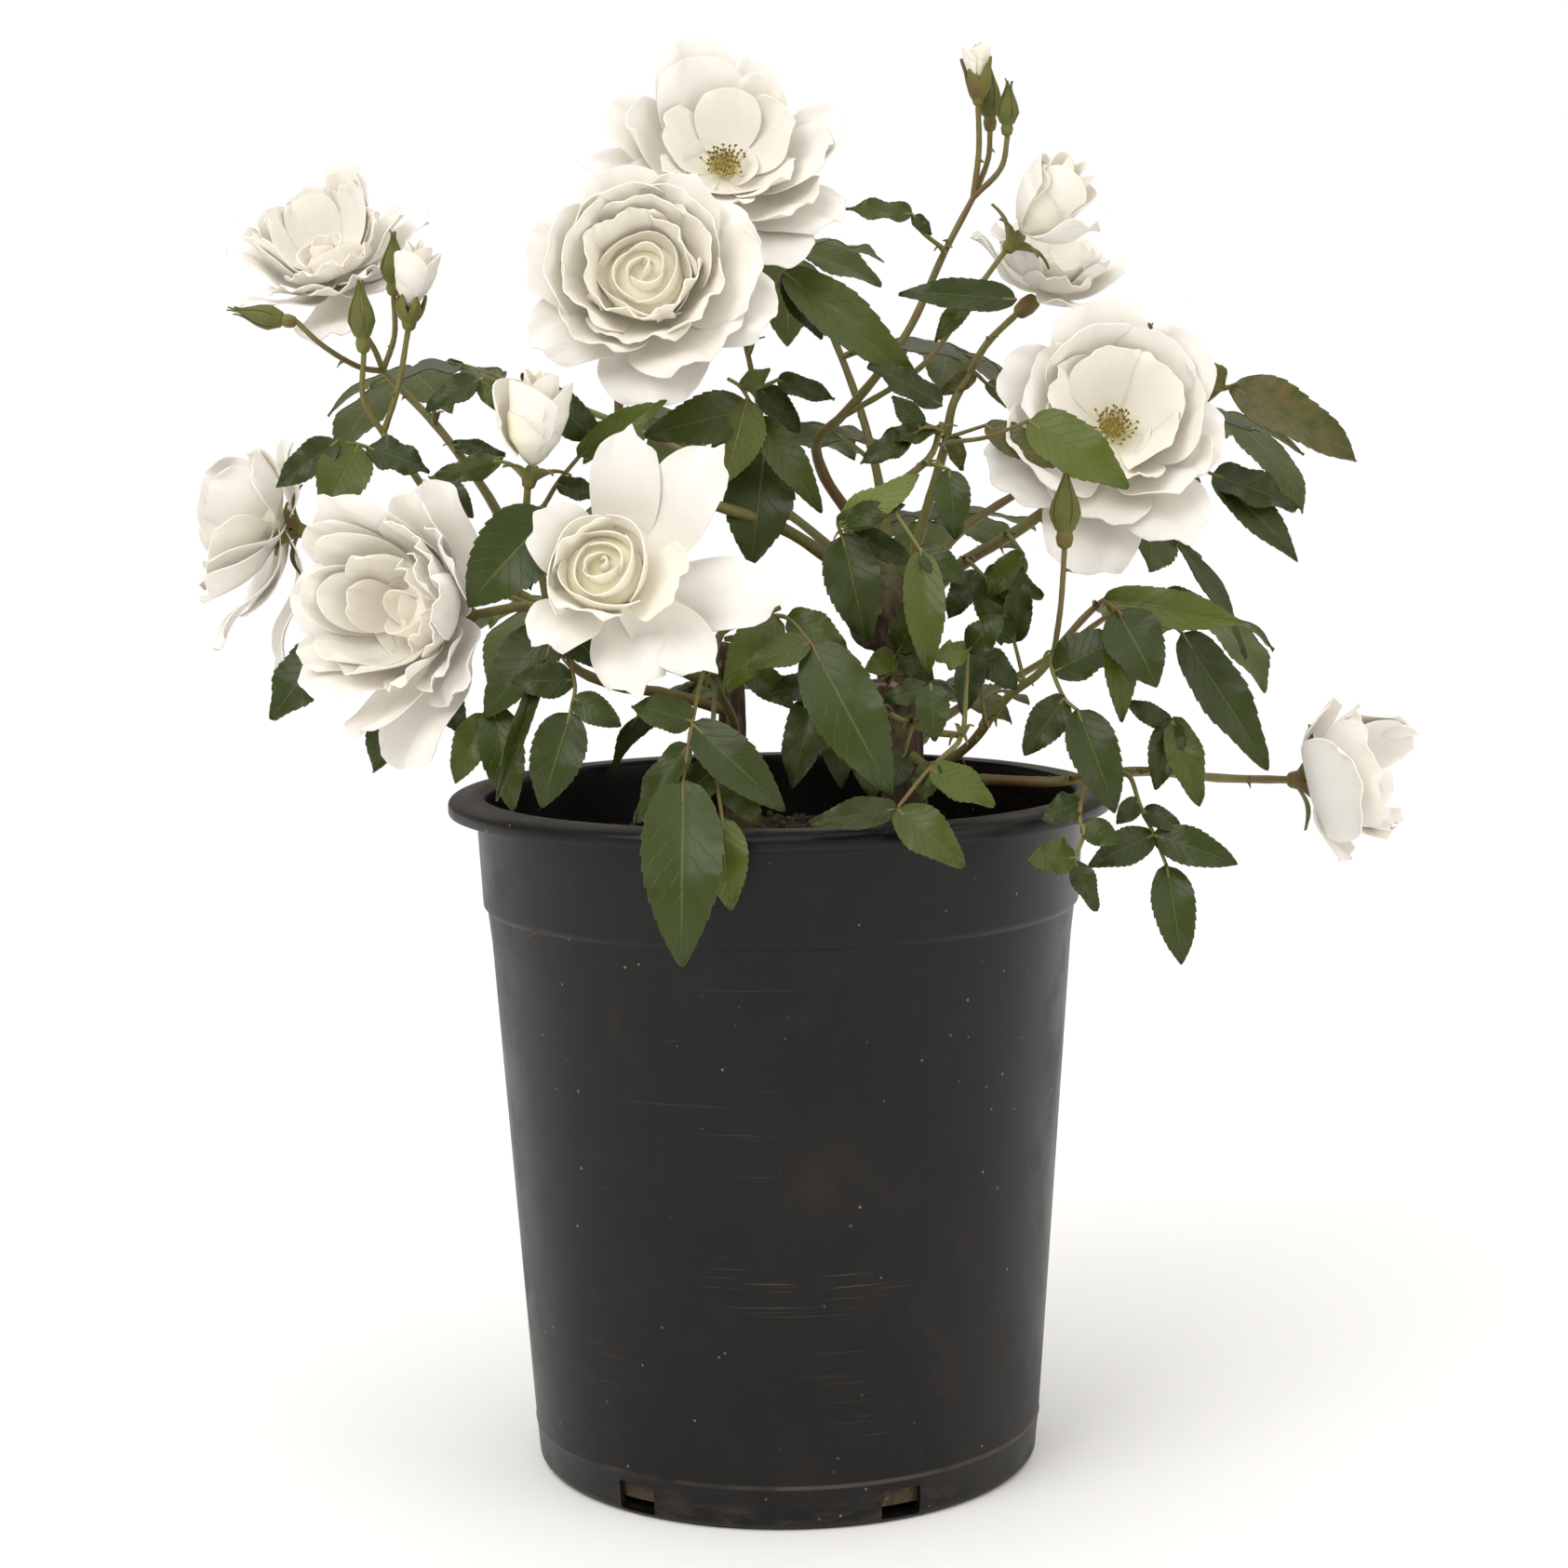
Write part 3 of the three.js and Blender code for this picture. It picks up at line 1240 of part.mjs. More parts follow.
// Leafy stems at the back, by rule: a cane through places in millimetres, and compound leaves round it.
const BACK_STEMS = {
  stem_back_left: {
    start: [944, 636, 11],
    cane: [[6, 34, 356], [-34, 52, 380], [-76, 66, 398], [-108, 72, 410]],
    leaves: 3,
  },
  stem_back_middle: {
    start: [958, 628, 14],
    cane: [[40, 34, 366], [32, 54, 400], [20, 66, 432], [8, 66, 458]],
    leaves: 3,
  },
  stem_back_right: {
    start: [974, 640, 11],
    cane: [[72, 36, 350], [106, 52, 370], [136, 60, 388]],
    leaves: 3,
  },
  stem_back_low_left: {
    start: [966, 760, 2],
    cane: [[16, 40, 286], [-24, 68, 300], [-66, 84, 316]],
    leaves: 2,
  },
  stem_back_low_right: {
    start: [974, 800, 3],
    cane: [[72, 38, 282], [104, 62, 296], [130, 76, 312]],
    leaves: 2,
  },
};
const BACK_RADII = [2.3, 1.3];
const BACK_LEAF = {
  length: 104,
  leaflet: 45,
  side: 37,
  width: 25,
  stalkWidth: 1.8,
  pairs: [20, 49],
  lean: 0.42,
  arch: 12,
  droop: 34,
};

function backCane(stem) {
  return [seen(stem.start), ...stem.cane.map((point) => new THREE.Vector3(...point))];
}

// Outline of a back leaf as [along, across] in millimetres: toothed leaflets cut to a thin stalk, in one
// blade.
function backLeafOutline(size) {
  const { length, leaflet, side, width, stalkWidth, pairs, lean } = BACK_LEAF;
  const half = stalkWidth / 2;
  const oneSide = [[0, half]];
  for (const root of pairs) {
    oneSide.push([root, half]);
    for (const [reach, spread] of [[0.4, -0.5], [0.5, -0.36], [1, 0], [0.64, 0.34], [0.4, 0.5]]) {
      oneSide.push([root + reach * side * lean + spread * width, half + reach * side]);
    }
    oneSide.push([root + 2, half]);
  }
  const tipRoot = length - leaflet;
  for (const [along, across] of [[0, half / width], [0.34, 0.5], [0.42, 0.4], [0.7, 0.36]]) {
    oneSide.push([tipRoot + along * leaflet, across * width]);
  }
  const otherSide = oneSide.map(([along, across]) => [along, -across]);
  return [...otherSide, [length, 0], ...oneSide.toReversed()].map(
    ([along, across]) => new THREE.Vector2(along * size, across * size),
  );
}

// A thin arched blade from an outline: along runs outward and droops, and both faces have the same triangles.
function archedBlade(outline, { root, outward, tilt, size, thickness }) {
  const up = new THREE.Vector3(0, 0, 1);
  const sideways = new THREE.Vector3().crossVectors(up, outward);
  const faces = THREE.ShapeUtils.triangulateShape(outline, []);
  const corners = [];
  for (const layer of [1, -1]) {
    for (const { x: along, y: across } of outline) {
      const share = along / (BACK_LEAF.length * size);
      const fall = BACK_LEAF.arch * Math.sin(Math.PI * share) - BACK_LEAF.droop * share * share;
      const rise = size * fall + tilt * along - 0.14 * Math.abs(across) * (1 + share);
      corners.push(
        root
          .clone()
          .addScaledVector(outward, along * (1 - 0.12 * share))
          .addScaledVector(sideways, across)
          .addScaledVector(up, rise + (layer * thickness) / 2),
      );
    }
  }
  const count = outline.length;
  const triangles = [];
  for (const [a, b, c] of faces) triangles.push([a, b, c], [a + count, c + count, b + count]);
  for (let here = 0; here < count; here += 1) {
    const next = (here + 1) % count;
    triangles.push([here, here + count, next + count], [here, next + count, next]);
  }
  return solidOf(corners, triangles);
}

// A back leaf on its cane, turned, tilted or shrunk clear of what is already there.
const BACK_BENDS = [
  [0, 1], [0.2, 1], [-0.2, 1], [0.4, 0.9], [-0.4, 0.9], [0.2, 0.75], [-0.2, 0.75], [0.5, 0.6], [0, 0.6],
];
const BACK_START = 0.36;
const BACK_SWING = { first: 66, step: 10 };
function addBackLeaf(node, stem, index) {
  const cane = backCane(stem);
  const last = stem.leaves - 1;
  const share = BACK_START + ((1 - BACK_START) * index) / last;
  const target = new THREE.CatmullRomCurve3(cane, false, "centripetal").getPointAt(share);
  const root = nearestOn(cane, target, cane.length);
  const group = `${node}_leaf_${index}`;
  const hand = index % 2 === 0 ? 1 : -1;
  const degrees = index === last ? 0 : hand * (BACK_SWING.first - BACK_SWING.step * index);
  const swing = THREE.MathUtils.degToRad(degrees);
  const outward = new THREE.Vector3(root.x - 10, root.y + 10, 0).normalize();
  outward.applyAxisAngle(new THREE.Vector3(0, 0, 1), swing);
  const make = ([tilt, size], thickness) =>
    archedBlade(backLeafOutline(size), { root, outward, tilt, size, thickness });
  const way = BACK_BENDS.find((bend) => !meets(make(bend, LEAF_THICKNESS + 2 * GAP), [node, group]));
  if (!way) throw new Error(`${group} meets its neighbours in every place tried`);
  const solid = make(way, LEAF_THICKNESS);
  addTo(node, solid);
  place(solid, node, group);
}

// A trunk with its knobs, or with a wider margin the hole that it stands in.
function makeTrunk({ path, radii, knobs }, wider) {
  const lumps = knobs.map(([across, down, depth, size]) => {
    const lump = new THREE.IcosahedronGeometry(size + FACET_MARGIN * wider, 0);
    const spot = seen([across, down, depth]);
    lump.translate(spot.x, spot.y, spot.z);
    return toSolid(lump);
  });
  return wasm.Manifold.union([tube(path.map(seen), radii.map((radius) => radius + wider), 8, 5), ...lumps]);
}

// Pot, soil and trunks come first.
const pot = makePot();
addTo("pot", pot);
place(pot, "pot", "pot");

let soil = makeSoil();
const woods = {};
for (const [name, wood] of Object.entries(WOODS)) {
  soil = soil.subtract(makeTrunk(wood, 2 * GAP));
  const stubs = wood.stubs.map((path) => tube(path.map(seen), STUB_RADII, 5, 1));
  woods[name] = wasm.Manifold.union([makeTrunk(wood, 0), ...stubs]);
}
addTo("potting_soil", soil);
place(soil, "potting_soil", "potting_soil");

// Canes, each in a socket of its trunk, with their twigs, hips and closed buds.
for (const [name, stem] of Object.entries(STEMS)) {
  const cane = stem.cane.map(seen);
  const steps = cane.length - 1;
  const pieces = [tube(cane, stem.radii, CANE_SIDES, steps)];
  for (const twig of stem.twigs) pieces.push(tube(twig.map(seen), TWIG_RADII, TWIG_SIDES));
  for (const [foot, top] of stem.hips) {
    pieces.push(turned(seen(foot), seen(top), HIP_RINGS, BUD_SIDES));
  }
  for (const [foot, top, width] of stem.buds) {
    const length = seen(foot).distanceTo(seen(top));
    const share = (width * PIXEL) / length;
    const rings = BUD_RINGS.map(([along, wide]) => [along, wide * share]);
    pieces.push(turned(seen(foot), seen(top), rings, BUD_SIDES));
  }
  const whole = wasm.Manifold.union(pieces);
  if (meets(whole, [])) throw new Error(`${name} crosses ${meets(whole, [])}`);
  addTo(name, whole);
  place(whole, name, name);
  const socket = tube(cane, stem.radii.map((radius) => radius + SOCKET_GAP), CANE_SIDES, steps, GAP);
  woods[stem.wood] = woods[stem.wood].subtract(socket);
}
for (const [name, stem] of Object.entries(BACK_STEMS)) {
  const cane = backCane(stem);
  const solid = tube(cane, BACK_RADII, CANE_SIDES, cane.length);
  if (meets(solid, [])) throw new Error(`${name} crosses ${meets(solid, [])}`);
  addTo(name, solid);
  place(solid, name, name);
  const socket = tube(cane, BACK_RADII.map((radius) => radius + SOCKET_GAP), CANE_SIDES, cane.length, GAP);
  woods.main_trunk = woods.main_trunk.subtract(socket);
}
for (const [name, wood] of Object.entries(woods)) {
  addTo(name, wood);
  place(wood, name, name);
}

// Blooms come before the leaves, which are bent clear of them.
for (const [name, bloom] of Object.entries(BLOOMS)) {
  makeBloom(name, bloom);
  if (bloom.stamens > 0) {
    const stamens = makeStamens(bloom);
    if (meets(stamens, [])) throw new Error(`${name}_stamens crosses ${meets(stamens, [])}`);
    addTo(`${name}_stamens`, stamens);
    place(stamens, `${name}_stamens`, `${name}_stamens`);
  }
}

for (const [name, stem] of Object.entries(STEMS)) {
  for (const hip of stem.hips.filter(([, , sepals]) => sepals)) addSepals(name, hip);
  const canes = [stem.cane, ...stem.twigs];
  stem.leaves.forEach((leaf, index) => addLeaf(name, canes, leaf, `${name}_leaf_${index}`));
}

for (const [name, stem] of Object.entries(BACK_STEMS)) {
  for (let index = 0; index < stem.leaves; index += 1) addBackLeaf(name, stem, index);
}

// One mesh for each node.
const FINISHES = {
  pot: { color: 0x262322, roughness: 0.42, metalness: 0 },
  potting_soil: { color: 0x1b1611, roughness: 0.95, metalness: 0 },
  trunk: { color: 0x5b4631, roughness: 0.85, metalness: 0 },
  stem: { color: 0x3f5320, roughness: 0.45, metalness: 0 },
  petal: { color: 0xefeae0, roughness: 0.6, metalness: 0 },
  stamens: { color: 0xb8ad60, roughness: 0.7, metalness: 0 },
};

function finishOf(name) {
  if (name.endsWith("stamens")) return FINISHES.stamens;
  if (name.startsWith("bloom") || name.startsWith("opening")) return FINISHES.petal;
  if (name.endsWith("trunk")) return FINISHES.trunk;
  return FINISHES[name] ?? FINISHES.stem;
}

const group = new THREE.Group();
for (const [name, solids] of nodes) {
  const bodies = wasm.Manifold.union(solids).decompose();
  bodies.sort((a, b) => b.volume() - a.volume());
  const whole = bodies[0].asOriginal().simplify(SIMPLER);
  const mesh = whole.getMesh();
  const geometry = new THREE.BufferGeometry();
  geometry.setAttribute("position", new THREE.BufferAttribute(new Float32Array(mesh.vertProperties), 3));
  geometry.setIndex(new THREE.BufferAttribute(new Uint32Array(mesh.triVerts), 1));
  const piece = new THREE.Mesh(geometry, new THREE.MeshStandardMaterial(finishOf(name)));
  piece.name = name;
  group.add(piece);
}

export default group;
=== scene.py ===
"""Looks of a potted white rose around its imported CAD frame, laid out as an add-on and run as a script."""

import math
import random

import bpy
import numpy as np
from bpy.props import FloatProperty, FloatVectorProperty, IntProperty, PointerProperty
from bpy.types import Operator, Panel, PropertyGroup
from mathutils import Matrix, Vector, noise
from mathutils.bvhtree import BVHTree


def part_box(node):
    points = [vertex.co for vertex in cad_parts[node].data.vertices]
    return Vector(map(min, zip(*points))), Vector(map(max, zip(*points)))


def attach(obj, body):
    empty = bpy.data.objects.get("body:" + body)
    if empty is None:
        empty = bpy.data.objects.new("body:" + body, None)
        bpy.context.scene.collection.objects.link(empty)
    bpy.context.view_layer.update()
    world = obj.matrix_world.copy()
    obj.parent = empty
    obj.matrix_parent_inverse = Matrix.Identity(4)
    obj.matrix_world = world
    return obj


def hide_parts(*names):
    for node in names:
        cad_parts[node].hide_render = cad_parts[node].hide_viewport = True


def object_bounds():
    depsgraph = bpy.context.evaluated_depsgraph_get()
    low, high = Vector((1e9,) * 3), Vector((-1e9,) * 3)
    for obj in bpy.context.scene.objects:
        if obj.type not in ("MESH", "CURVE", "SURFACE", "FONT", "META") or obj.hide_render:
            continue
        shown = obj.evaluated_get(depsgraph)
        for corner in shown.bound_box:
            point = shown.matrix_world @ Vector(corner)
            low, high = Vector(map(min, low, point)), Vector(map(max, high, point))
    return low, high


bl_info = {
    "name": "Potted Rose",
    "version": (1, 0, 0),
    "blender": (4, 5, 0),
    "location": "3D View > Sidebar > Rose",
    "description": "Pot, soil, trunks, leafy stems and blooms of a potted white rose",
    "category": "Object",
}

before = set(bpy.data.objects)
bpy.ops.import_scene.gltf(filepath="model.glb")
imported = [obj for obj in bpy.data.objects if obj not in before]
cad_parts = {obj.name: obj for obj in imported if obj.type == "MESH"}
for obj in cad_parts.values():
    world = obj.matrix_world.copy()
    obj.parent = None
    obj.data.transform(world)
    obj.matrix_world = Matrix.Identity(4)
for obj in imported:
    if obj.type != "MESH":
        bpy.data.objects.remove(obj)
CAD_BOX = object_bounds()
_, POT_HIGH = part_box("pot")

MM = 0.001

# The front view that places are read in: a square picture seen from this point, in its own pixels.
EYE = np.array([1.68, -1147.7, 398.3]) * MM
PITCH = math.radians(7.037)
ROLL = math.radians(0.745)
FOCAL = 3300
CENTRE = 842.5
PICTURE_SIDE = 1685
SENSOR = 36
PIXEL = -EYE[1] / (FOCAL * math.cos(PITCH))

# The gap between a bloom and its hip, and the turn from one petal or stamen of a spiral to the next.
GAP = 0.4 * MM
GOLDEN = math.radians(137.5)

# Stretches that the curve between two given points is worked out in.
CURVE_STEPS = 16

# Woody trunks: path, knobs and cut stubs as [across, down, depth, size] in pixels and millimetres.
WOODS = {
    "main_trunk": {
        "path": [[978, 1010, -6], [974, 900, -8], [968, 800, -6], [966, 730, -3], [957, 660, 0]],
        "radii": [10.5, 8.5],
        "knobs": [[957, 655, 0, 15.5], [940, 672, -8, 11], [974, 668, 6, 12], [985, 905, -8, 13]],
        "stubs": [[[950, 655, -2], [936, 618, -10]], [[972, 655, 4], [984, 622, 12]]],
    },
    "side_trunk": {
        "path": [[800, 1010, -22], [797, 900, -22], [788, 830, -20], [785, 740, -16], [772, 700, -14]],
        "radii": [6.8, 5.4], "knobs": [[776, 712, -15, 9], [796, 905, -22, 8.5]],
        "stubs": [[[780, 722, -12], [800, 690, -2]]],
    },
}

# Leafy stems. A cane, a twig or a leaf's stalk is a path of [across, down, depth] places, in pixels and
# millimetres. A hip is [foot, top], with the length of its sepals where it has them, and a bud is
# [foot, top, half its width]. A leaf is [stalk, leaflets], and each leaflet is [base across, base down,
# tip across, tip down, width] in pixels. The radii of a cane are in millimetres.
STEMS = {
    "stem_upper_left": {
        "cane": [
            [772, 703, -12], [700, 668, -18], [620, 632, -22], [560, 590, -22], [522, 529, -18],
            [493, 488, -14], [465, 453, -8], [412, 399, -2],
        ],
        "radii": [2.6, 1.5],
        "twigs": [
            [[412, 399, -2], [401, 373, 0], [378, 340, 3]],
            [[412, 399, -2], [385, 394, -16], [345, 370, -30], [318, 345, -31]],
            [[412, 397, -3], [424, 360, -14], [423, 318, -20]],
        ],
        "hips": [[[380, 345, 3], [368, 318, 4]]],
        "buds": [[[321, 347, -31], [250, 333, -30], 12], [[423, 320, -20], [423, 252, -22], 13]],
        "leaves": [
            [
                [[466, 450, -12], [471, 427, -18], [516, 408, -26]],
                [[514, 405, 457, 440, 28], [520, 408, 548, 446, 26]],
            ],
            [[[487, 478, -20]], [[487, 478, 543, 488, 18]]],
            [[[500, 500, -22], [540, 492, -30]], [[540, 492, 462, 515, 28]]],
        ],
    },
    "stem_left": {
        "cane": [
            [770, 719, -17], [690, 694, -34], [610, 664, -46], [530, 620, -46], [495, 580, -43],
            [465, 539, -39], [439, 501, -35], [412, 466, -30],
        ],
        "radii": [2.6, 1.4],
        "twigs": [
            [[412, 466, -30], [391, 431, -34], [391, 378, -38]],
            [[412, 466, -30], [428, 415, -34], [439, 352, -36]],
        ],
        "hips": [[[439, 358, -36], [440, 338, -37], 10]], "buds": [[[391, 382, -38], [386, 300, -40], 13]],
        "leaves": [
            [
                [[430, 498, -40], [390, 479, -48], [362, 474, -52]],
                [[386, 477, 347, 550, 60], [362, 474, 296, 523, 38], [399, 472, 463, 504, 35]],
            ],
            [[[466, 513, -46]], [[466, 513, 509, 556, 34]]],
        ],
    },
    "stem_low_left": {
        "cane": [[775, 738, -14], [700, 706, -44], [640, 672, -58], [573, 652, -60], [512, 660, -62]],
        "radii": [2.6, 1.9],
        "twigs": [[[573, 652, -60], [500, 622, -40], [410, 590, -24], [330, 572, -20]]],
        "hips": [[[516, 660, -62], [492, 662, -64]], [[334, 573, -20], [314, 568, -20], 15]], "buds": [],
        "leaves": [
            [[[440, 640, -40], [354, 694, -34]], [[354, 694, 289, 773, 55]]],
            [[[470, 690, -36], [440, 740, -34]], [[440, 740, 400, 830, 50], [455, 715, 500, 790, 44]]],
        ],
    },
    "stem_centre_left": {
        "cane": [
            [783, 764, -20], [715, 745, -48], [655, 735, -68], [612, 712, -74], [592, 660, -72],
            [578, 600, -74], [566, 560, -78], [567, 524, -80],
        ],
        "radii": [2.4, 1.5], "twigs": [[[655, 735, -68], [668, 690, -74], [663, 650, -82]]],
        "hips": [[[567, 528, -80], [570, 508, -80], 13], [[664, 655, -80], [657, 634, -88]]], "buds": [],
        "leaves": [
            [[[590, 552, -86]], [[590, 552, 500, 652, 85]]],
            [
                [[583, 545, -70], [600, 518, -66], [640, 470, -60]],
                [[600, 521, 648, 534, 24], [625, 492, 716, 428, 35], [640, 470, 560, 405, 45]],
            ],
            [
                [[601, 668, -86], [594, 686, -92], [586, 711, -96]],
                [[598, 672, 520, 770, 60], [586, 711, 530, 864, 20], [603, 666, 649, 718, 45]],
            ],
            [
                [[612, 712, -92], [618, 740, -98], [613, 766, -100]],
                [[626, 728, 548, 733, 40], [613, 766, 581, 869, 60], [616, 750, 668, 780, 34]],
            ],
            [
                [[590, 690, -78], [556, 735, -86], [520, 768, -88]],
                [[545, 775, 552, 872, 50], [520, 770, 488, 842, 40]],
            ],
        ],
    },
    "stem_top": {
        "cane": [
            [932, 640, -8], [890, 600, -16], [835, 565, -30], [760, 540, -42], [700, 516, -48],
            [668, 480, -46], [665, 440, -38], [668, 385, -28], [688, 338, -28],
        ],
        "radii": [2.8, 1.6],
        "twigs": [
            [[835, 565, -30], [826, 490, -16], [812, 420, -4], [795, 340, 2], [780, 270, 4], [775, 222, 2]],
        ],
        "hips": [[[687, 342, -28], [695, 320, -34]], [[776, 230, 2], [775, 210, 1]]], "buds": [],
        "leaves": [
            [
                [[822, 484, -24], [813, 448, -32], [795, 415, -38], [782, 407, -40]],
                [
                    [807, 440, 692, 468, 55], [820, 484, 807, 607, 78], [818, 449, 885, 550, 40],
                    [800, 412, 828, 398, 22], [800, 430, 779, 519, 60],
                ],
            ],
            [
                [[805, 380, -2], [822, 330, -8], [843, 292, -12]],
                [[843, 290, 993, 417, 55], [850, 296, 886, 364, 38]],
            ],
            [[[812, 420, -14], [836, 408, -20]], [[815, 414, 861, 464, 32], [838, 405, 897, 428, 25]]],
        ],
    },
    "stem_top_right": {
        "cane": [
            [952, 622, 4], [925, 570, 4], [885, 510, 0], [878, 474, -4], [903, 449, -6], [946, 399, -4],
            [979, 350, 0], [1015, 271, 4], [1046, 212, 5],
        ],
        "radii": [2.7, 1.3],
        "twigs": [
            [[1046, 212, 5], [1052, 160, 3], [1051, 112, 2]],
            [[1046, 212, 5], [1062, 170, 8], [1064, 140, 9]],
            [[1046, 212, 5], [1076, 180, 2], [1083, 144, 0]],
            [[903, 449, -6], [969, 410, -12], [1000, 384, -14], [1045, 318, -10], [1080, 270, -8]],
        ],
        "hips": [[[1051, 116, 2], [1051, 100, 2]], [[1078, 272, -8], [1092, 258, -9], 15]],
        "buds": [[[1064, 144, 9], [1062, 66, 10], 12], [[1082, 148, 0], [1084, 88, -2], 11]],
        "leaves": [
            [
                [[1013, 267, -2], [989, 247, -8], [980, 230, -10]],
                [[979, 230, 907, 223, 22], [982, 232, 1001, 252, 16]],
            ],
            [[[1040, 318, -18], [1092, 322, -24]], [[1092, 320, 965, 312, 36], [1042, 325, 1004, 367, 24]]],
            [[[969, 410, -20], [1012, 436, -28]], [[1012, 436, 934, 389, 30]]],
        ],
    },
    "stem_young_right": {
        "cane": [
            [976, 626, -8], [986, 579, -12], [1002, 527, -14], [1016, 476, -14], [1024, 435, -12],
            [1040, 405, -8], [1060, 370, 2], [1095, 335, 16],
        ],
        "radii": [2.2, 1.4], "twigs": [], "hips": [[[1090, 340, 14], [1112, 322, 20]]], "buds": [],
        "leaves": [
            [
                [[1045, 400, -14], [1060, 412, -20]],
                [[1060, 412, 1145, 453, 30], [1046, 404, 1010, 424, 20]],
            ],
            [
                [[1020, 470, -22], [1059, 457, -32]],
                [[1059, 457, 1134, 501, 34], [1022, 468, 1034, 506, 20]],
            ],
            [[[1016, 476, -30], [1060, 470, -56], [1106, 452, -80]], [[1110, 450, 1215, 522, 60]]],
        ],
    },
    "stem_right": {
        "cane": [[984, 652, 0], [1034, 606, 2], [1103, 564, 2], [1155, 520, -4], [1180, 492, -10]],
        "radii": [3, 2],
        "twigs": [
            [[1120, 556, 1], [1190, 520, 14], [1250, 470, 14], [1315, 415, 8]],
            [[1250, 470, 14], [1252, 430, 18], [1238, 396, 20]],
        ],
        "hips": [[[1176, 496, -9], [1186, 480, -14]]], "buds": [[[1238, 398, 20], [1235, 350, 22], 15]],
        "leaves": [
            [
                [[1040, 602, -4], [1060, 622, -14]],
                [[1060, 622, 1078, 694, 42], [1058, 618, 1122, 640, 36], [1050, 614, 1018, 664, 34]],
            ],
            [[[1085, 576, -4], [1100, 596, -12]], [[1100, 596, 1062, 640, 34]]],
            [[[1315, 418, 4], [1330, 412, 0]], [[1322, 415, 1462, 492, 55], [1315, 415, 1267, 380, 30]]],
            [
                [[1240, 482, 4], [1304, 510, -6]],
                [[1306, 506, 1396, 545, 38], [1302, 514, 1399, 602, 38], [1270, 496, 1262, 590, 46]],
            ],
        ],
    },
    "stem_right_mid": {
        "cane": [
            [972, 806, -8], [1000, 824, -24], [1042, 800, -40], [1081, 751, -48], [1118, 722, -52],
            [1142, 690, -52], [1180, 650, -50], [1215, 632, -46],
        ],
        "radii": [2.3, 1.3], "twigs": [[[1132, 706, -52], [1140, 650, -60], [1144, 588, -66]]], "hips": [],
        "buds": [[[1144, 592, -66], [1146, 505, -66], 15]],
        "leaves": [
            [
                [[1186, 646, -60], [1196, 652, -70], [1205, 660, -78]],
                [[1186, 646, 1340, 668, 45], [1205, 652, 1245, 737, 65], [1196, 660, 1207, 779, 38]],
            ],
            [
                [[1225, 640, -40], [1270, 680, -42]],
                [[1274, 684, 1365, 828, 55], [1240, 655, 1290, 640, 36]],
            ],
            [
                [[1130, 716, -64], [1145, 752, -74], [1158, 763, -78]],
                [[1158, 763, 1200, 874, 55], [1146, 748, 1100, 812, 42], [1134, 722, 1210, 682, 50]],
            ],
            [
                [[1060, 780, -56], [1049, 692, -62]],
                [[1049, 693, 1034, 770, 34], [1052, 700, 1095, 740, 34]],
            ],
            [
                [[1100, 730, -40], [1090, 690, -36]],
                [[1091, 686, 1099, 608, 32], [1088, 689, 1055, 640, 26]],
            ],
        ],
    },
    "stem_low_right": {
        "cane": [
            [975, 842, -8], [1000, 838, -26], [1063, 838, -46], [1137, 840, -56], [1182, 832, -54],
            [1238, 829, -46], [1309, 836, -34], [1385, 838, -24],
        ],
        "radii": [2.5, 1.6], "twigs": [], "hips": [[[1380, 838, -24], [1404, 838, -22], 19]], "buds": [],
        "leaves": [
            [
                [[1238, 826, -56], [1249, 806, -62], [1260, 772, -64]],
                [[1260, 770, 1242, 849, 38], [1263, 770, 1290, 867, 40], [1256, 780, 1208, 752, 24]],
            ],
            [
                [[1215, 836, -66], [1225, 865, -74], [1240, 897, -78], [1254, 931, -80]],
                [
                    [1238, 898, 1170, 930, 40], [1242, 896, 1331, 928, 42], [1254, 931, 1272, 1038, 48],
                    [1230, 870, 1272, 892, 24], [1224, 860, 1200, 885, 24],
                ],
            ],
            [
                [[1165, 838, -76], [1160, 880, -94], [1165, 895, -98], [1154, 925, -100]],
                [
                    [1160, 862, 1120, 880, 32], [1155, 922, 1105, 923, 38], [1165, 885, 1205, 905, 30],
                    [1156, 926, 1180, 980, 26],
                ],
            ],
        ],
    },
    "stem_front_left": {
        "cane": [
            [791, 806, -24], [786, 770, -52], [766, 722, -76], [775, 680, -78], [800, 668, -74],
            [838, 652, -70],
        ],
        "radii": [2.3, 1.4], "twigs": [], "hips": [], "buds": [],
        "leaves": [
            [
                [[756, 722, -96], [744, 776, -112], [734, 838, -126]],
                [
                    [743, 775, 679, 757, 40], [738, 800, 682, 884, 34], [745, 778, 845, 872, 55],
                    [733, 840, 732, 1040, 90],
                ],
            ],
            [
                [[768, 745, -84], [766, 800, -106], [776, 880, -128]],
                [[779, 886, 785, 980, 50], [766, 826, 706, 884, 46], [768, 830, 820, 888, 34]],
            ],
            [
                [[826, 662, -86], [846, 664, -94], [872, 692, -104]],
                [
                    [836, 660, 777, 744, 50], [846, 662, 912, 700, 42], [872, 694, 959, 855, 80],
                    [866, 696, 802, 715, 34],
                ],
            ],
            [[[795, 690, -74], [797, 714, -70]], [[797, 716, 855, 760, 34]]],
        ],
    },
    "stem_front_right": {
        "cane": [
            [944, 662, -12], [930, 630, -34], [908, 590, -50], [925, 550, -56], [965, 520, -54],
            [1000, 490, -48], [1012, 455, -40],
        ],
        "radii": [2.3, 1.3], "twigs": [], "hips": [], "buds": [],
        "leaves": [
            [
                [[905, 575, -62], [900, 562, -66]],
                [[903, 580, 932, 692, 62], [896, 556, 988, 513, 38], [900, 560, 972, 540, 26]],
            ],
            [[[915, 572, -50]], [[913, 572, 986, 607, 30]]],
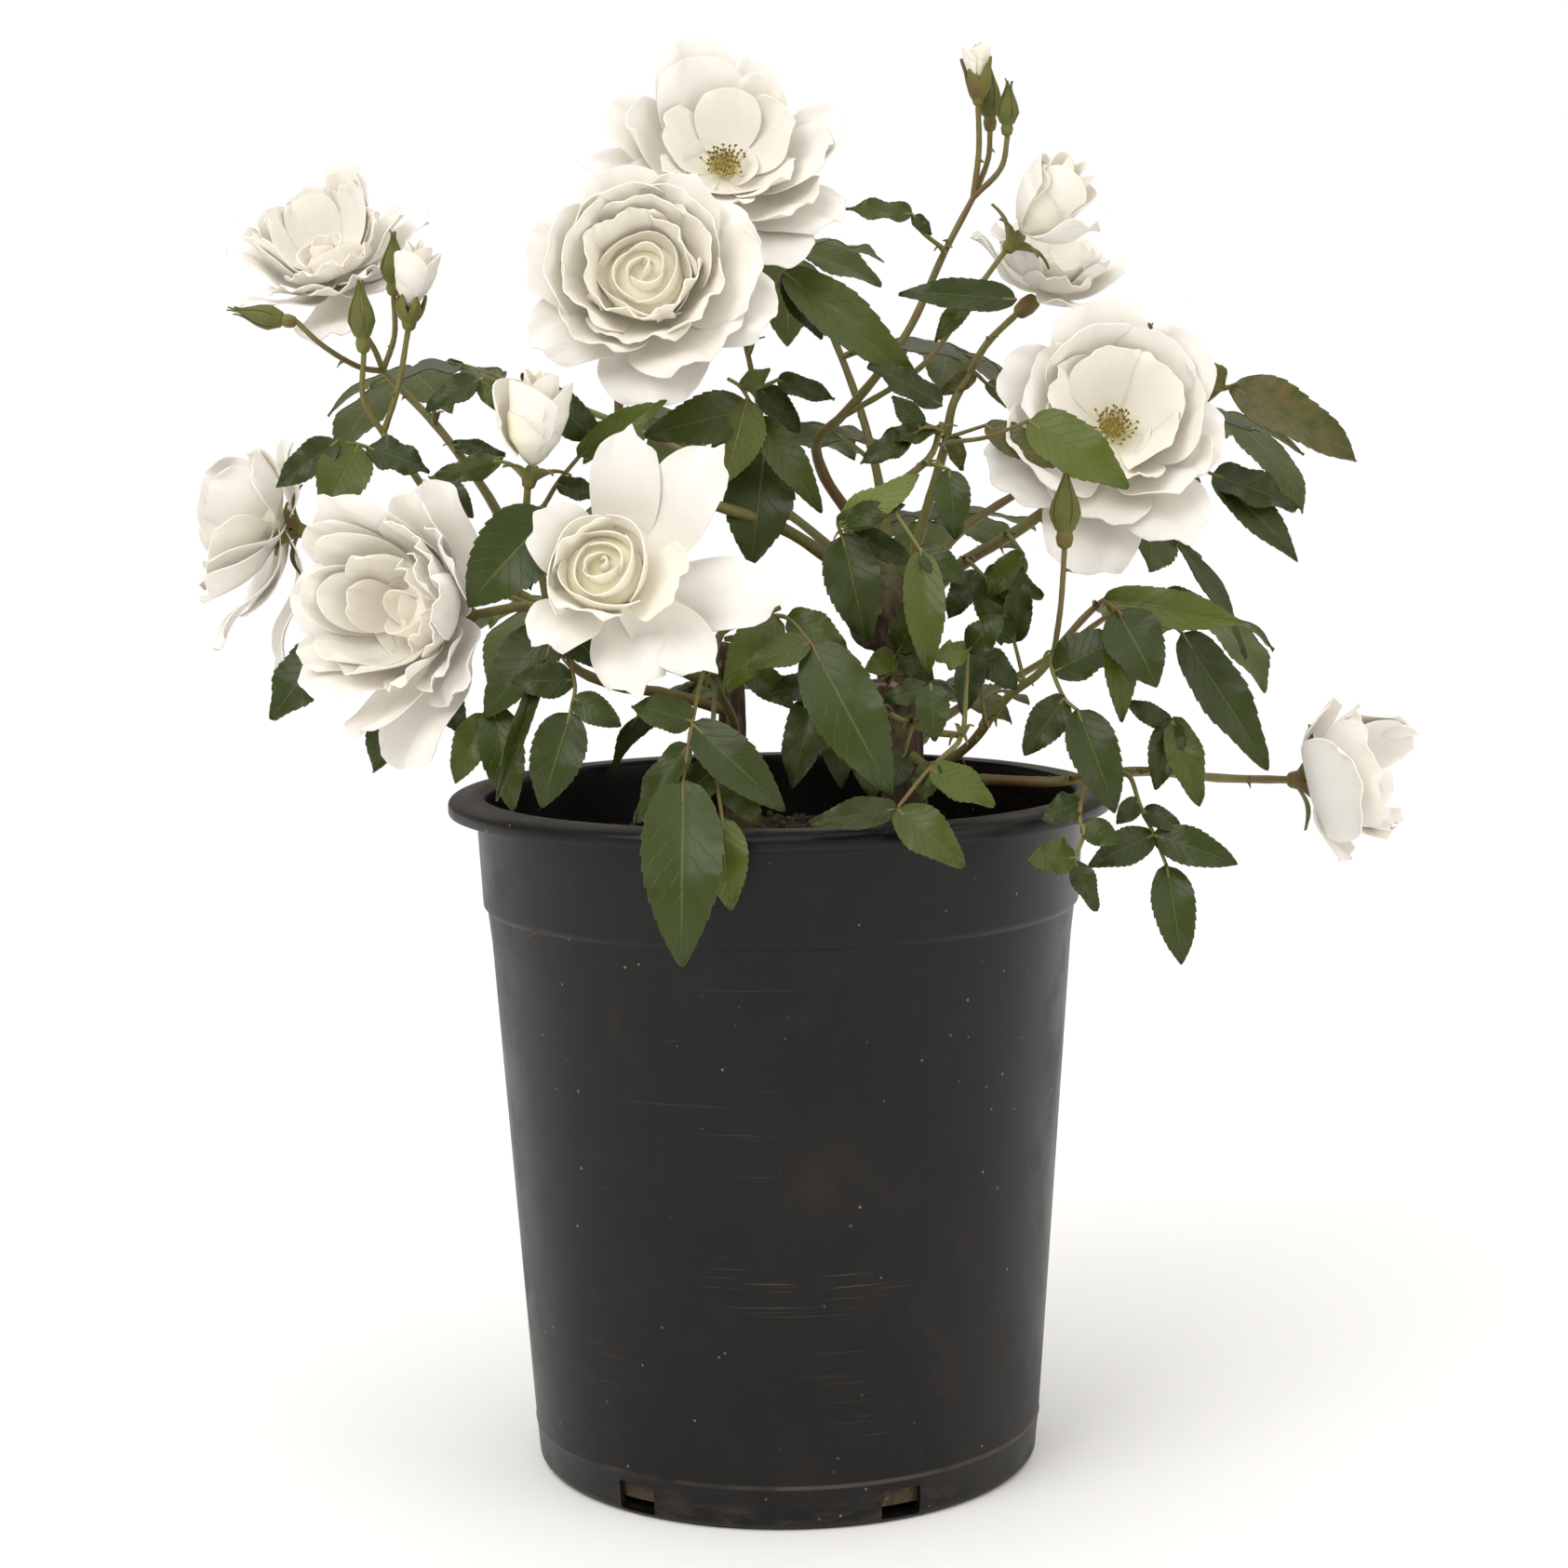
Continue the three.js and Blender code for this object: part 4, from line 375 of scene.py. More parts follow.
            [[[955, 540, -70], [990, 592, -80]], [[990, 603, 998, 727, 46], [989, 588, 1040, 627, 32]]],
            [[[1008, 500, -58], [1020, 505, -62]], [[1020, 506, 1028, 581, 40]]],
            [
                [[1012, 462, -46], [990, 460, -50], [975, 474, -50]],
                [[1007, 455, 943, 472, 24], [982, 476, 924, 496, 28], [990, 462, 960, 425, 26]],
            ],
        ],
    },
    "stem_front": {
        "cane": [
            [968, 745, -8], [955, 735, -40], [930, 740, -70], [960, 770, -88], [1000, 786, -92],
            [1034, 790, -90],
        ],
        "radii": [2.2, 1.3], "twigs": [], "hips": [], "buds": [],
        "leaves": [
            [
                [[1030, 798, -98], [998, 827, -108], [963, 870, -118]],
                [
                    [963, 870, 870, 884, 34], [962, 873, 1038, 930, 50], [1001, 828, 1072, 863, 38],
                    [1000, 815, 985, 862, 30],
                ],
            ],
            [[[985, 770, -96], [1000, 735, -98]], [[1001, 733, 1005, 797, 38], [998, 740, 950, 752, 30]]],
            [
                [[930, 742, -80], [890, 735, -92], [876, 748, -98]],
                [[875, 749, 850, 848, 46], [892, 740, 905, 848, 45], [884, 738, 826, 742, 34]],
            ],
            [[[935, 760, -92], [925, 800, -104]], [[925, 808, 940, 860, 32]]],
            [
                [[952, 737, -46], [966, 700, -52]],
                [[966, 700, 990, 640, 36], [964, 706, 930, 720, 30], [968, 704, 1004, 730, 30]],
            ],
            [[[980, 780, -94], [972, 810, -96]], [[972, 810, 950, 850, 34]]],
            [
                [[1036, 780, -86], [1040, 700, -84]],
                [[1043, 690, 1003, 706, 30], [1040, 700, 1078, 660, 34]],
            ],
        ],
    },
}

# Leafy stems at the back: where the cane starts, its places in millimetres, and how many leaves it has.
BACK_STEMS = {
    "stem_back_left": {
        "start": [944, 636, 11], "cane": [[6, 34, 356], [-34, 52, 380], [-76, 66, 398], [-108, 72, 410]],
        "leaves": 3,
    },
    "stem_back_middle": {
        "start": [958, 628, 14], "cane": [[40, 34, 366], [32, 54, 400], [20, 66, 432], [8, 66, 458]],
        "leaves": 3,
    },
    "stem_back_right": {
        "start": [974, 640, 11], "cane": [[72, 36, 350], [106, 52, 370], [136, 60, 388]], "leaves": 3,
    },
    "stem_back_low_left": {
        "start": [966, 760, 2], "cane": [[16, 40, 286], [-24, 68, 300], [-66, 84, 316]], "leaves": 2,
    },
    "stem_back_low_right": {
        "start": [974, 800, 3], "cane": [[72, 38, 282], [104, 62, 296], [130, 76, 312]], "leaves": 2,
    },
}

# Shifts in depth and sizes that a leaf may have been given in the solids to stay clear of its neighbours,
# and the tilts and sizes of the back leaves.
LEAF_BENDS = [
    [0, 1], [-7, 1], [7, 1], [-14, 1], [14, 1], [-22, 1], [22, 1], [0, 0.85], [-10, 0.85], [10, 0.85],
    [-20, 0.85], [20, 0.85], [-32, 0.9], [32, 0.9], [0, 0.7], [-12, 0.7], [12, 0.7], [-26, 0.7], [26, 0.7],
]
BACK_BENDS = [
    [0, 1], [0.2, 1], [-0.2, 1], [0.4, 0.9], [-0.4, 0.9], [0.2, 0.75], [-0.2, 0.75], [0.5, 0.6], [0, 0.6],
]

# Leaflets that show their pale underside or are still young, by where their tips are in the front view.
UNDERSIDE_TIPS = {(462, 515), (828, 398), (779, 519), (988, 513), (1003, 706), (560, 405)}
BRONZE_TIPS = {(1145, 453), (1462, 492), (1267, 380), (1134, 501), (1010, 424), (1034, 506)}

# Blooms: base on the hip, facing, size of the heart in millimetres, whether stamens show, and the outer
# petals by the places of their tips and their widths.
BLOOMS = {
    "bloom_crown": {
        "base": [775, 202, 1], "faces": [0.1, -0.72, 0.68], "heart": {"radius": 12, "height": 18},
        "stamens": True,
        "petals": [
            [742, 38, 0, 105], [655, 118, -6, 90], [632, 176, -16, 75], [905, 135, -6, 90],
            [906, 228, -22, 90], [855, 290, -30, 95], [812, 62, 4, 80],
        ],
    },
    "bloom_top": {
        "base": [697, 315, -38], "faces": [-0.05, -0.93, 0.36], "heart": {"radius": 17, "height": 25},
        "stamens": False,
        "petals": [
            [570, 262, -62, 110], [580, 372, -66, 95], [705, 430, -71, 125], [830, 338, -64, 100],
            [808, 240, -56, 100], [748, 196, -50, 95], [660, 180, -52, 110],
        ],
    },
    "bloom_middle": {
        "base": [656, 627, -89], "faces": [-0.1, -0.93, 0.36], "heart": {"radius": 17, "height": 26},
        "stamens": False,
        "petals": [
            [676, 465, -104, 105], [768, 492, -108, 115], [832, 640, -112, 115], [762, 716, -116, 95],
            [684, 737, -118, 110], [580, 690, -116, 95], [580, 555, -106, 105],
        ],
    },
    "bloom_low_left": {
        "base": [486, 663, -65.5], "faces": [-0.72, -0.66, 0.2], "heart": {"radius": 15, "height": 26},
        "stamens": False,
        "petals": [
            [455, 515, -66, 115], [352, 545, -74, 100], [312, 640, -80, 95], [330, 735, -86, 95],
            [424, 826, -84, 115], [498, 750, -92, 95], [470, 580, -96, 95],
        ],
    },
    "bloom_left": {
        "base": [312, 567, -20], "faces": [-0.85, -0.2, 0.3], "heart": {"radius": 11, "height": 20},
        "stamens": False,
        "petals": [
            [300, 476, -16, 95], [222, 530, -36, 85], [212, 620, -40, 85], [236, 700, -34, 90],
            [296, 720, -22, 90], [262, 560, -2, 90], [262, 650, 0, 90],
        ],
    },
    "bloom_left_top": {
        "base": [365, 309, 5], "faces": [-0.25, -0.35, 0.9], "heart": {"radius": 11, "height": 20},
        "stamens": False,
        "petals": [
            [245, 262, -6, 95], [262, 338, -22, 80], [352, 362, -27, 90], [438, 310, -8, 85],
            [454, 228, 12, 80], [372, 184, 14, 70], [305, 212, 16, 90],
        ],
    },
    "bloom_right": {
        "base": [1190, 476, -17], "faces": [0.1, -0.86, 0.5], "heart": {"radius": 14, "height": 18},
        "stamens": True,
        "petals": [
            [1182, 322, -26, 120], [1286, 370, -30, 110], [1314, 470, -40, 115], [1276, 580, -50, 110],
            [1166, 610, -54, 115], [1066, 520, -46, 110], [1080, 390, -32, 110],
        ],
    },
    "bloom_right_back": {
        "base": [1116, 319, 21], "faces": [0.25, -0.25, 0.93], "heart": {"radius": 9, "height": 16},
        "stamens": False,
        "petals": [
            [1050, 246, 14, 60], [1120, 242, 30, 85], [1206, 278, 26, 85], [1180, 340, -4, 80],
            [1098, 262, 44, 80],
        ],
    },
    "bloom_half_open": {
        "base": [1096, 254, -10], "faces": [0.62, -0.25, 0.74], "heart": {"radius": 13, "height": 35},
        "stamens": False, "petals": [[1180, 238, -24, 70], [1120, 184, -18, 66]],
    },
    "bloom_low_right": {
        "base": [1409, 838, -22], "faces": [0.93, -0.25, 0.25], "heart": {"radius": 10, "height": 20},
        "stamens": False,
        "petals": [
            [1440, 754, -20, 95], [1510, 792, -26, 85], [1508, 874, -30, 85], [1446, 924, -24, 95],
            [1470, 846, -60, 95], [1460, 820, 14, 95],
        ],
    },
    "opening_bud_centre": {
        "base": [572, 504, -80], "faces": [0.1, -0.15, 0.98], "heart": {"radius": 12.5, "height": 35},
        "stamens": False, "petals": [],
    },
    "opening_bud_left": {
        "base": [440, 334, -37], "faces": [0.15, -0.15, 0.97], "heart": {"radius": 8, "height": 25},
        "stamens": False, "petals": [],
    },
    "opening_bud_top": {
        "base": [1051, 96, 2], "faces": [0, -0.1, 1], "heart": {"radius": 5, "height": 17},
        "stamens": False, "petals": [],
    },
}

# Inner petals of each bloom: rings of [count, reach, rise, width] as shares of its radius, the number of
# cupped petals in its heart, and how creamy the heart is. A bloom may also say how wide its outer petals
# are, how far they arch, and how pointed they may be.
INNER_PETALS = {
    "bloom_crown": {"rings": [[7, 0.82, 0.1, 0.85], [6, 0.56, 0.24, 0.7]], "cups": 4, "cream": 0.35},
    "bloom_top": {
        "rings": [[6, 0.84, 0.14, 0.95], [6, 0.64, 0.32, 0.85], [5, 0.46, 0.42, 0.75]], "cups": 9,
        "cream": 0.75,
    },
    "bloom_middle": {
        "rings": [[3, 0.56, 0.36, 0.7]], "cups": 10, "cream": 1.0, "outer": 0.68,
        "points": (0.02, 0.06, 0.09),
    },
    "bloom_low_left": {
        "rings": [[8, 0.86, 0.2, 0.62], [7, 0.68, 0.38, 0.54], [5, 0.46, 0.5, 0.5]], "cups": 5,
        "cream": 0.5,
    },
    "bloom_left": {
        "rings": [[5, 0.84, 0.14, 1.1], [5, 0.62, 0.3, 0.9]], "cups": 5, "cream": 0.4, "outer": 1.15,
    },
    "bloom_left_top": {"rings": [[8, 0.84, 0.16, 0.7], [7, 0.64, 0.34, 0.6]], "cups": 6, "cream": 0.35},
    "bloom_right": {"rings": [[7, 0.8, 0.14, 0.95], [6, 0.54, 0.3, 0.75]], "cups": 4, "cream": 0.45},
    "bloom_right_back": {"rings": [[6, 0.8, 0.15, 0.8], [5, 0.58, 0.3, 0.7]], "cups": 5, "cream": 0.3},
    "bloom_half_open": {"rings": [], "cups": 7, "cream": 0.5},
    "bloom_low_right": {
        "rings": [[6, 0.94, 0.12, 1.0]], "cups": 6, "cream": 0.3, "outer": 1.2, "arch": -0.24,
    },
    "opening_bud_centre": {"rings": [], "cups": 7, "cream": 0.6},
    "opening_bud_left": {"rings": [], "cups": 6, "cream": 0.5},
    "opening_bud_top": {"rings": [], "cups": 5, "cream": 0.9},
}


class PotSettings(PropertyGroup):
    """Sizes and colours of the nursery pot."""

    height: FloatProperty(name="Height", description="Foot to rim", default=POT_HIGH.z, unit="LENGTH")
    rim_radius: FloatProperty(
        name="Rim radius", description="Axis to the rim's outer edge", default=POT_HIGH.x, unit="LENGTH"
    )
    sides: IntProperty(name="Sides", description="Facets round the pot", default=144, min=24)
    plastic: FloatVectorProperty(
        name="Plastic", description="Colour of the plastic", default=(0.0052, 0.0043, 0.004), subtype="COLOR"
    )
    dust: FloatVectorProperty(
        name="Dust", description="Colour of dust and dried soil", default=(0.19, 0.16, 0.125), subtype="COLOR"
    )


class SoilSettings(PropertyGroup):
    """Sizes and colours of the potting soil."""

    relief: FloatProperty(
        name="Relief", description="Height of the lumps", default=5 * MM, unit="LENGTH", precision=4
    )
    crumbs: IntProperty(name="Crumbs", description="Loose bits of soil", default=900, min=0)
    moss_tufts: IntProperty(name="Moss tufts", description="Small cushions of moss", default=260, min=0)
    earth: FloatVectorProperty(
        name="Earth", description="Colour of moist soil", default=(0.05, 0.037, 0.025), subtype="COLOR"
    )
    moss: FloatVectorProperty(
        name="Moss", description="Colour of the moss", default=(0.24, 0.22, 0.04), subtype="COLOR"
    )


class WoodSettings(PropertyGroup):
    """Sizes and colours of the trunks and canes."""

    bark: FloatVectorProperty(
        name="Bark", description="Colour of old bark", default=(0.075, 0.052, 0.034), subtype="COLOR"
    )
    cane: FloatVectorProperty(
        name="Cane", description="Colour of green canes", default=(0.165, 0.155, 0.04), subtype="COLOR"
    )
    blush: FloatVectorProperty(
        name="Blush", description="Colour of sunlit canes", default=(0.15, 0.078, 0.032), subtype="COLOR"
    )
    prickle: FloatProperty(
        name="Prickle", description="Length of a prickle", default=3.4 * MM, unit="LENGTH", precision=4
    )


class LeafSettings(PropertyGroup):
    """Sizes and colours of the leaves and sepals."""

    thickness: FloatProperty(
        name="Thickness", description="Thickness of a blade", default=0.5 * MM, unit="LENGTH", precision=4
    )
    teeth: IntProperty(name="Teeth", description="Teeth along each edge", default=12, min=4)
    fold: FloatProperty(
        name="Fold", description="Rise of the edges over the half width", default=0.2, subtype="FACTOR"
    )
    upper: FloatVectorProperty(
        name="Upper side",
        description="Colour of a grown leaf",
        default=(0.029, 0.044, 0.003),
        subtype="COLOR",
    )
    fresh: FloatVectorProperty(
        name="Fresh", description="Colour of a younger leaf", default=(0.083, 0.108, 0.008), subtype="COLOR"
    )
    bronze: FloatVectorProperty(
        name="Bronze",
        description="Colour of the newest leaves",
        default=(0.115, 0.088, 0.02),
        subtype="COLOR",
    )
    under: FloatVectorProperty(
        name="Underside", description="Colour of the underside", default=(0.125, 0.152, 0.03), subtype="COLOR"
    )
    sepal: FloatVectorProperty(
        name="Sepal", description="Colour of sepals and hips", default=(0.155, 0.15, 0.032), subtype="COLOR"
    )


class PetalSettings(PropertyGroup):
    """Sizes and colours of the petals and stamens."""

    thickness: FloatProperty(
        name="Thickness", description="Thickness of a petal", default=0.45 * MM, unit="LENGTH", precision=4
    )
    ruffle: FloatProperty(
        name="Ruffle", description="Waves along a petal's rim", default=1.5 * MM, unit="LENGTH", precision=4
    )
    petal: FloatVectorProperty(
        name="Petal", description="Colour of the outer petals", default=(0.91, 0.878, 0.815), subtype="COLOR"
    )
    cream: FloatVectorProperty(
        name="Cream", description="Colour deep in the heart", default=(0.93, 0.875, 0.67), subtype="COLOR"
    )
    stamen: FloatVectorProperty(
        name="Stamen", description="Colour of the filaments", default=(0.6, 0.55, 0.2), subtype="COLOR"
    )
    anther: FloatVectorProperty(
        name="Anther", description="Colour of the anthers", default=(0.2, 0.13, 0.03), subtype="COLOR"
    )


class StageSettings(PropertyGroup):
    """Floor and light."""

    floor: FloatVectorProperty(
        name="Floor", description="Colour of the floor", default=(0.97, 0.97, 0.965), subtype="COLOR"
    )
    key_power: FloatProperty(
        name="Key light", description="Power of the main light", default=27, unit="POWER"
    )
    fill_power: FloatProperty(
        name="Fill light", description="Power of the side light", default=7, unit="POWER"
    )


def seen(places):
    """Points in metres from places: pixels across and down the front view, millimetres behind the axis."""
    places = np.asarray(places, float)
    u = (places[..., 0] - CENTRE) / FOCAL
    v = (CENTRE - places[..., 1]) / FOCAL
    sideways = u * math.cos(ROLL) + v * math.sin(ROLL)
    upright = v * math.cos(ROLL) - u * math.sin(ROLL)
    ray = np.stack(
        [
            sideways,
            math.cos(PITCH) + upright * math.sin(PITCH),
            upright * math.cos(PITCH) - math.sin(PITCH),
        ],
        axis=-1,
    )
    reach = (places[..., 2] * MM - EYE[1]) / ray[..., 1]
    return EYE + ray * reach[..., None]


def shown_at(point):
    """The [across, down, depth] place of a point, the other way round."""
    x, y, z = np.asarray(point, float) - EYE
    away = y * math.cos(PITCH) - z * math.sin(PITCH)
    sideways = x / away
    upright = (y * math.sin(PITCH) + z * math.cos(PITCH)) / away
    u = sideways * math.cos(ROLL) - upright * math.sin(ROLL)
    v = sideways * math.sin(ROLL) + upright * math.cos(ROLL)
    return [CENTRE + FOCAL * u, CENTRE - FOCAL * v, point[1] / MM]


def unit(vector):
    """A vector at length one."""
    vector = np.asarray(vector, float)
    return vector / np.linalg.norm(vector, axis=-1, keepdims=True)


def around(vector, axis, angle):
    """A vector turned about an axis."""
    return (
        vector * math.cos(angle)
        + np.cross(axis, vector) * math.sin(angle)
        + axis * np.dot(axis, vector) * (1 - math.cos(angle))
    )


def smooth_path(points, count):
    """Evenly spaced places on a centripetal curve through points, count steps long."""
    points = np.asarray(points, float)
    if len(points) == 2:
        shares = np.linspace(0, 1, count + 1)[:, None]
        return points[0] + (points[1] - points[0]) * shares
    whole = np.vstack([2 * points[0] - points[1], points, 2 * points[-1] - points[-2]])
    share = np.linspace(0, 1, CURVE_STEPS + 1)[:, None]
    fine = []
    for index in range(len(points) - 1):
        before, here, there, after = whole[index : index + 4]
        steps = (here - before, there - here, after - there)
        first, middle, last = [max(np.linalg.norm(step), 1e-6) ** 0.5 for step in steps]
        start = steps[0] / first - (there - before) / (first + middle) + steps[1] / middle
        end = steps[1] / middle - (after - here) / (middle + last) + steps[2] / last
        start, end = start * middle, end * middle
        square = -3 * here + 3 * there - 2 * start - end
        cube = 2 * here - 2 * there + start + end
        fine.append(here + start * share + square * share**2 + cube * share**3)
    line = np.vstack([part[:-1] for part in fine] + [points[-1:]])
    reach = np.concatenate([[0], np.cumsum(np.linalg.norm(np.diff(line, axis=0), axis=1))])
    spots = np.linspace(0, reach[-1], count + 1)
    return np.stack([np.interp(spots, reach, line[:, axis]) for axis in range(3)], axis=1)


def nearest_on(points, target):
    """Nearest place to a target on the straight stretches between a cane's rings."""
    rings = smooth_path(points, len(points) - 1)
    best = None
    for here, there in zip(rings, rings[1:]):
        share = np.clip(np.dot(target - here, there - here) / np.dot(there - here, there - here), 0, 1)
        spot = here + (there - here) * share
        if best is None or np.linalg.norm(spot - target) < np.linalg.norm(best - target):
            best = spot
    return best


class Stalk:
    """A leaf's stalk in the front view, with a way to find a place on it."""

    def __init__(self, places):
        self.places = np.array(places, float)
        steps = np.hypot(*(np.diff(self.places[:, :2], axis=0).T))
        self.reach = np.concatenate([[0], np.cumsum(steps)])
        self.length = self.reach[-1]

    def at(self, distance):
        return np.array([np.interp(distance, self.reach, self.places[:, axis]) for axis in range(3)])

    def nearest(self, across, down):
        distances = np.arange(0, int(self.length) + 1)
        spots = np.array([self.at(distance)[:2] for distance in distances])
        return distances[np.argmin(np.hypot(spots[:, 0] - across, spots[:, 1] - down))]


# The same numbers as in the solids, so that leaflets lie alike: the width of a leaflet over its length at
# most, how far it droops and leans back, its arch, and half the thickness of a leaf's stalk in pixels.
LEAF_MOST_WIDTH = 0.64
DROOP = [0.3, 0.12, 0.2]
LEAN_BACK = [0.5, 0.85, 0.3]
LEAF_ARCH = 0.1
STALK_HALF = 2.6


class LeafletFrame:
    """Where a leaflet of a front leaf lies: at() gives the point at shares of its length and half width."""

    def __init__(self, leaflet, root, size):
        tip_across, tip_down, width = leaflet[2:]
        self.root = root
        self.along = (np.array([tip_across, tip_down], float) - root[:2]) * size
        self.shown = np.hypot(*self.along)
        self.beside = np.array([-self.along[1], self.along[0]]) / self.shown
        self.half = width * size / 2
        foreshort = math.sqrt(max(0, (2 * self.half / LEAF_MOST_WIDTH) ** 2 - self.shown**2))
        self.droop = max(foreshort, self.shown * DROOP[tip_across % len(DROOP)]) * PIXEL / MM
        self.lean = LEAN_BACK[tip_across % len(LEAN_BACK)]

    def at(self, share, across):
        share, across = np.broadcast_arrays(share, across)
        aside = across * self.half
        up = -aside * self.beside[1] * PIXEL / MM
        arch = LEAF_ARCH * self.shown * PIXEL / MM * np.sin(np.pi * share)
        places = np.stack(
            [
                self.root[0] + self.along[0] * share + self.beside[0] * aside,
                self.root[1] + self.along[1] * share + self.beside[1] * aside,
                self.root[2] - self.droop * share - arch + self.lean * up,
            ],
            axis=-1,
        )
        return seen(places)

    def length(self):
        return np.linalg.norm(self.at(1.0, 0.0) - self.at(0.0, 0.0))


class BackLeafletFrame:
    """Where a leaflet of a back leaf lies, on a leaf that runs outward from its root and droops."""

    LENGTH = 104 * MM
    ARCH = 12 * MM
    FALL = 34 * MM
    TILT_ASIDE = 0.14
    SHORTEN = 0.12

    def __init__(self, root, outward, tilt, size, start, tip, half):
        self.root = root
        self.outward = outward
        self.sideways = np.cross([0, 0, 1], outward)
        self.tilt = tilt
        self.size = size
        self.start = np.array(start) * size
        self.along = np.array(tip) * size - self.start
        self.beside = unit(np.array([-self.along[1], self.along[0]]))
        self.half = half * size

    def at(self, share, across):
        share, across = np.broadcast_arrays(share, across)
        flat = self.start + self.along * share[..., None] + self.beside * (across * self.half)[..., None]
        return back_leaf_point(self, flat[..., 0], flat[..., 1])

    def length(self):
        return np.linalg.norm(self.along)


def back_leaf_point(leaf, along, across):
    """A point of a back leaf from its place along and across the leaf."""
    share = along / (leaf.LENGTH * leaf.size)
    fall = leaf.ARCH * np.sin(np.pi * share) - leaf.FALL * share**2
    rise = leaf.size * fall + leaf.tilt * along - leaf.TILT_ASIDE * np.abs(across) * (1 + share)
    return (
        leaf.root
        + leaf.outward * (along * (1 - leaf.SHORTEN * share))[..., None]
        + leaf.sideways * across[..., None]
        + np.array([0, 0, 1]) * rise[..., None]
    )


def deselect():
    """Nothing selected, so that the next operator acts on its own object alone."""
    bpy.ops.object.select_all(action="DESELECT")


def pick(*objects):
    """Select these objects, the first of them active."""
    deselect()
    for item in objects:
        item.select_set(True)
    bpy.context.view_layer.objects.active = objects[0]


def apply_modifier(item, kind, **settings):
    """Add a modifier to an object and apply it."""
    pick(item)
    modifier = item.modifiers.new(kind.title(), kind)
    for key, value in settings.items():
        setattr(modifier, key, value)
    bpy.ops.object.modifier_apply(modifier=modifier.name)


def joined(name, pieces):
    """Join objects into one with its place in its mesh."""
    pick(*pieces)
    bpy.ops.object.transform_apply(location=True, rotation=True, scale=True)
    if len(pieces) > 1:
        bpy.ops.object.join()
    piece = bpy.context.object
    piece.name = name
    piece.data.name = name
    return piece


def placed(piece, slot, *nodes):
    """Put a finished piece on the plant in place of its CAD nodes."""
    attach(piece, "root")
    if nodes:
        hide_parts(*nodes)
    return piece


def smooth(piece, degrees=None):
    """Smooth shading, by angle where one is given."""
    pick(piece)
    if degrees is None:
        bpy.ops.object.shade_smooth()
    else:
        bpy.ops.object.shade_smooth_by_angle(angle=math.radians(degrees))


# Sheets are kept this far inside the frame's box.
BOX_MARGIN = 0.6 * MM
BOX_LOW = np.array(CAD_BOX[0]) + BOX_MARGIN
BOX_HIGH = np.array(CAD_BOX[1]) - BOX_MARGIN


class Sheet:
    """A grid primitive kept as a pattern: each copy has its points moved to a leaflet, sepal or petal."""

    def __init__(self, along, across):
        deselect()
        bpy.ops.mesh.primitive_grid_add(x_subdivisions=along, y_subdivisions=across, size=1)
        self.pattern = bpy.context.object
        self.steps = along
        count = len(self.pattern.data.vertices)
        flat = np.empty(count * 3, np.float32)
        self.pattern.data.vertices.foreach_get("co", flat)
        flat = flat.reshape(-1, 3).astype(float)
        self.share = np.clip(flat[:, 0] + 0.5, 0, 1)
        self.across = np.clip(flat[:, 1] * 2, -1, 1)

    def copy(self, points, materials, attributes):
        """A copy with its points in these places and one value of each attribute."""
        mesh = self.pattern.data.copy()
        points = np.clip(points, BOX_LOW, BOX_HIGH)
        mesh.vertices.foreach_set("co", np.ascontiguousarray(points, np.float32).ravel())
        mesh.materials.clear()
        for material in materials:
            mesh.materials.append(material)
        for key, value in attributes.items():
            layer = mesh.attributes.new(key, "FLOAT", "POINT")
            values = np.broadcast_to(np.asarray(value, np.float32), (len(points),))
            layer.data.foreach_set("value", np.ascontiguousarray(values))
        item = bpy.data.objects.new("sheet", mesh)
        bpy.context.scene.collection.objects.link(item)
        return item

    def remove(self):
        bpy.data.objects.remove(self.pattern)


def relieved(frame, share, across, height, upper):
    """Points of a sheet on a frame, raised by height towards its upper side."""
    step = 0.01
    middle = frame.at(0.5, 0.0)
    ahead = frame.at(0.5 + step, 0.0) - middle
    aside = frame.at(0.5, step) - middle
    hand = 1 if np.dot(np.cross(ahead, aside), upper) > 0 else -1
    across = across * hand
    along = frame.at(share + step, across) - frame.at(share - step, across)
    sideways = frame.at(share, across + step * hand) - frame.at(share, across - step * hand)
    normal = unit(np.cross(along, sideways))
    return frame.at(share, across) + normal * np.asarray(height)[:, None]


# How far a tooth stands out and points forward, the height of the quilting between a leaflet's veins, and
# the number of side veins.
TOOTH_OUT = 0.065
TOOTH_FORWARD = 0.1
QUILT = 0.96 * MM
SIDE_VEINS = 7


def leaflet_rows(sheet, teeth):
    """How far along a leaflet each point of the sheet is, three rows to a tooth, and how far out."""
    row = np.rint(sheet.share * sheet.steps).astype(int)
    tooth, phase = row // 3, row % 3
    share = np.clip((tooth + np.array([0, 0.45, 0.86])[phase]) / teeth, 0, 1)
    out = np.array([0.0, 0.6, 1.0])[phase]
    return share, out


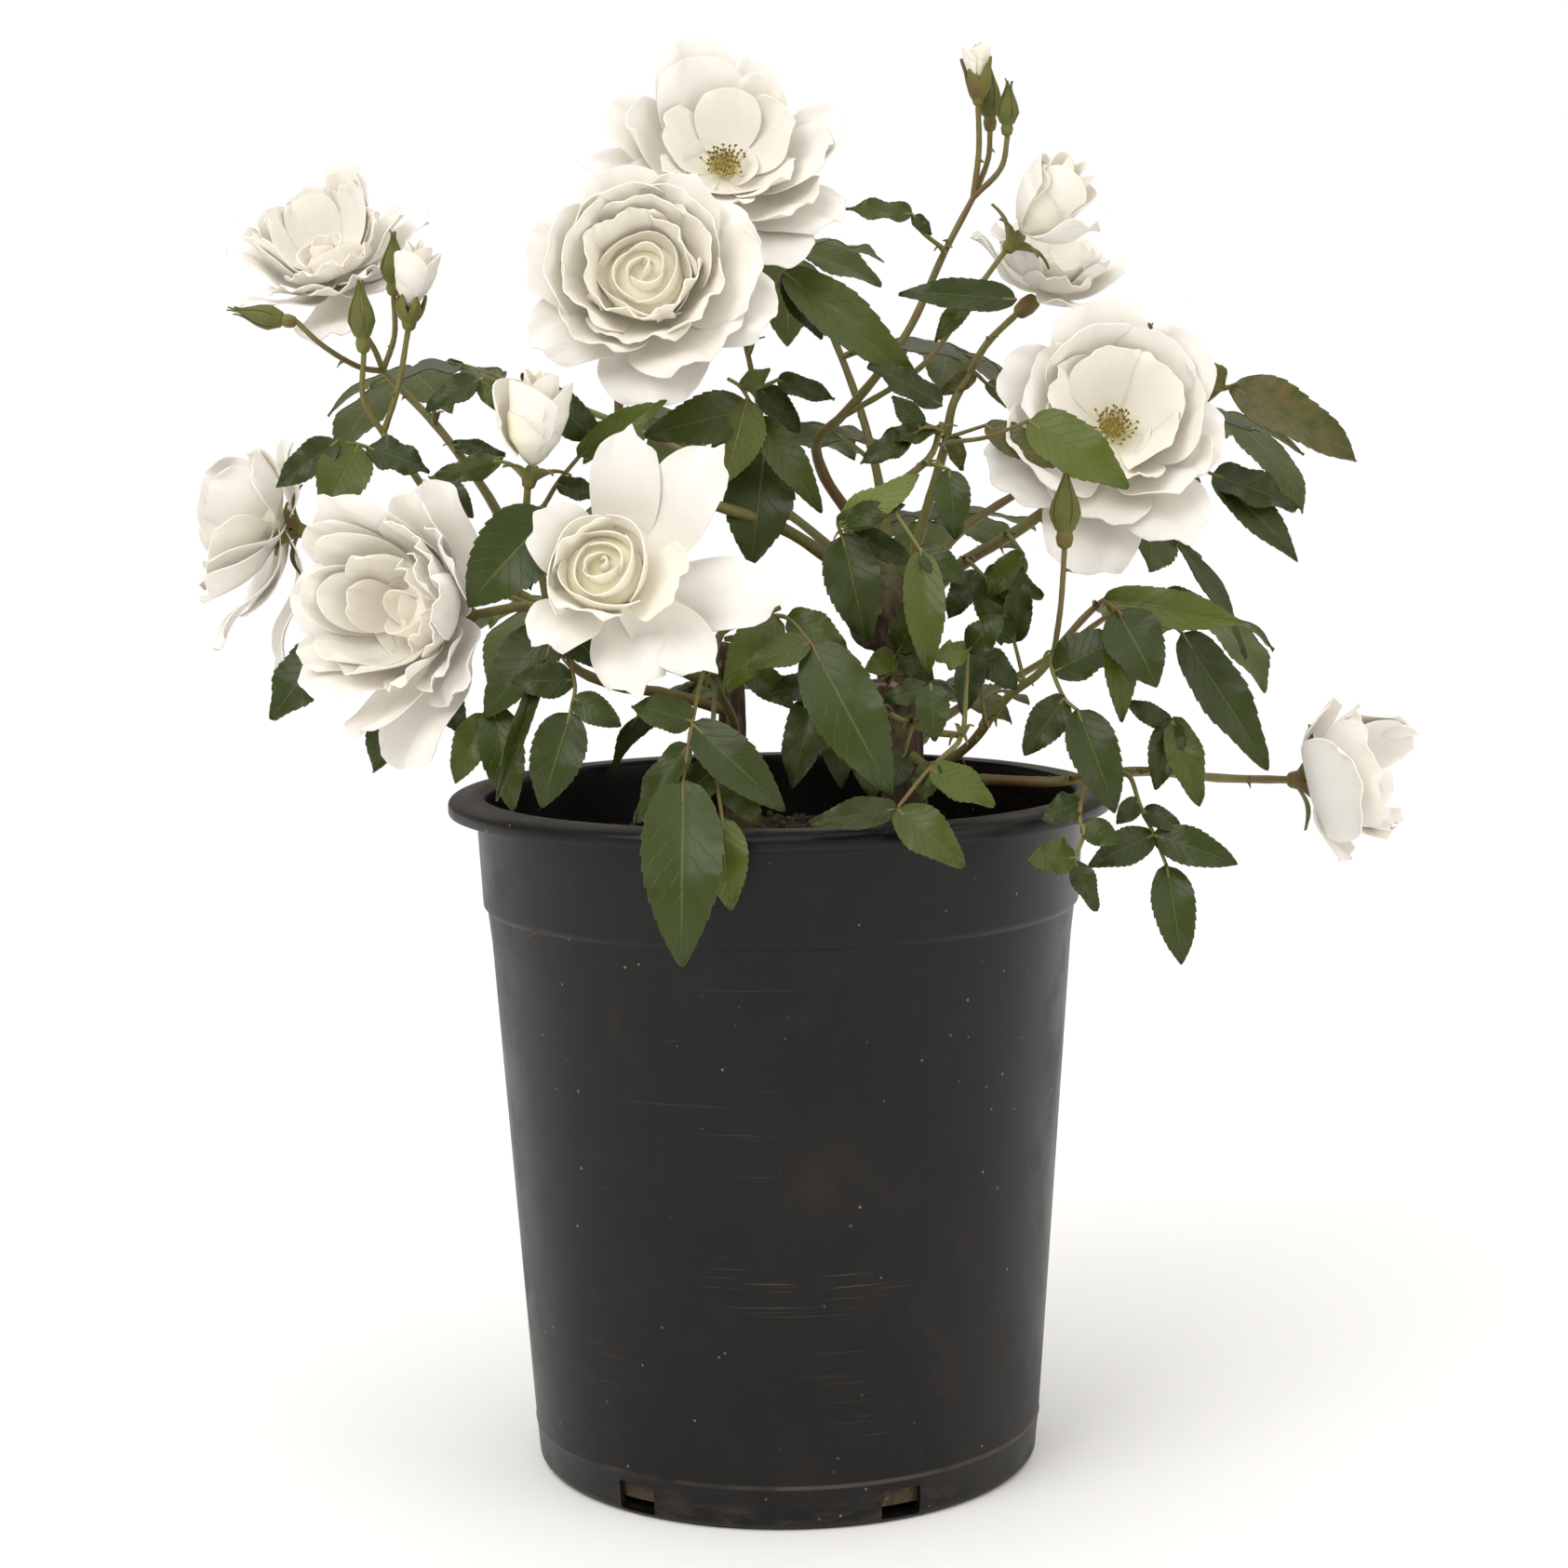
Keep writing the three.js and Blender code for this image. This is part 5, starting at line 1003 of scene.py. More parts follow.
def leaflet_points(sheet, frame, settings, upper, rng):
    """Points of one toothed, folded, veined leaflet."""
    share, out = leaflet_rows(sheet, settings.teeth)
    v = sheet.across
    side = np.abs(v)
    rim = side**4
    length = frame.length()
    outline = np.sin(np.pi * share**0.78) ** 0.62 * (1 - 0.38 * share**3)
    taper = np.sin(np.pi * share) ** 0.5
    tooth = TOOTH_OUT * out * taper * rim
    across = v * (outline * (0.965 + tooth) + 0.02 * (1 - share))
    crease = np.sqrt(v**2 + 0.006) - math.sqrt(0.006)
    lift = settings.fold * rng.uniform(0.55, 1.25) * 0.3 * length * crease * outline
    quilt = QUILT * np.sin(2 * np.pi * (share * SIDE_VEINS - 1.9 * side)) * side * (1.05 - side)
    phase = rng.uniform(0, 2 * math.pi)
    size = rng.uniform(0.5, 1.5) * MM
    wave = size * np.sin(2 * np.pi * share * rng.uniform(1.6, 2.6) + phase + 1.5 * np.sign(v))
    curl = rng.uniform(0.03, 0.1) * length * np.clip((share - 0.55) / 0.45, 0, 1) ** 2
    forward = TOOTH_FORWARD / settings.teeth * out * rim * taper
    height = lift + quilt + wave * v**2 - curl
    return relieved(frame, np.clip(share + forward, 0, 1), across, height, upper)


class TubeBundle:
    """Round stems gathered in one curve and made a mesh together."""

    def __init__(self, materials):
        self.curve = bpy.data.curves.new("tubes", "CURVE")
        self.curve.dimensions = "3D"
        self.curve.bevel_depth = 1
        self.curve.bevel_resolution = 2
        self.curve.use_fill_caps = True
        for material in materials:
            self.curve.materials.append(material)

    def add(self, points, radii, material=0):
        spline = self.curve.splines.new("POLY")
        spline.points.add(len(points) - 1)
        spline.material_index = material
        spline.use_smooth = True
        for spot, point, radius in zip(spline.points, points, radii):
            spot.co = (*point, 1)
            spot.radius = radius

    def mesh(self):
        item = bpy.data.objects.new("tubes", self.curve)
        bpy.context.scene.collection.objects.link(item)
        pick(item)
        bpy.ops.object.convert(target="MESH")
        return bpy.context.object


TURNED_RINGS = 18


def turned(name, foot, top, profile, segments, material, knobbly=0.0, seed=0):
    """A sphere primitive turned into a round body on the line from foot to top; profile gives its radii."""
    foot, top = np.asarray(foot, float), np.asarray(top, float)
    deselect()
    bpy.ops.mesh.primitive_uv_sphere_add(segments=segments, ring_count=TURNED_RINGS, radius=1)
    item = bpy.context.object
    item.name = name
    axis = unit(top - foot)
    helper = np.array([0, 1, 0]) if abs(axis[1]) < 0.9 else np.array([1, 0, 0])
    across = unit(np.cross(helper, axis))
    beyond = np.cross(axis, across)
    length = np.linalg.norm(top - foot)
    shares, radii = zip(*profile)
    for vertex in item.data.vertices:
        share = math.acos(max(-1.0, min(1.0, -vertex.co.z))) / math.pi
        angle = math.atan2(vertex.co.y, vertex.co.x)
        bump = 1 + knobbly * math.sin(5 * angle + seed)
        at_pole = math.hypot(vertex.co.x, vertex.co.y) < 1e-5
        radius = 0 if at_pole else np.interp(share, shares, radii) * bump
        out = across * math.cos(angle) + beyond * math.sin(angle)
        vertex.co = Vector(foot + axis * length * share + out * radius)
    item.data.materials.append(material)
    return item


class Wire:
    """A socket of a material's nodes. Arithmetic on it adds Math nodes."""

    def __init__(self, tree, socket=None):
        self.tree = tree
        self.socket = socket

    def add(self, kind, settings=None, inputs=None, output=0):
        """Add a node of a kind, set it up first, feed its sockets, and return one of its outputs."""
        node = self.tree.nodes.new(kind)
        for key, value in (settings or {}).items():
            setattr(node, key, value)
        for key, value in (inputs or {}).items():
            if isinstance(value, Wire):
                self.tree.links.new(value.socket, node.inputs[key])
            else:
                node.inputs[key].default_value = value
        return Wire(self.tree, node.outputs[output])

    def math(self, operation, *values):
        return self.add("ShaderNodeMath", {"operation": operation}, dict(enumerate(values)))

    def __add__(self, other):
        return self.math("ADD", self, other)

    __radd__ = __add__

    def __sub__(self, other):
        return self.math("SUBTRACT", self, other)

    def __rsub__(self, other):
        return self.math("SUBTRACT", other, self)

    def __mul__(self, other):
        return self.math("MULTIPLY", self, other)

    __rmul__ = __mul__

    def __abs__(self):
        return self.math("ABSOLUTE", self)

    def between(self, low, high):
        """0 below low, 1 above high, smooth between them."""
        return self.add(
            "ShaderNodeMapRange",
            {"interpolation_type": "SMOOTHSTEP"},
            {"Value": self, "From Min": low, "From Max": high},
        )

    def blend(self, first, second):
        """A colour between two, by this value."""
        values = [value if isinstance(value, Wire) else (*value, 1) for value in (first, second)]
        return self.add(
            "ShaderNodeMix",
            {"data_type": "RGBA"},
            {0: self, 6: values[0], 7: values[1]},
            output=2,
        )


class Finish:
    """A material with one Principled shader, and short ways to the coordinates and patterns that feed it."""

    def __init__(self, name, **constants):
        self.material = bpy.data.materials.new(name)
        self.material.use_nodes = True
        self.tree = self.material.node_tree
        self.shader = self.tree.nodes["Principled BSDF"]
        self.wire = Wire(self.tree)
        for key, value in constants.items():
            self.shader.inputs[key.replace("_", " ")].default_value = value

    def feed(self, **values):
        """Link what varies over the surface to the shader."""
        for key, value in values.items():
            self.tree.links.new(value.socket, self.shader.inputs[key.replace("_", " ")])
        return self.material

    def place(self):
        return self.wire.add("ShaderNodeTexCoord", output="Object")

    def uv(self):
        """The two sheet coordinates: along and across, each from 0 to 1."""
        both = self.wire.add("ShaderNodeTexCoord", output="UV")
        return [self.wire.add("ShaderNodeSeparateXYZ", None, {0: both}, output=axis) for axis in ("X", "Y")]

    def attribute(self, name):
        return self.wire.add("ShaderNodeAttribute", {"attribute_name": name}, output="Fac")

    def noise(self, vector, scale, detail=3, roughness=0.5):
        return self.wire.add(
            "ShaderNodeTexNoise",
            {"noise_dimensions": "3D"},
            {"Vector": vector, "Scale": scale, "Detail": detail, "Roughness": roughness},
            output="Fac",
        )

    def stretched(self, vector, scale):
        return self.wire.add("ShaderNodeMapping", None, {"Vector": vector, "Scale": scale})

    def bump(self, height, distance, strength=1.0):
        return self.wire.add(
            "ShaderNodeBump", None, {"Height": height, "Distance": distance, "Strength": strength}
        )


def shades(colour, low, high):
    """A darker and a lighter tone of a colour, for blend()."""
    return [[share * value for value in colour] for share in (low, high)]


def pot_finish(settings):
    """Black moulded plastic with fine scratches, smudges, specks of dust and a dusty foot."""
    finish = Finish("pot_plastic_fine", Specular_IOR_Level=0.24)
    place = finish.place()
    x, z = [finish.wire.add("ShaderNodeSeparateXYZ", None, {0: place}, output=axis) for axis in "XZ"]
    smudge = finish.noise(finish.stretched(place, (1, 1, 0.7)), 17, 5, 0.62).between(0.46, 0.72)
    cloud = finish.noise(place, 46, 4, 0.6).between(0.5, 0.75)
    hair = finish.noise(finish.stretched(place, (16, 16, 900)), 1.4, 2).between(0.62, 0.72)
    scuffed = finish.noise(place, 21, 2).between(0.54, 0.66)
    slant = finish.wire.add(
        "ShaderNodeMapping",
        None,
        {"Vector": place, "Rotation": (0, math.radians(48), 0), "Scale": (12, 12, 800)},
    )
    rubbed = finish.noise(slant, 1.3, 2).between(0.64, 0.74)
    scuff = rubbed * finish.noise(place, 13, 2).between(0.55, 0.68)
    band = (abs(z - 0.092)).between(0.014, 0.004) * (abs(x - 0.004)).between(0.04, 0.012)
    scratches = hair * (scuffed * 0.4 + band * 1.8) + scuff * 0.6
    cells = {"Vector": place, "Scale": 150}
    specks = finish.wire.add("ShaderNodeTexVoronoi", None, cells, output="Distance")
    speck_here = finish.noise(place, 75, 2).between(0.47, 0.58)
    dots = specks.between(0.1, 0.05) * speck_here
    stains = finish.noise(finish.stretched(place, (1, 1, 3)), 55, 5, 0.7).between(0.4, 0.75)
    foot = z.between(0.02, 0.0) * stains
    ring = (abs(z - 0.0165)).between(0.0012, 0.0002) * finish.noise(place, 30, 3).between(0.35, 0.65)
    dusty = scratches * 0.2 + dots * 0.9 + foot * 0.22 + ring * 0.3 + cloud * 0.028 + smudge * 0.034
    colour = dusty.math("MINIMUM", dusty, 1.0).blend(settings.plastic, settings.dust)
    roughness = smudge * 0.14 + cloud * 0.08 + scratches * 0.2 + foot * 0.3 + 0.36
    grain = finish.noise(place, 1400, 2) * 0.35 + scratches * 1.2 + dots * 2.0
    waves = finish.noise(place, 26, 2)
    height = grain * 0.08 + waves * 0.9
    return finish.feed(
        Base_Color=colour, Roughness=roughness, Normal=finish.bump(height, 0.35 * MM, 0.6)
    )


def soil_finish(settings):
    """Dark crumbly soil with wood fibres and a haze of moss."""
    finish = Finish("soil_fine", Specular_IOR_Level=0.25)
    place = finish.place()
    lumps = finish.noise(place, 260, 5, 0.7)
    fibres = finish.noise(finish.stretched(place, (1, 3, 2)), 420, 3, 0.6).between(0.6, 0.72)
    haze = finish.noise(place, 34, 3, 0.6).between(0.53, 0.66)
    green = haze * finish.noise(place, 300, 3).between(0.45, 0.6)
    brown = lumps.blend(*shades(settings.earth, 0.45, 2.6))
    mixed = (fibres * 0.6).blend(brown, (0.07, 0.048, 0.026))
    colour = (green * 0.75).blend(mixed, settings.moss)
    roughness = lumps * 0.2 + 0.76
    return finish.feed(
        Base_Color=colour, Roughness=roughness, Normal=finish.bump(lumps + fibres * 0.4, 1.6 * MM, 0.9)
    )


def moss_finish(settings):
    """Yellow-green moss."""
    finish = Finish("moss_fine", Specular_IOR_Level=0.2)
    place = finish.place()
    grain = finish.noise(place, 900, 3, 0.7)
    colour = grain.blend(*shades(settings.moss, 0.35, 1.7))
    return finish.feed(
        Base_Color=colour, Roughness=grain * 0.1 + 0.85, Normal=finish.bump(grain, 1.2 * MM, 1.0)
    )


def bark_finish(settings):
    """Weathered bark with long cracks."""
    finish = Finish("bark_fine", Specular_IOR_Level=0.25)
    place = finish.place()
    cracks = finish.noise(finish.stretched(place, (1, 1, 0.16)), 330, 5, 0.65)
    patches = finish.noise(place, 55, 4, 0.6)
    tone = cracks.between(0.35, 0.65).blend(*shades(settings.bark, 0.35, 1.5))
    colour = patches.between(0.5, 0.75).blend(tone, (0.13, 0.12, 0.06))
    return finish.feed(
        Base_Color=colour, Roughness=cracks * 0.2 + 0.7, Normal=finish.bump(cracks, 1.8 * MM, 0.9)
    )


def cane_finish(settings):
    """Green canes that turn red-brown in patches."""
    finish = Finish("cane_fine", Specular_IOR_Level=0.4)
    place = finish.place()
    patches = finish.noise(place, 24, 3, 0.6).between(0.46, 0.7)
    streaks = finish.noise(finish.stretched(place, (1, 1, 0.25)), 520, 3)
    green = streaks.blend(*shades(settings.cane, 0.65, 1.3))
    colour = patches.blend(green, settings.blush)
    return finish.feed(
        Base_Color=colour, Roughness=streaks * 0.2 + 0.38, Normal=finish.bump(streaks, 0.25 * MM, 0.6)
    )


def vein_masks(finish):
    """Masks of a leaflet's midrib and of its side veins, from its own sheet coordinates."""
    along, beside = finish.uv()
    side = abs(beside * 2 - 1)
    midrib = side.between(0.06, 0.015)
    slanting = along * 8.5 - side * 2.1
    phase = slanting.math("FRACT", slanting + 4)
    lines = abs(phase * 2 - 1).between(0.86, 0.99)
    veins = lines * side.between(0.98, 0.7) * along.between(0.02, 0.1)
    return midrib, veins, side


def leaf_finish(settings):
    """The glossy dark upper side of a leaf, its veins a little sunken."""
    finish = Finish("leaf_upper_fine", Specular_IOR_Level=0.3, Coat_Roughness=0.3)
    place = finish.place()
    midrib, veins, side = vein_masks(finish)
    tone = finish.attribute("tone")
    young = finish.attribute("young")
    mottle = finish.noise(place, 130, 4, 0.6)
    grown = (tone * 0.65 + mottle * 0.35).blend(*shades(settings.upper, 0.75, 1.45))
    fresh = tone.between(0.72, 1.0).blend(grown, settings.fresh)
    newest = (young * mottle.between(0.2, 0.75)).blend(fresh, settings.bronze)
    veined = (midrib * 0.5 + veins * 0.1).blend(newest, (0.12, 0.15, 0.03))
    edge = side.between(0.95, 1.0) * 0.25
    colour = edge.blend(veined, (0.1, 0.09, 0.035))
    quilt = finish.noise(place, 620, 2)
    height = 1 - midrib * 0.9 - veins * 0.5 + quilt * 0.22
    roughness = mottle * 0.16 + quilt * 0.1 + 0.27
    return finish.feed(
        Base_Color=colour,
        Roughness=roughness,
        Coat_Weight=mottle * 0.1 + 0.02,
        Normal=finish.bump(height, 0.28 * MM, 0.85),
    )


def underside_finish(settings):
    """The pale matt underside of a leaf, its veins raised."""
    finish = Finish("leaf_underside_fine", Specular_IOR_Level=0.35)
    place = finish.place()
    midrib, veins, _ = vein_masks(finish)
    mottle = finish.noise(place, 150, 4, 0.6)
    tone = finish.attribute("tone")
    young = finish.attribute("young")
    plain = (mottle * 0.5 + tone * 0.5).blend(*shades(settings.under, 0.72, 1.2))
    newest = (young * 0.6).blend(plain, settings.bronze)
    colour = (midrib * 0.7 + veins * 0.35).blend(newest, (0.24, 0.27, 0.11))
    height = midrib * 1.2 + veins * 0.7 + mottle * 0.3
    return finish.feed(
        Base_Color=colour, Roughness=mottle * 0.15 + 0.52, Normal=finish.bump(height, 0.35 * MM, 0.9)
    )


def sepal_finish(settings, wood):
    """Olive sepals and hips with a red-brown blush."""
    finish = Finish("sepal_fine", Specular_IOR_Level=0.35)
    place = finish.place()
    streaks = finish.noise(finish.stretched(place, (1, 1, 0.4)), 380, 3, 0.6)
    patches = finish.noise(place, 90, 3).between(0.48, 0.68)
    green = streaks.blend(*shades(settings.sepal, 0.65, 1.35))
    colour = (patches * 0.85).blend(green, wood.blush)
    return finish.feed(
        Base_Color=colour, Roughness=streaks * 0.15 + 0.45, Normal=finish.bump(streaks, 0.3 * MM, 0.7)
    )


def petal_finish(settings):
    """Warm white petals with fine lengthwise veins, creamier towards the heart."""
    finish = Finish(
        "petal_fine",
        Specular_IOR_Level=0.28,
        Subsurface_Weight=0.22,
        Subsurface_Scale=2.5 * MM,
        Subsurface_Radius=(1.0, 0.85, 0.6),
        Sheen_Weight=0.06,
    )
    along, beside = finish.uv()
    deep = finish.attribute("cream")
    spread = {"X": along * 3, "Y": beside * 42, "Z": deep * 9}
    fan = finish.wire.add("ShaderNodeCombineXYZ", None, spread)
    veins = finish.noise(fan, 1.0, 3, 0.6)
    fine = finish.noise(finish.place(), 700, 2)
    base_tint = along.between(0.3, 0.0) * 0.5
    tint = deep * 0.9 + base_tint
    warm = tint.math("MINIMUM", tint, 1.0)
    colour = warm.blend(settings.petal, settings.cream)
    veined = (veins.between(0.55, 0.8) * 0.07).blend(colour, (0.72, 0.68, 0.55))
    height = veins * 0.8 + fine * 0.2
    return finish.feed(
        Base_Color=veined, Roughness=fine * 0.12 + 0.5, Normal=finish.bump(height, 0.3 * MM, 0.55)
    )


def grain_finish(name, colour, scale):
    """A fine-grained matt colour."""
    finish = Finish(name, Specular_IOR_Level=0.3)
    grain = finish.noise(finish.place(), scale, 3, 0.6)
    shade = grain.blend([0.6 * c for c in colour], [min(1, 1.35 * c) for c in colour])
    return finish.feed(
        Base_Color=shade, Roughness=grain * 0.1 + 0.55, Normal=finish.bump(grain, 0.3 * MM, 0.5)
    )


class ROSE_OT_pot(Operator):
    """Build the nursery pot: turned shell with a rolled rim, a shoulder, a foot ring and drain holes"""

    bl_idname = "rose.pot"
    bl_label = "Pot"

    WALL = 2.2 * MM
    CREST = 110.5 * MM
    LIP_DEPTH = 7 * MM
    BODY_TOP = 114 * MM
    SHOULDER = 112.1 * MM
    SHOULDER_Z = 214 * MM
    SHOULDER_STEP = 1.6 * MM
    FOOT = 95.5 * MM
    FOOT_ROUND = 4 * MM
    HOLLOW = 1.2 * MM
    RING_Z = 16 * MM
    DRAINS = 6
    DRAIN_SIZE = (24 * MM, 15.4 * MM, 11 * MM)
    DRAIN_Z = 7.2 * MM
    FIRST_DRAIN = math.radians(-65)

    def profile(self, settings):
        """Radii and heights from the middle of the foot, up the outside, over the lip and down the inside."""
        rim, height = settings.rim_radius, settings.height
        lip = height - self.LIP_DEPTH
        ring = self.FOOT + (self.SHOULDER - self.FOOT) * self.RING_Z / self.SHOULDER_Z
        outside = [
            (0, self.HOLLOW),
            (self.FOOT - 9 * MM, self.HOLLOW),
            (self.FOOT - 7 * MM, 0),
            (self.FOOT - self.FOOT_ROUND, 0),
        ]
        for step in range(1, 6):
            turn = math.radians(18 * step)
            out, up = self.FOOT_ROUND * math.sin(turn), self.FOOT_ROUND * (1 - math.cos(turn))
            outside.append((self.FOOT - self.FOOT_ROUND + out, up))
        outside += [
            (ring - 0.3 * MM, self.RING_Z - 0.8 * MM),
            (ring + 0.1 * MM, self.RING_Z),
            (ring - 0.1 * MM, self.RING_Z + 0.8 * MM),
            (self.SHOULDER - self.SHOULDER_STEP - 1.4 * MM, self.SHOULDER_Z - 14 * MM),
            (self.SHOULDER - self.SHOULDER_STEP, self.SHOULDER_Z - 1.6 * MM),
            (self.SHOULDER - 0.9 * MM, self.SHOULDER_Z - 0.8 * MM),
            (self.SHOULDER - 0.2 * MM, self.SHOULDER_Z),
            (self.SHOULDER, self.SHOULDER_Z + 1.2 * MM),
            (self.BODY_TOP - 0.3 * MM, lip - 3 * MM),
            (self.BODY_TOP + 0.3 * MM, lip - 0.6 * MM),
            (self.BODY_TOP + 1.2 * MM, lip + 0.2 * MM),
            (rim - 1 * MM, lip),
            (rim - 0.3 * MM, lip + 0.3 * MM),
            (rim, lip + 1 * MM),
            (rim, lip + 3.6 * MM),
        ]
        for step in range(1, 7):
            turn = math.radians(15 * step)
            out, up = 6 * MM * (math.cos(turn) - 1), 3.3 * MM * math.sin(turn)
            outside.append((rim + out, lip + 3.6 * MM + up))
        inside = [
            (self.CREST + 3 * MM, height),
            (self.CREST + 1.2 * MM, height - 0.4 * MM),
            (self.CREST + 0.3 * MM, height - 1.4 * MM),
            (self.CREST, height - 3 * MM),
            (self.BODY_TOP - self.WALL - 1.2 * MM, lip - 4 * MM),
            (self.SHOULDER - self.SHOULDER_STEP - self.WALL, self.SHOULDER_Z),
            (self.FOOT - self.WALL, 5 * MM),
            (self.FOOT - self.WALL - 2 * MM, 3 * MM),
            (0, 3 * MM),
        ]
        return outside + inside

    def execute(self, context):
        settings = context.scene.rose_pot
        line = self.profile(settings)
        mesh = bpy.data.meshes.new("pot_profile")
        edges = [(index, index + 1) for index in range(len(line) - 1)]
        mesh.from_pydata([(radius, 0, z) for radius, z in line], edges, [])
        pot = bpy.data.objects.new("pot_profile", mesh)
        context.scene.collection.objects.link(pot)
        pick(pot)
        bpy.ops.object.mode_set(mode="EDIT")
        bpy.ops.mesh.select_all(action="SELECT")
        bpy.ops.mesh.spin(steps=settings.sides, angle=2 * math.pi, center=(0, 0, 0), axis=(0, 0, 1))
        bpy.ops.mesh.select_all(action="SELECT")
        bpy.ops.mesh.remove_doubles(threshold=0.01 * MM)
        bpy.ops.mesh.normals_make_consistent(inside=False)
        bpy.ops.object.mode_set(mode="OBJECT")
        for index in range(self.DRAINS):
            angle = self.FIRST_DRAIN + 2 * math.pi * index / self.DRAINS
            deselect()
            bpy.ops.mesh.primitive_cube_add(
                size=1,
                location=(self.FOOT * math.cos(angle), self.FOOT * math.sin(angle), self.DRAIN_Z),
                rotation=(0, 0, angle),
                scale=self.DRAIN_SIZE,
            )
            cutter = context.object
            bpy.ops.object.transform_apply(location=True, rotation=True, scale=True)
            apply_modifier(cutter, "BEVEL", width=1 * MM, segments=2)
            apply_modifier(pot, "BOOLEAN", object=cutter, operation="DIFFERENCE", solver="EXACT")
            bpy.data.objects.remove(cutter)
        pot.data.materials.clear()
        pot.data.materials.append(pot_finish(settings))
        piece = joined("pot_shell", [pot])
        smooth(piece, 32)
        placed(piece, "pot_plastic", "pot")
        return {"FINISHED"}


class ROSE_OT_soil(Operator):
    """Build the potting soil with its lumps, crumbs and moss"""

    bl_idname = "rose.soil"
    bl_label = "Soil"

    TOP = 230.5 * MM
    EDGE = 107.0 * MM
    GRID = 150
    SKIN = 14 * MM
    BODY_RADII = (92.4 * MM, 105 * MM)
    BODY_HEIGHT = 212 * MM
    BODY_MIDDLE = 111.6 * MM
    LUMPS = ((26, 0.7), (80, 0.35), (240, 0.22), (620, 0.1))
    SEED = 5
    CLUMPS = 34
    CLUMP_SPREAD = 5.5 * MM
    CRUMB_SIZES = (0.8 * MM, 3.2 * MM)
    TUFT_SIZES = (0.7 * MM, 1.9 * MM)

    def surface(self, x, y, relief):
        """Height of the soil's surface, which sinks a little towards the wall."""
        spot = Vector((x, y, 0))
        rise = sum(share * noise.noise(spot * scale) for scale, share in self.LUMPS)
        sink = 0.6 * max(0, (math.hypot(x, y) - 0.8 * self.EDGE) / (0.2 * self.EDGE)) ** 2
        return self.TOP + relief * (rise - sink)

    def scatter(self, rng, count, sizes, relief, material, clumps=None):
        """Loose lumps strewn over the surface, as copies of one shaped sphere."""
        deselect()
        bpy.ops.mesh.primitive_ico_sphere_add(subdivisions=1, radius=1)
        pattern = bpy.context.object
        corners = [vertex.co.copy() for vertex in pattern.data.vertices]
        faces = [tuple(face.vertices) for face in pattern.data.polygons]
        points, triangles = [], []
        for _ in range(count):
            if clumps:
                middle = clumps[int(rng.random() * len(clumps))]
                x = middle[0] + rng.gauss(0, self.CLUMP_SPREAD)
                y = middle[1] + rng.gauss(0, self.CLUMP_SPREAD)
            else:
                reach = self.EDGE * math.sqrt(rng.random())
                angle = 2 * math.pi * rng.random()
                x, y = reach * math.cos(angle), reach * math.sin(angle)
            size = rng.uniform(*sizes)
            if math.hypot(x, y) > self.EDGE - 1.6 * size:
                continue
            turn = Matrix.Rotation(2 * math.pi * rng.random(), 3, Vector((x * 40 + 1, y * 40, 1)))
            stretch = Vector((rng.uniform(0.6, 1.5), rng.uniform(0.6, 1.2), 0.7))
            middle = Vector((x, y, self.surface(x, y, relief) + 0.2 * size))
            start = len(points)
            for point in corners:
                wobble = 1 + 0.35 * noise.noise(point * 2 + middle * 900)
                shaped = Vector(a * b for a, b in zip(point, stretch)) * size * wobble
                points.append(middle + turn @ shaped)
            triangles += [tuple(start + corner for corner in face) for face in faces]
        bpy.data.objects.remove(pattern)
        mesh = bpy.data.meshes.new("crumbs")
        mesh.from_pydata(points, [], triangles)
        mesh.materials.append(material)
        item = bpy.data.objects.new("crumbs", mesh)
        bpy.context.scene.collection.objects.link(item)
        return item

    def execute(self, context):
        settings = context.scene.rose_soil
        earth = soil_finish(settings)
        moss = moss_finish(settings)
        deselect()
        bpy.ops.mesh.primitive_grid_add(x_subdivisions=self.GRID, y_subdivisions=self.GRID, size=2)
        top = context.object
        for vertex in top.data.vertices:
            x, y = vertex.co.x, vertex.co.y
            flat = math.hypot(x, y)
            scale = self.EDGE * (max(abs(x), abs(y)) / flat if flat > 0 else 0)
            vertex.co = (x * scale, y * scale, self.surface(x * scale, y * scale, settings.relief))
        top.data.materials.append(earth)
        apply_modifier(top, "SOLIDIFY", thickness=self.SKIN, offset=-1)
        deselect()
        bpy.ops.mesh.primitive_cone_add(
            vertices=72,
            radius1=self.BODY_RADII[0],
            radius2=self.BODY_RADII[1],
            depth=self.BODY_HEIGHT,
            location=(0, 0, self.BODY_MIDDLE),
        )
        body = context.object
        body.data.materials.append(earth)
        rng = random.Random(self.SEED)
        clumps = []
        while len(clumps) < self.CLUMPS:
            x, y = rng.uniform(-0.1, 0.1), rng.uniform(-0.1, 0.1)
            if math.hypot(x, y) < self.EDGE - 4 * MM:
                clumps.append((x, y))
        crumbs = self.scatter(rng, settings.crumbs, self.CRUMB_SIZES, settings.relief, earth)
        tufts = self.scatter(rng, settings.moss_tufts, self.TUFT_SIZES, settings.relief, moss, clumps)
        piece = joined("soil_surface", [top, body, crumbs, tufts])
        smooth(piece, 50)
        placed(piece, "soil", "potting_soil")
        return {"FINISHED"}


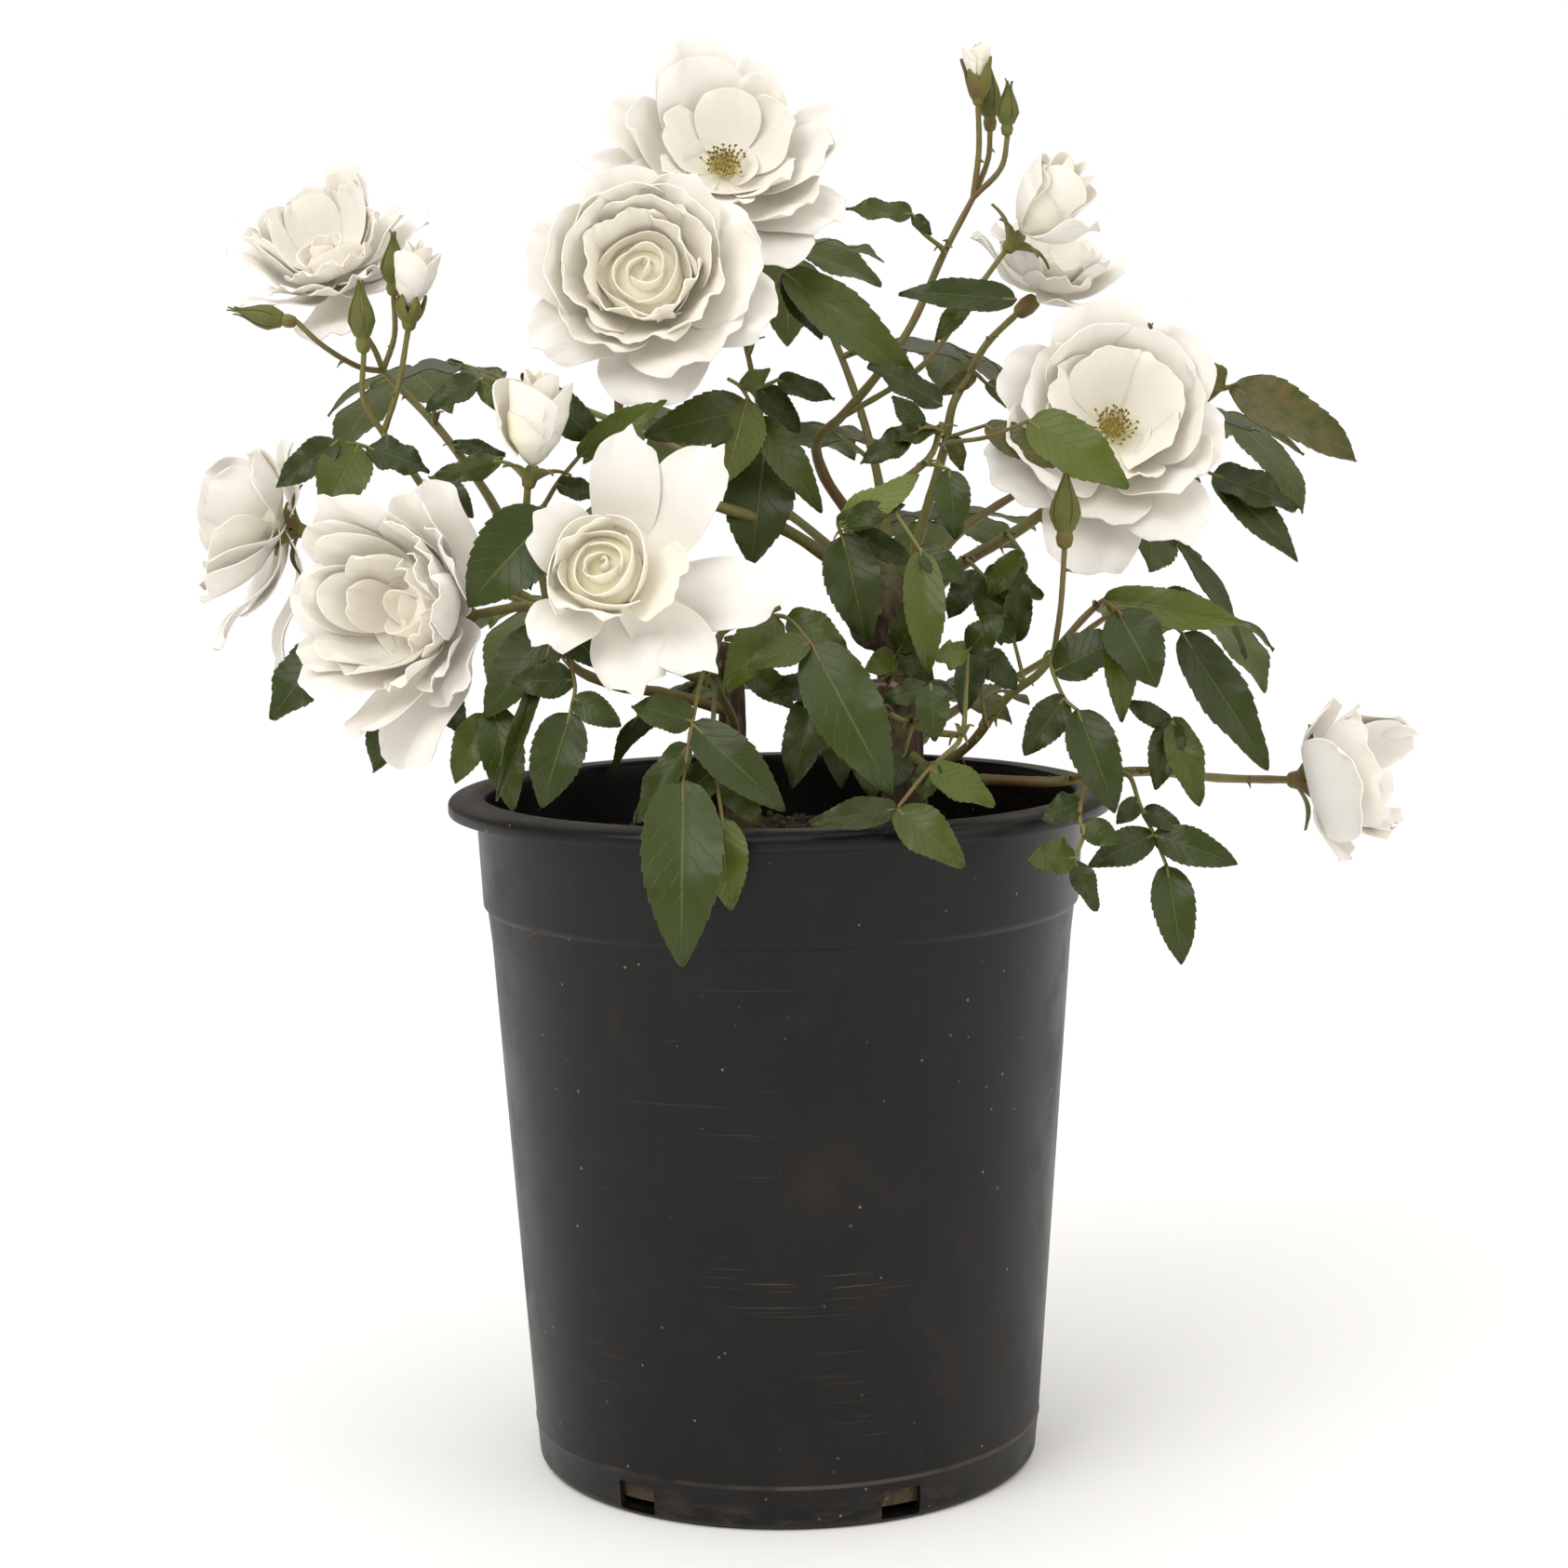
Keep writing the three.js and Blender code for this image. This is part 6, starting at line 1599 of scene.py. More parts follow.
class ROSE_OT_trunks(Operator):
    """Build the woody trunks with their knobs and cut stubs"""

    bl_idname = "rose.trunks"
    bl_label = "Trunks"

    VOXEL = 1.1 * MM
    ROUGHNESS = 0.7 * MM
    KNOB_SHARE = 0.9
    STUB = (4.6, 3.8)

    def add_branch(self, bundle, places, steps, radii):
        bundle.add(smooth_path(seen(places), steps), np.linspace(*radii, steps + 1) * MM)

    def execute(self, context):
        bark = bark_finish(context.scene.rose_wood)
        for name, wood in WOODS.items():
            bundle = TubeBundle([bark])
            self.add_branch(bundle, wood["path"], 26, wood["radii"])
            for stub in wood["stubs"]:
                self.add_branch(bundle, stub, 4, self.STUB)
            parts = [bundle.mesh()]
            for across, down, depth, size in wood["knobs"]:
                deselect()
                bpy.ops.mesh.primitive_ico_sphere_add(
                    subdivisions=3, radius=self.KNOB_SHARE * size * MM, location=seen([across, down, depth])
                )
                parts.append(context.object)
            piece = joined(f"{name}_wood", parts)
            apply_modifier(piece, "REMESH", mode="VOXEL", voxel_size=self.VOXEL)
            normals = [vertex.normal.copy() for vertex in piece.data.vertices]
            for vertex, normal in zip(piece.data.vertices, normals):
                spot = vertex.co
                ridge = noise.noise(Vector((spot.x * 300, spot.y * 300, spot.z * 45)))
                lump = noise.noise(spot * 90)
                vertex.co = spot + normal * self.ROUGHNESS * (0.7 * ridge + 0.6 * lump - 0.4)
            piece.data.materials.clear()
            piece.data.materials.append(bark)
            smooth(piece)
            placed(piece, "bark", name)
        return {"FINISHED"}


def node_tree_of(name):
    """A search tree over a CAD node's faces, to see how near a tried leaf lies to the solid one."""
    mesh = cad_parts[name].data
    return BVHTree.FromPolygons([v.co for v in mesh.vertices], [tuple(f.vertices) for f in mesh.polygons])


NEAR_STEP = 0.4 * MM


def distance_to(tree, frames):
    """Mean distance of a few points of leaflets from a CAD node, in steps of NEAR_STEP."""
    spots = ((0.3, 0.0), (0.5, 0.5), (0.5, -0.5), (0.8, 0.0))
    distances = [tree.find_nearest(Vector(frame.at(*spot)))[3] for frame in frames for spot in spots]
    return round(sum(distances) / len(distances) / NEAR_STEP)


def nearest_try(tree, tries):
    """The first of the tried leaves that lies nearest to the solid one; each ends in its leaflets' frames."""
    return min(tries, key=lambda tried: distance_to(tree, tried[-1]))


def sepal_points(sheet, base, tip, face, width, rng):
    """Points of a narrow sepal that tapers to a thread."""
    along = tip - base
    length = np.linalg.norm(along)
    side = unit(np.cross(along, face))
    upper = unit(np.cross(side, along))
    share, v = sheet.share, sheet.across
    outline = (1 - share) ** 0.75 * (0.55 + 1.6 * share * (1 - share) * 1.2)
    across = v * outline * width / 2
    arch = 0.12 * length * np.sin(np.pi * share) + 0.12 * width * v**2
    curl = -rng.uniform(0.0, 0.14) * length * np.clip(share - 0.5, 0, 1) ** 2 * 4
    return base + along * share[:, None] + side * across[:, None] + upper * (arch + curl)[:, None]


class StemBuilder:
    """Builds one leafy stem: canes, leaf stalks, leaflets, hips, buds and sepals."""

    HIP_MOST = 3.6 * MM
    SLIMMER = 0.88
    YOUNG_SEPAL = 15
    HIP = [(0, 0), (0.25, 0.8), (0.6, 1), (0.88, 0.9), (1, 0.8), (1, 0)]
    BUD = [
        (0, 0), (0.06, 0.5), (0.16, 0.62), (0.24, 0.5), (0.3, 0.64), (0.45, 1), (0.6, 0.84), (0.8, 0.38),
        (0.93, 0.13), (1, 0.02),
    ]
    BUD_SEPAL_START = 0.26
    SEPALS = 5
    SEPAL_WIDTH = 7 * MM
    SEPAL_LEANS = np.radians([70, 85, 100, 115, 130, 145])
    SNUG_WIDTH = 7.5 * MM
    SNUG_BULGE = 3.2 * MM
    PRICKLE_RADII = np.array([0.9, 0.45, 0.05]) * MM

    def __init__(self, context, name, leaf_sheet, sepal_sheet, finishes, seed):
        self.name = name
        self.leaf = context.scene.rose_leaf
        self.wood = context.scene.rose_wood
        self.leaf_sheet = leaf_sheet
        self.sepal_sheet = sepal_sheet
        self.finishes = finishes
        self.rng = random.Random(seed)
        self.tree = node_tree_of(name)
        self.blades = []
        self.rounds = []
        self.tubes = TubeBundle([finishes["cane"], finishes["sepal"]])

    def add_cane(self, points, radii, prickles):
        count = max(12, 5 * len(points))
        path = smooth_path(points, count)
        widths = self.SLIMMER * np.linspace(radii[0], radii[1], count + 1) * MM
        swell = 1 + 0.1 * np.sin(np.linspace(0, 9 * math.pi, count + 1)) ** 8
        self.tubes.add(path, widths * swell)
        for _ in range(prickles):
            spot = self.rng.randrange(3, count - 2)
            along = unit(path[spot + 1] - path[spot])
            out = unit(np.cross(along, [self.rng.uniform(-1, 1), self.rng.uniform(-1, 1), 0.3]))
            foot = path[spot] + out * widths[spot] * 0.6
            length = self.wood.prickle * self.rng.uniform(0.6, 1)
            tip = foot + out * length - np.array([0, 0, 0.35 * length])
            middle = (foot + tip) / 2 + np.array([0, 0, 0.08 * length])
            self.tubes.add([foot, middle, tip], self.PRICKLE_RADII)

    def add_hip(self, foot, top):
        start, end = seen(foot), seen(top)
        radius = min(0.42 * np.linalg.norm(end - start), self.HIP_MOST)
        profile = [(share, width * radius) for share, width in self.HIP]
        self.rounds.append(turned("hip", start, end, profile, 16, self.finishes["sepal"]))

    def add_bud(self, foot, top, width):
        start, end = seen(foot), seen(top)
        half = width * PIXEL * 0.98
        profile = [(share, size * half) for share, size in self.BUD]
        seed = self.rng.uniform(0, 6)
        self.rounds.append(turned("bud", start, end, profile, 20, self.finishes["sepal"], 0.035, seed))
        self.wrap_bud(start, end, profile)

    def wrap_bud(self, start, end, profile):
        """Sepals that lie on a closed bud and end in a thin tip."""
        axis = unit(end - start)
        across = unit(np.cross([0, 1, 0], axis))
        beyond = np.cross(axis, across)
        length = np.linalg.norm(end - start)
        share, v = self.sepal_sheet.share, self.sepal_sheet.across
        for index in range(self.SEPALS):
            top = self.rng.uniform(0.98, 1.08)
            along = self.BUD_SEPAL_START + (top - self.BUD_SEPAL_START) * share
            middle = 2 * math.pi * (index + 0.5) / self.SEPALS
            angle = middle + v * math.radians(37) * (1 - share) ** 0.6
            body = np.interp(along, *zip(*profile))
            flare = self.rng.uniform(0, 1.4) * MM * np.clip((share - 0.75) / 0.25, 0, 1) ** 2
            radius = body * 1.03 + 0.35 * MM - 0.3 * MM * v**2 + flare
            out = across * np.cos(angle)[:, None] + beyond * np.sin(angle)[:, None]
            points = start + axis * (length * along)[:, None] + out * radius[:, None]
            self.add_sepal(points, tone=0.5, young=0.4)

    def add_sheet(self, sheet, points, materials, **attributes):
        self.blades.append(sheet.copy(points, [self.finishes[key] for key in materials], attributes))

    def add_sepal(self, points, tone, young):
        self.add_sheet(self.sepal_sheet, points, ["sepal", "underside"], tone=tone, young=young)

    def add_sepals(self, foot, top, length, snug):
        """Sepals round a hip, each at the lean of its solid one, or clasping a young bud."""
        start, end = seen(foot), seen(top)
        axis = end - start
        ring = start + axis * 0.6
        radius = 0.34 * np.linalg.norm(axis)
        axis = unit(axis)
        across = unit(np.cross([0, 1, 0], axis))
        for index in range(self.SEPALS):
            outward = around(across, axis, 2 * math.pi * (index + 0.25) / self.SEPALS)
            base = ring + outward * radius
            if snug:
                tip = base + (axis + outward * self.rng.uniform(0.05, 0.3)) * length * MM
                points = sepal_points(self.sepal_sheet, base, tip, -outward, self.SNUG_WIDTH, self.rng)
                bulge = self.SNUG_BULGE * np.sin(np.pi * self.sepal_sheet.share) ** 0.8
                points += outward * bulge[:, None]
            else:
                tips = []
                for lean in self.SEPAL_LEANS:
                    run = axis * math.cos(lean) + outward * math.sin(lean)
                    tips.append(base + run * length * MM)
                spots = [Vector(base + (tip - base) * 0.85) for tip in tips]
                gaps = [self.tree.find_nearest(spot)[3] for spot in spots]
                tip = tips[gaps.index(min(gaps))]
                points = sepal_points(self.sepal_sheet, base, tip, axis, self.SEPAL_WIDTH, self.rng)
            self.add_sepal(points, tone=0.5, young=0.3)

    def add_leaflet(self, frame, tip):
        toward = unit(EYE - frame.at(0.5, 0.0)) if tip else np.array([0, 0, 1])
        upper = -toward if tip in UNDERSIDE_TIPS else toward
        points = leaflet_points(self.leaf_sheet, frame, self.leaf, upper, self.rng)
        young = self.rng.uniform(0.75, 1) if tip in BRONZE_TIPS else 0.0
        self.add_sheet(self.leaf_sheet, points, ["leaf", "underside"], tone=self.rng.random(), young=young)

    def leaf_frames(self, start, leaf, bend, size):
        """The stalk and the leaflet frames of a leaf, bent in one of the ways tried in the solids."""
        given, leaflets = leaf
        count = len(given)
        places = [[a, d, z + bend * (index + 1) / count] for index, (a, d, z) in enumerate(given)]
        aside = math.hypot(places[0][0] - start[0], places[0][1] - start[1]) * PIXEL
        steep = abs(places[0][2] - start[2]) * MM > 1.2 * aside + 1.1 * MM
        path = [start] + places
        if not steep and aside < 2 * STALK_HALF * PIXEL:
            places = places[1:]
        if not steep:
            places = [start] + places
        if len(places) == 1:
            across, down, depth = places[0]
            ahead = [leaflets[0][2] - across, leaflets[0][3] - down]
            share = 2 * STALK_HALF / math.hypot(*ahead)
            places.append([across + share * ahead[0], down + share * ahead[1], depth - 1])
        stalk = Stalk(places)
        roots = [stalk.at(stalk.nearest(leaflet[0], leaflet[1])) for leaflet in leaflets]
        return path, [LeafletFrame(leaflet, root, size) for leaflet, root in zip(leaflets, roots)]

    def add_leaf(self, canes, leaf):
        given, leaflets = leaf
        target = seen(given[0])
        starts = [nearest_on(seen(cane), target) for cane in canes]
        start = shown_at(min(starts, key=lambda spot: np.linalg.norm(spot - target)))
        tries = [self.leaf_frames(start, leaf, bend, size) for bend, size in LEAF_BENDS]
        path, frames = nearest_try(self.tree, tries)
        steps = 4 * len(path)
        line = smooth_path(seen(path), steps)
        self.tubes.add(line, np.linspace(1.0, 0.65, steps + 1) * MM)
        for leaflet, frame in zip(leaflets, frames):
            rib = frame.at(np.linspace(0, 0.12, 3), np.zeros(3))
            self.tubes.add(rib, [0.7 * MM, 0.6 * MM, 0.45 * MM])
            self.add_leaflet(frame, tuple(leaflet[2:4]))
        self.add_stipules(line)

    def add_stipules(self, line):
        """A pair of narrow wings at the foot of a leaf's stalk."""
        along = unit(line[min(3, len(line) - 1)] - line[0])
        side = unit(np.cross(along, [0, 0, 1]))
        for hand in (-1, 1):
            base = line[0] + side * hand * 0.4 * MM
            tip = line[0] + along * 9 * MM + side * hand * 3.2 * MM
            points = sepal_points(self.sepal_sheet, base, tip, [0, 0, 1], 2.4 * MM, self.rng)
            self.add_sepal(points, tone=0.6, young=0.2)

    def finish(self):
        """Give the blades their thickness and join everything into one piece."""
        blades = joined("blades", self.blades)
        apply_modifier(blades, "SOLIDIFY", thickness=self.leaf.thickness, offset=0, material_offset=1)
        piece = joined(f"{self.name}_foliage", [blades, self.tubes.mesh(), *self.rounds])
        smooth(piece, 60)
        placed(piece, "foliage", self.name)


def stem_finishes(context):
    """Materials that the leafy stems share."""
    leaf, wood = context.scene.rose_leaf, context.scene.rose_wood
    return {
        "leaf": leaf_finish(leaf),
        "underside": underside_finish(leaf),
        "sepal": sepal_finish(leaf, wood),
        "cane": cane_finish(wood),
    }


# Opening buds that their sepals still clasp.
CLASPED = ("opening_bud_left", "opening_bud_top")


class ROSE_OT_stems(Operator):
    """Build the leafy stems with their hips, sepals and closed buds"""

    bl_idname = "rose.stems"
    bl_label = "Leafy stems"

    TWIG_RADII = (1.3, 1.1)
    BACK_RADII = (2.3, 1.3)
    STALK_REACH = 62 * MM
    STALK_RINGS = 12
    PAIRS = (20 * MM, 49 * MM)

    def execute(self, context):
        leaf_sheet = Sheet(3 * context.scene.rose_leaf.teeth, 8)
        sepal_sheet = Sheet(12, 4)
        finishes = stem_finishes(context)
        for index, (name, stem) in enumerate(STEMS.items()):
            builder = StemBuilder(context, name, leaf_sheet, sepal_sheet, finishes, 100 + index)
            builder.add_cane(seen(stem["cane"]), stem["radii"], 5)
            for twig in stem["twigs"]:
                builder.add_cane(seen(twig), self.TWIG_RADII, 1)
            for foot, top, *sepal in stem["hips"]:
                builder.add_hip(foot, top)
                snug = self.is_snug(top)
                if sepal or snug:
                    builder.add_sepals(foot, top, sepal[0] if sepal else builder.YOUNG_SEPAL, snug)
            for bud in stem["buds"]:
                builder.add_bud(*bud)
            for leaf in stem["leaves"]:
                builder.add_leaf([stem["cane"], *stem["twigs"]], leaf)
            builder.finish()
        for index, (name, stem) in enumerate(BACK_STEMS.items()):
            builder = StemBuilder(context, name, leaf_sheet, sepal_sheet, finishes, 200 + index)
            cane = np.vstack([seen([stem["start"]]), np.array(stem["cane"]) * MM])
            builder.add_cane(cane, self.BACK_RADII, 4)
            for order in range(stem["leaves"]):
                self.add_back_leaf(builder, cane, stem["leaves"], order)
            builder.finish()
        leaf_sheet.remove()
        sepal_sheet.remove()
        return {"FINISHED"}

    def is_snug(self, top):
        """Whether a hip carries a bud whose sepals still clasp it."""
        return any(np.linalg.norm(seen(BLOOMS[name]["base"]) - seen(top)) < 12 * MM for name in CLASPED)

    def back_frames(self, root, outward, tilt, size):
        """Frames of a back leaf's five leaflets."""
        frames = [BackLeafletFrame(root, outward, tilt, size, (59 * MM, 0), (104 * MM, 0), 13 * MM)]
        for along in self.PAIRS:
            for hand in (-1, 1):
                tip = (along + 15.5 * MM, hand * 38 * MM)
                frames.append(BackLeafletFrame(root, outward, tilt, size, (along, 0), tip, 12 * MM))
        return frames

    def add_back_leaf(self, builder, cane, leaves, order):
        share = 0.36 + 0.64 * order / (leaves - 1)
        root = nearest_on(cane, smooth_path(cane, 100)[round(100 * share)])
        hand = 1 if order % 2 == 0 else -1
        swing = 0 if order == leaves - 1 else math.radians(hand * (66 - 10 * order))
        outward = unit([root[0] - 10 * MM, root[1] + 10 * MM, 0])
        outward = around(outward, np.array([0, 0, 1]), swing)
        tries = [[self.back_frames(root, outward, tilt, size)] for tilt, size in BACK_BENDS]
        frames = nearest_try(builder.tree, tries)[-1]
        along = np.linspace(0, self.STALK_REACH * frames[0].size, self.STALK_RINGS)
        line = back_leaf_point(frames[0], along, np.zeros(self.STALK_RINGS))
        builder.tubes.add(line, np.linspace(1.0, 0.6, self.STALK_RINGS) * MM)
        for frame in frames:
            builder.add_leaflet(frame, None)
        builder.add_stipules(line)


def core_height(radius):
    """Height of the small core in the solids that a bloom's petals stand round."""
    return 5 * MM + 0.3 * radius


class PetalFrame:
    """Where a petal lies: from its root to its tip, its inner side turned to face."""

    def __init__(self, root, tip, face, width, arch, sway, cup):
        self.root = root
        self.run = tip - root
        self.size = np.linalg.norm(self.run)
        self.side = unit(np.cross(self.run, face))
        self.upper = unit(np.cross(self.side, self.run))
        self.width = width
        self.bend = (arch, sway, cup)

    def at(self, share, across, lift):
        arch, sway, cup = self.bend
        bend = arch * np.sin(np.pi * share) + sway * np.sin(2 * np.pi * share)
        rise = bend * self.size + cup * across**2 * self.width / 2 + lift
        return (
            self.root
            + self.run * share[:, None]
            + self.side * (across * self.width / 2)[:, None]
            + self.upper * rise[:, None]
        )


class BloomBuilder:
    """Builds one bloom from its outer petals inwards."""

    CORE_SHARE = 0.55
    LAYER = 2.6 * MM
    WIDEST = 0.6
    CLAW = 0.3
    ROUND = 0.45
    OUTER_WIDTH = 0.92
    OUTER_ARCH = -0.12
    OUTER_POINTS = (0, 0, 0.05)

    def __init__(self, context, name, bloom, sheet, material):
        self.name = name
        self.bloom = bloom
        self.inner = INNER_PETALS[name]
        self.settings = context.scene.rose_petal
        self.sheet = sheet
        self.material = material
        self.rng = random.Random(name)
        self.axis = unit(bloom["faces"])
        self.base = seen(bloom["base"]) + self.axis * GAP
        heart = bloom["heart"]
        self.core = heart["radius"] * self.CORE_SHARE * MM
        self.core_height = core_height(self.core)
        self.across = unit(np.cross([0, 0, 1], self.axis))
        self.petals = []
        self.reaches = []

    def outward_of(self, point):
        out = point - self.base
        return unit(out - self.axis * np.dot(out, self.axis))

    def add(self, points, cream):
        self.petals.append(self.sheet.copy(points, [self.material], {"cream": cream}))

    def petal_points(self, frame, curl, point=0.0):
        """Points of a broad petal with a round, ruffled and slightly rolled rim."""
        u, v = self.sheet.share, self.sheet.across
        top = np.clip((u - self.WIDEST) / (1 - self.WIDEST), 0, 1)
        grown = self.CLAW + (1 - self.CLAW) * np.sin(np.pi / 2 * np.clip(u / self.WIDEST, 0, 1))
        half = np.where(top > 0, np.sqrt(1 - self.ROUND * top**2), grown)
        beyond = self.WIDEST + (1 - self.WIDEST) * top * np.sqrt(1 - self.ROUND * v**2)
        share = np.where(top > 0, beyond, u)
        share = share * (0.99 + point * np.exp(-((v / 0.2) ** 2)) * top**2)
        waves = self.rng.uniform(1.0, 1.9) * math.pi * v
        phase = self.rng.uniform(0, 2 * math.pi)
        rim = np.sin(waves + phase) + 0.35 * np.sin(2.6 * waves + 2 * phase)
        sides = np.sin(2.3 * math.pi * u + phase) * np.abs(v) ** 3
        ruffle = self.settings.ruffle * (rim * u**3 + 0.7 * sides * u)
        crumple = 0.55 * MM * np.sin(5 * u + 3 * v + phase) * np.sin(4 * v - 2 * phase) * u
        rolled = -curl * frame.size * top**2
        edge = -0.5 * curl * frame.width * np.clip((np.abs(v) - 0.5) / 0.5, 0, 1) ** 2 * u**2
        return frame.at(share, v * half, ruffle + crumple + rolled + edge)

    def add_outer(self):
        """The outer petals, whose tips are given one by one."""
        widen = self.inner.get("outer", self.OUTER_WIDTH)
        arch = self.inner.get("arch", self.OUTER_ARCH)
        points = self.inner.get("points", self.OUTER_POINTS)
        for index, (across, down, depth, width) in enumerate(self.bloom["petals"]):
            lift = self.LAYER * (index % 2)
            tip = seen([across, down, depth]) + 1.5 * lift * self.axis
            outward = self.outward_of(tip)
            root = self.base + outward * self.core * 0.2 + self.axis * (1.6 * MM + lift)
            frame = PetalFrame(root, tip, self.axis - outward, width * PIXEL * widen, arch, -0.05, 0.1)
            point = self.rng.choice(points)
            self.add(self.petal_points(frame, self.rng.uniform(0.02, 0.08), point), 0.0)
            out = tip - self.base
            height = np.dot(out, self.axis)
            radius = np.linalg.norm(out - self.axis * height)
            self.reaches.append((outward, radius, height, width * PIXEL))

    def reach_towards(self, outward):
        """Radius, height and width of the outer petals in a direction, blended from its neighbours."""
        weights = np.array([1 / (1.06 - np.dot(outward, near[0])) ** 2 for near in self.reaches])
        weights /= weights.sum()
        return [float(np.dot(weights, [near[k] for near in self.reaches])) for k in (1, 2, 3)]

    def add_rings(self, rings, cream):
        """Inner rings of petals, each shorter and more upright than the last."""
        for order, (count, reach, rise, width) in enumerate(rings):
            for index in range(count):
                stagger = 0.5 * (order % 2) + self.rng.uniform(-0.14, 0.14)
                outward = around(self.across, self.axis, 2 * math.pi * (index + stagger) / count + order)
                radius, height, wide = self.reach_towards(outward)
                radius *= reach * self.rng.uniform(0.92, 1.06)
                foot = outward * self.core * (0.45 + 0.2 * order)
                root = self.base + foot + self.axis * (3 * MM + self.LAYER * (1 + 0.6 * order))
                top = max(height * reach, 0) + rise * radius / reach + self.LAYER
                tip = self.base + outward * radius + self.axis * top
                wide *= width * self.rng.uniform(1.0, 1.2)
                frame = PetalFrame(root, tip, self.axis - outward, wide, -0.15, -0.03, 0.24)
                shade = cream * (order + 1) / (len(rings) + 2)
                self.add(self.petal_points(frame, self.rng.uniform(-0.05, 0.06)), shade)

    def add_heart(self, cups, cream):
        """Cupped petals wrapped round the heart in a spiral, wider apart where stamens show."""
        heart = self.bloom["heart"]
        is_open = self.bloom["stamens"]
        foot = self.base + self.axis * self.core_height * 0.6
        height = heart["height"] * MM - self.core_height * 0.6
        beyond = np.cross(self.axis, self.across)
        u, v = self.sheet.share, self.sheet.across
        side = np.abs(v)
        for index in range(cups):
            out = (index + 1) / cups
            wrap = 120 if is_open else 215 - 75 * out
            sweep = math.radians(wrap) * self.rng.uniform(0.92, 1.08)
            turn = GOLDEN * index + sweep * v / 2
            phase = self.rng.uniform(0, 6)
            if is_open:
                swell = 0.6 + 0.4 * out
                reach = np.interp(u, [0, 0.3, 0.7, 1], [0.45, 0.9, 1.25, 1.5])
            else:
                swell = out**0.85
                lean = 1 + (0.34 * out + 0.03) * np.clip(u - 0.7, 0, 1) * 3.3 * (0.4 + 0.6 * side)
                reach = np.interp(u, [0, 0.25, 0.55, 0.8, 1], [0.42, 0.78, 1.0, 0.97, 0.86]) * lean
            radius = heart["radius"] * MM * swell * reach * (1 + 0.16 * v * (1 - 0.4 * out))
            round_top = 1 - 0.3 * side**2.4 + 0.03 * np.sin(3.4 * v + phase)
            rise = height * (1.02 - 0.22 * out) * (0.62 if is_open else 1) * u * round_top
            ripple = 0.6 * self.settings.ruffle * np.sin(3.5 * v + phase) * u**3
            outward = self.across * np.cos(turn)[:, None] + beyond * np.sin(turn)[:, None]
            points = foot + self.axis * rise[:, None] + outward * (radius + ripple)[:, None]
            self.add(points, cream * (1 - 0.45 * out) * (1 - 0.35 * u))

    def finish(self):
        """The petals' thickness, and one piece of them all with the core that fills the heart."""
        whole = joined("petals", self.petals)
        apply_modifier(whole, "SOLIDIFY", thickness=self.settings.thickness, offset=0)
        heart = self.bloom["heart"]
        if self.bloom["stamens"]:
            height, radius = self.core_height, self.core
        else:
            height, radius = 0.74 * heart["height"] * MM, 0.8 * heart["radius"] * MM
        profile = [(0, 0), (0.1, 0.5 * self.core), (0.4, 0.9 * radius), (0.7, radius)]
        profile += [(0.9, 0.72 * radius), (1, 0)]
        core = turned("core", self.base, self.base + self.axis * height, profile, 20, self.material)
        shade = core.data.attributes.new("cream", "FLOAT", "POINT")
        shade.data.foreach_set("value", [self.inner["cream"]] * len(core.data.vertices))
        piece = joined(f"{self.name}_petals", [whole, core])
        smooth(piece, 70)
        placed(piece, "petals", self.name)


class ROSE_OT_blooms(Operator):
    """Build the blooms and opening buds petal by petal"""

    bl_idname = "rose.blooms"
    bl_label = "Blooms"

    def execute(self, context):
        material = petal_finish(context.scene.rose_petal)
        sheet = Sheet(14, 14)
        for name, bloom in BLOOMS.items():
            inner = INNER_PETALS[name]
            builder = BloomBuilder(context, name, bloom, sheet, material)
            builder.add_outer()
            builder.add_rings(inner["rings"], inner["cream"])
            builder.add_heart(inner["cups"], inner["cream"])
            builder.finish()
        sheet.remove()
        return {"FINISHED"}


class ROSE_OT_stamens(Operator):
    """Build the stamens of the open blooms"""

    bl_idname = "rose.stamens"
    bl_label = "Stamens"

    COUNT = 60
    LENGTH = 9.5 * MM
    RADII = (0.28, 0.2)
    ANTHER_HALF = 0.9 * MM
    ANTHER = [(0, 0), (0.5, 0.55 * MM), (1, 0)]
    DISC = [(0, 0), (0.2, 2.6 * MM), (0.7, 2.8 * MM), (1, 0)]
    DISC_HEIGHT = 2 * MM

    def execute(self, context):
        settings = context.scene.rose_petal
        filament = grain_finish("filament_fine", settings.stamen, 900)
        anther = grain_finish("anther_fine", settings.anther, 1600)
        for name, bloom in BLOOMS.items():
            if not bloom["stamens"]:
                continue
            rng = random.Random(name)
            axis = unit(bloom["faces"])
            core = bloom["heart"]["radius"] * BloomBuilder.CORE_SHARE * MM
            foot = seen(bloom["base"]) + axis * (core_height(core) + 2 * GAP)
            across = unit(np.cross([0, 0, 1], axis))
            bundle = TubeBundle([filament])
            heads = []
            for index in range(self.COUNT):
                outward = around(across, axis, GOLDEN * index)
                spread = math.sqrt((index + 0.5) / self.COUNT)
                root = foot + axis * 0.5 * MM + outward * spread * 2.6 * MM
                length = self.LENGTH * (1 - 0.25 * spread) * rng.uniform(0.8, 1)
                tip = foot + axis * length + outward * spread * rng.uniform(5.5, 9.5) * MM
                middle = (root + tip) / 2 + outward * 0.6 * MM
                bundle.add(smooth_path([root, middle, tip], 6), np.linspace(*self.RADII, 7) * MM)
                half = around(across, axis, rng.uniform(0, 6)) * self.ANTHER_HALF
                heads.append(turned("anther", tip - half, tip + half, self.ANTHER, 6, anther))
            disc = turned("disc", foot, foot + axis * self.DISC_HEIGHT, self.DISC, 16, filament)
            piece = joined(f"{name}_stamen_tuft", [bundle.mesh(), disc, *heads])
            smooth(piece)
            placed(piece, "stamens", f"{name}_stamens")
        return {"FINISHED"}


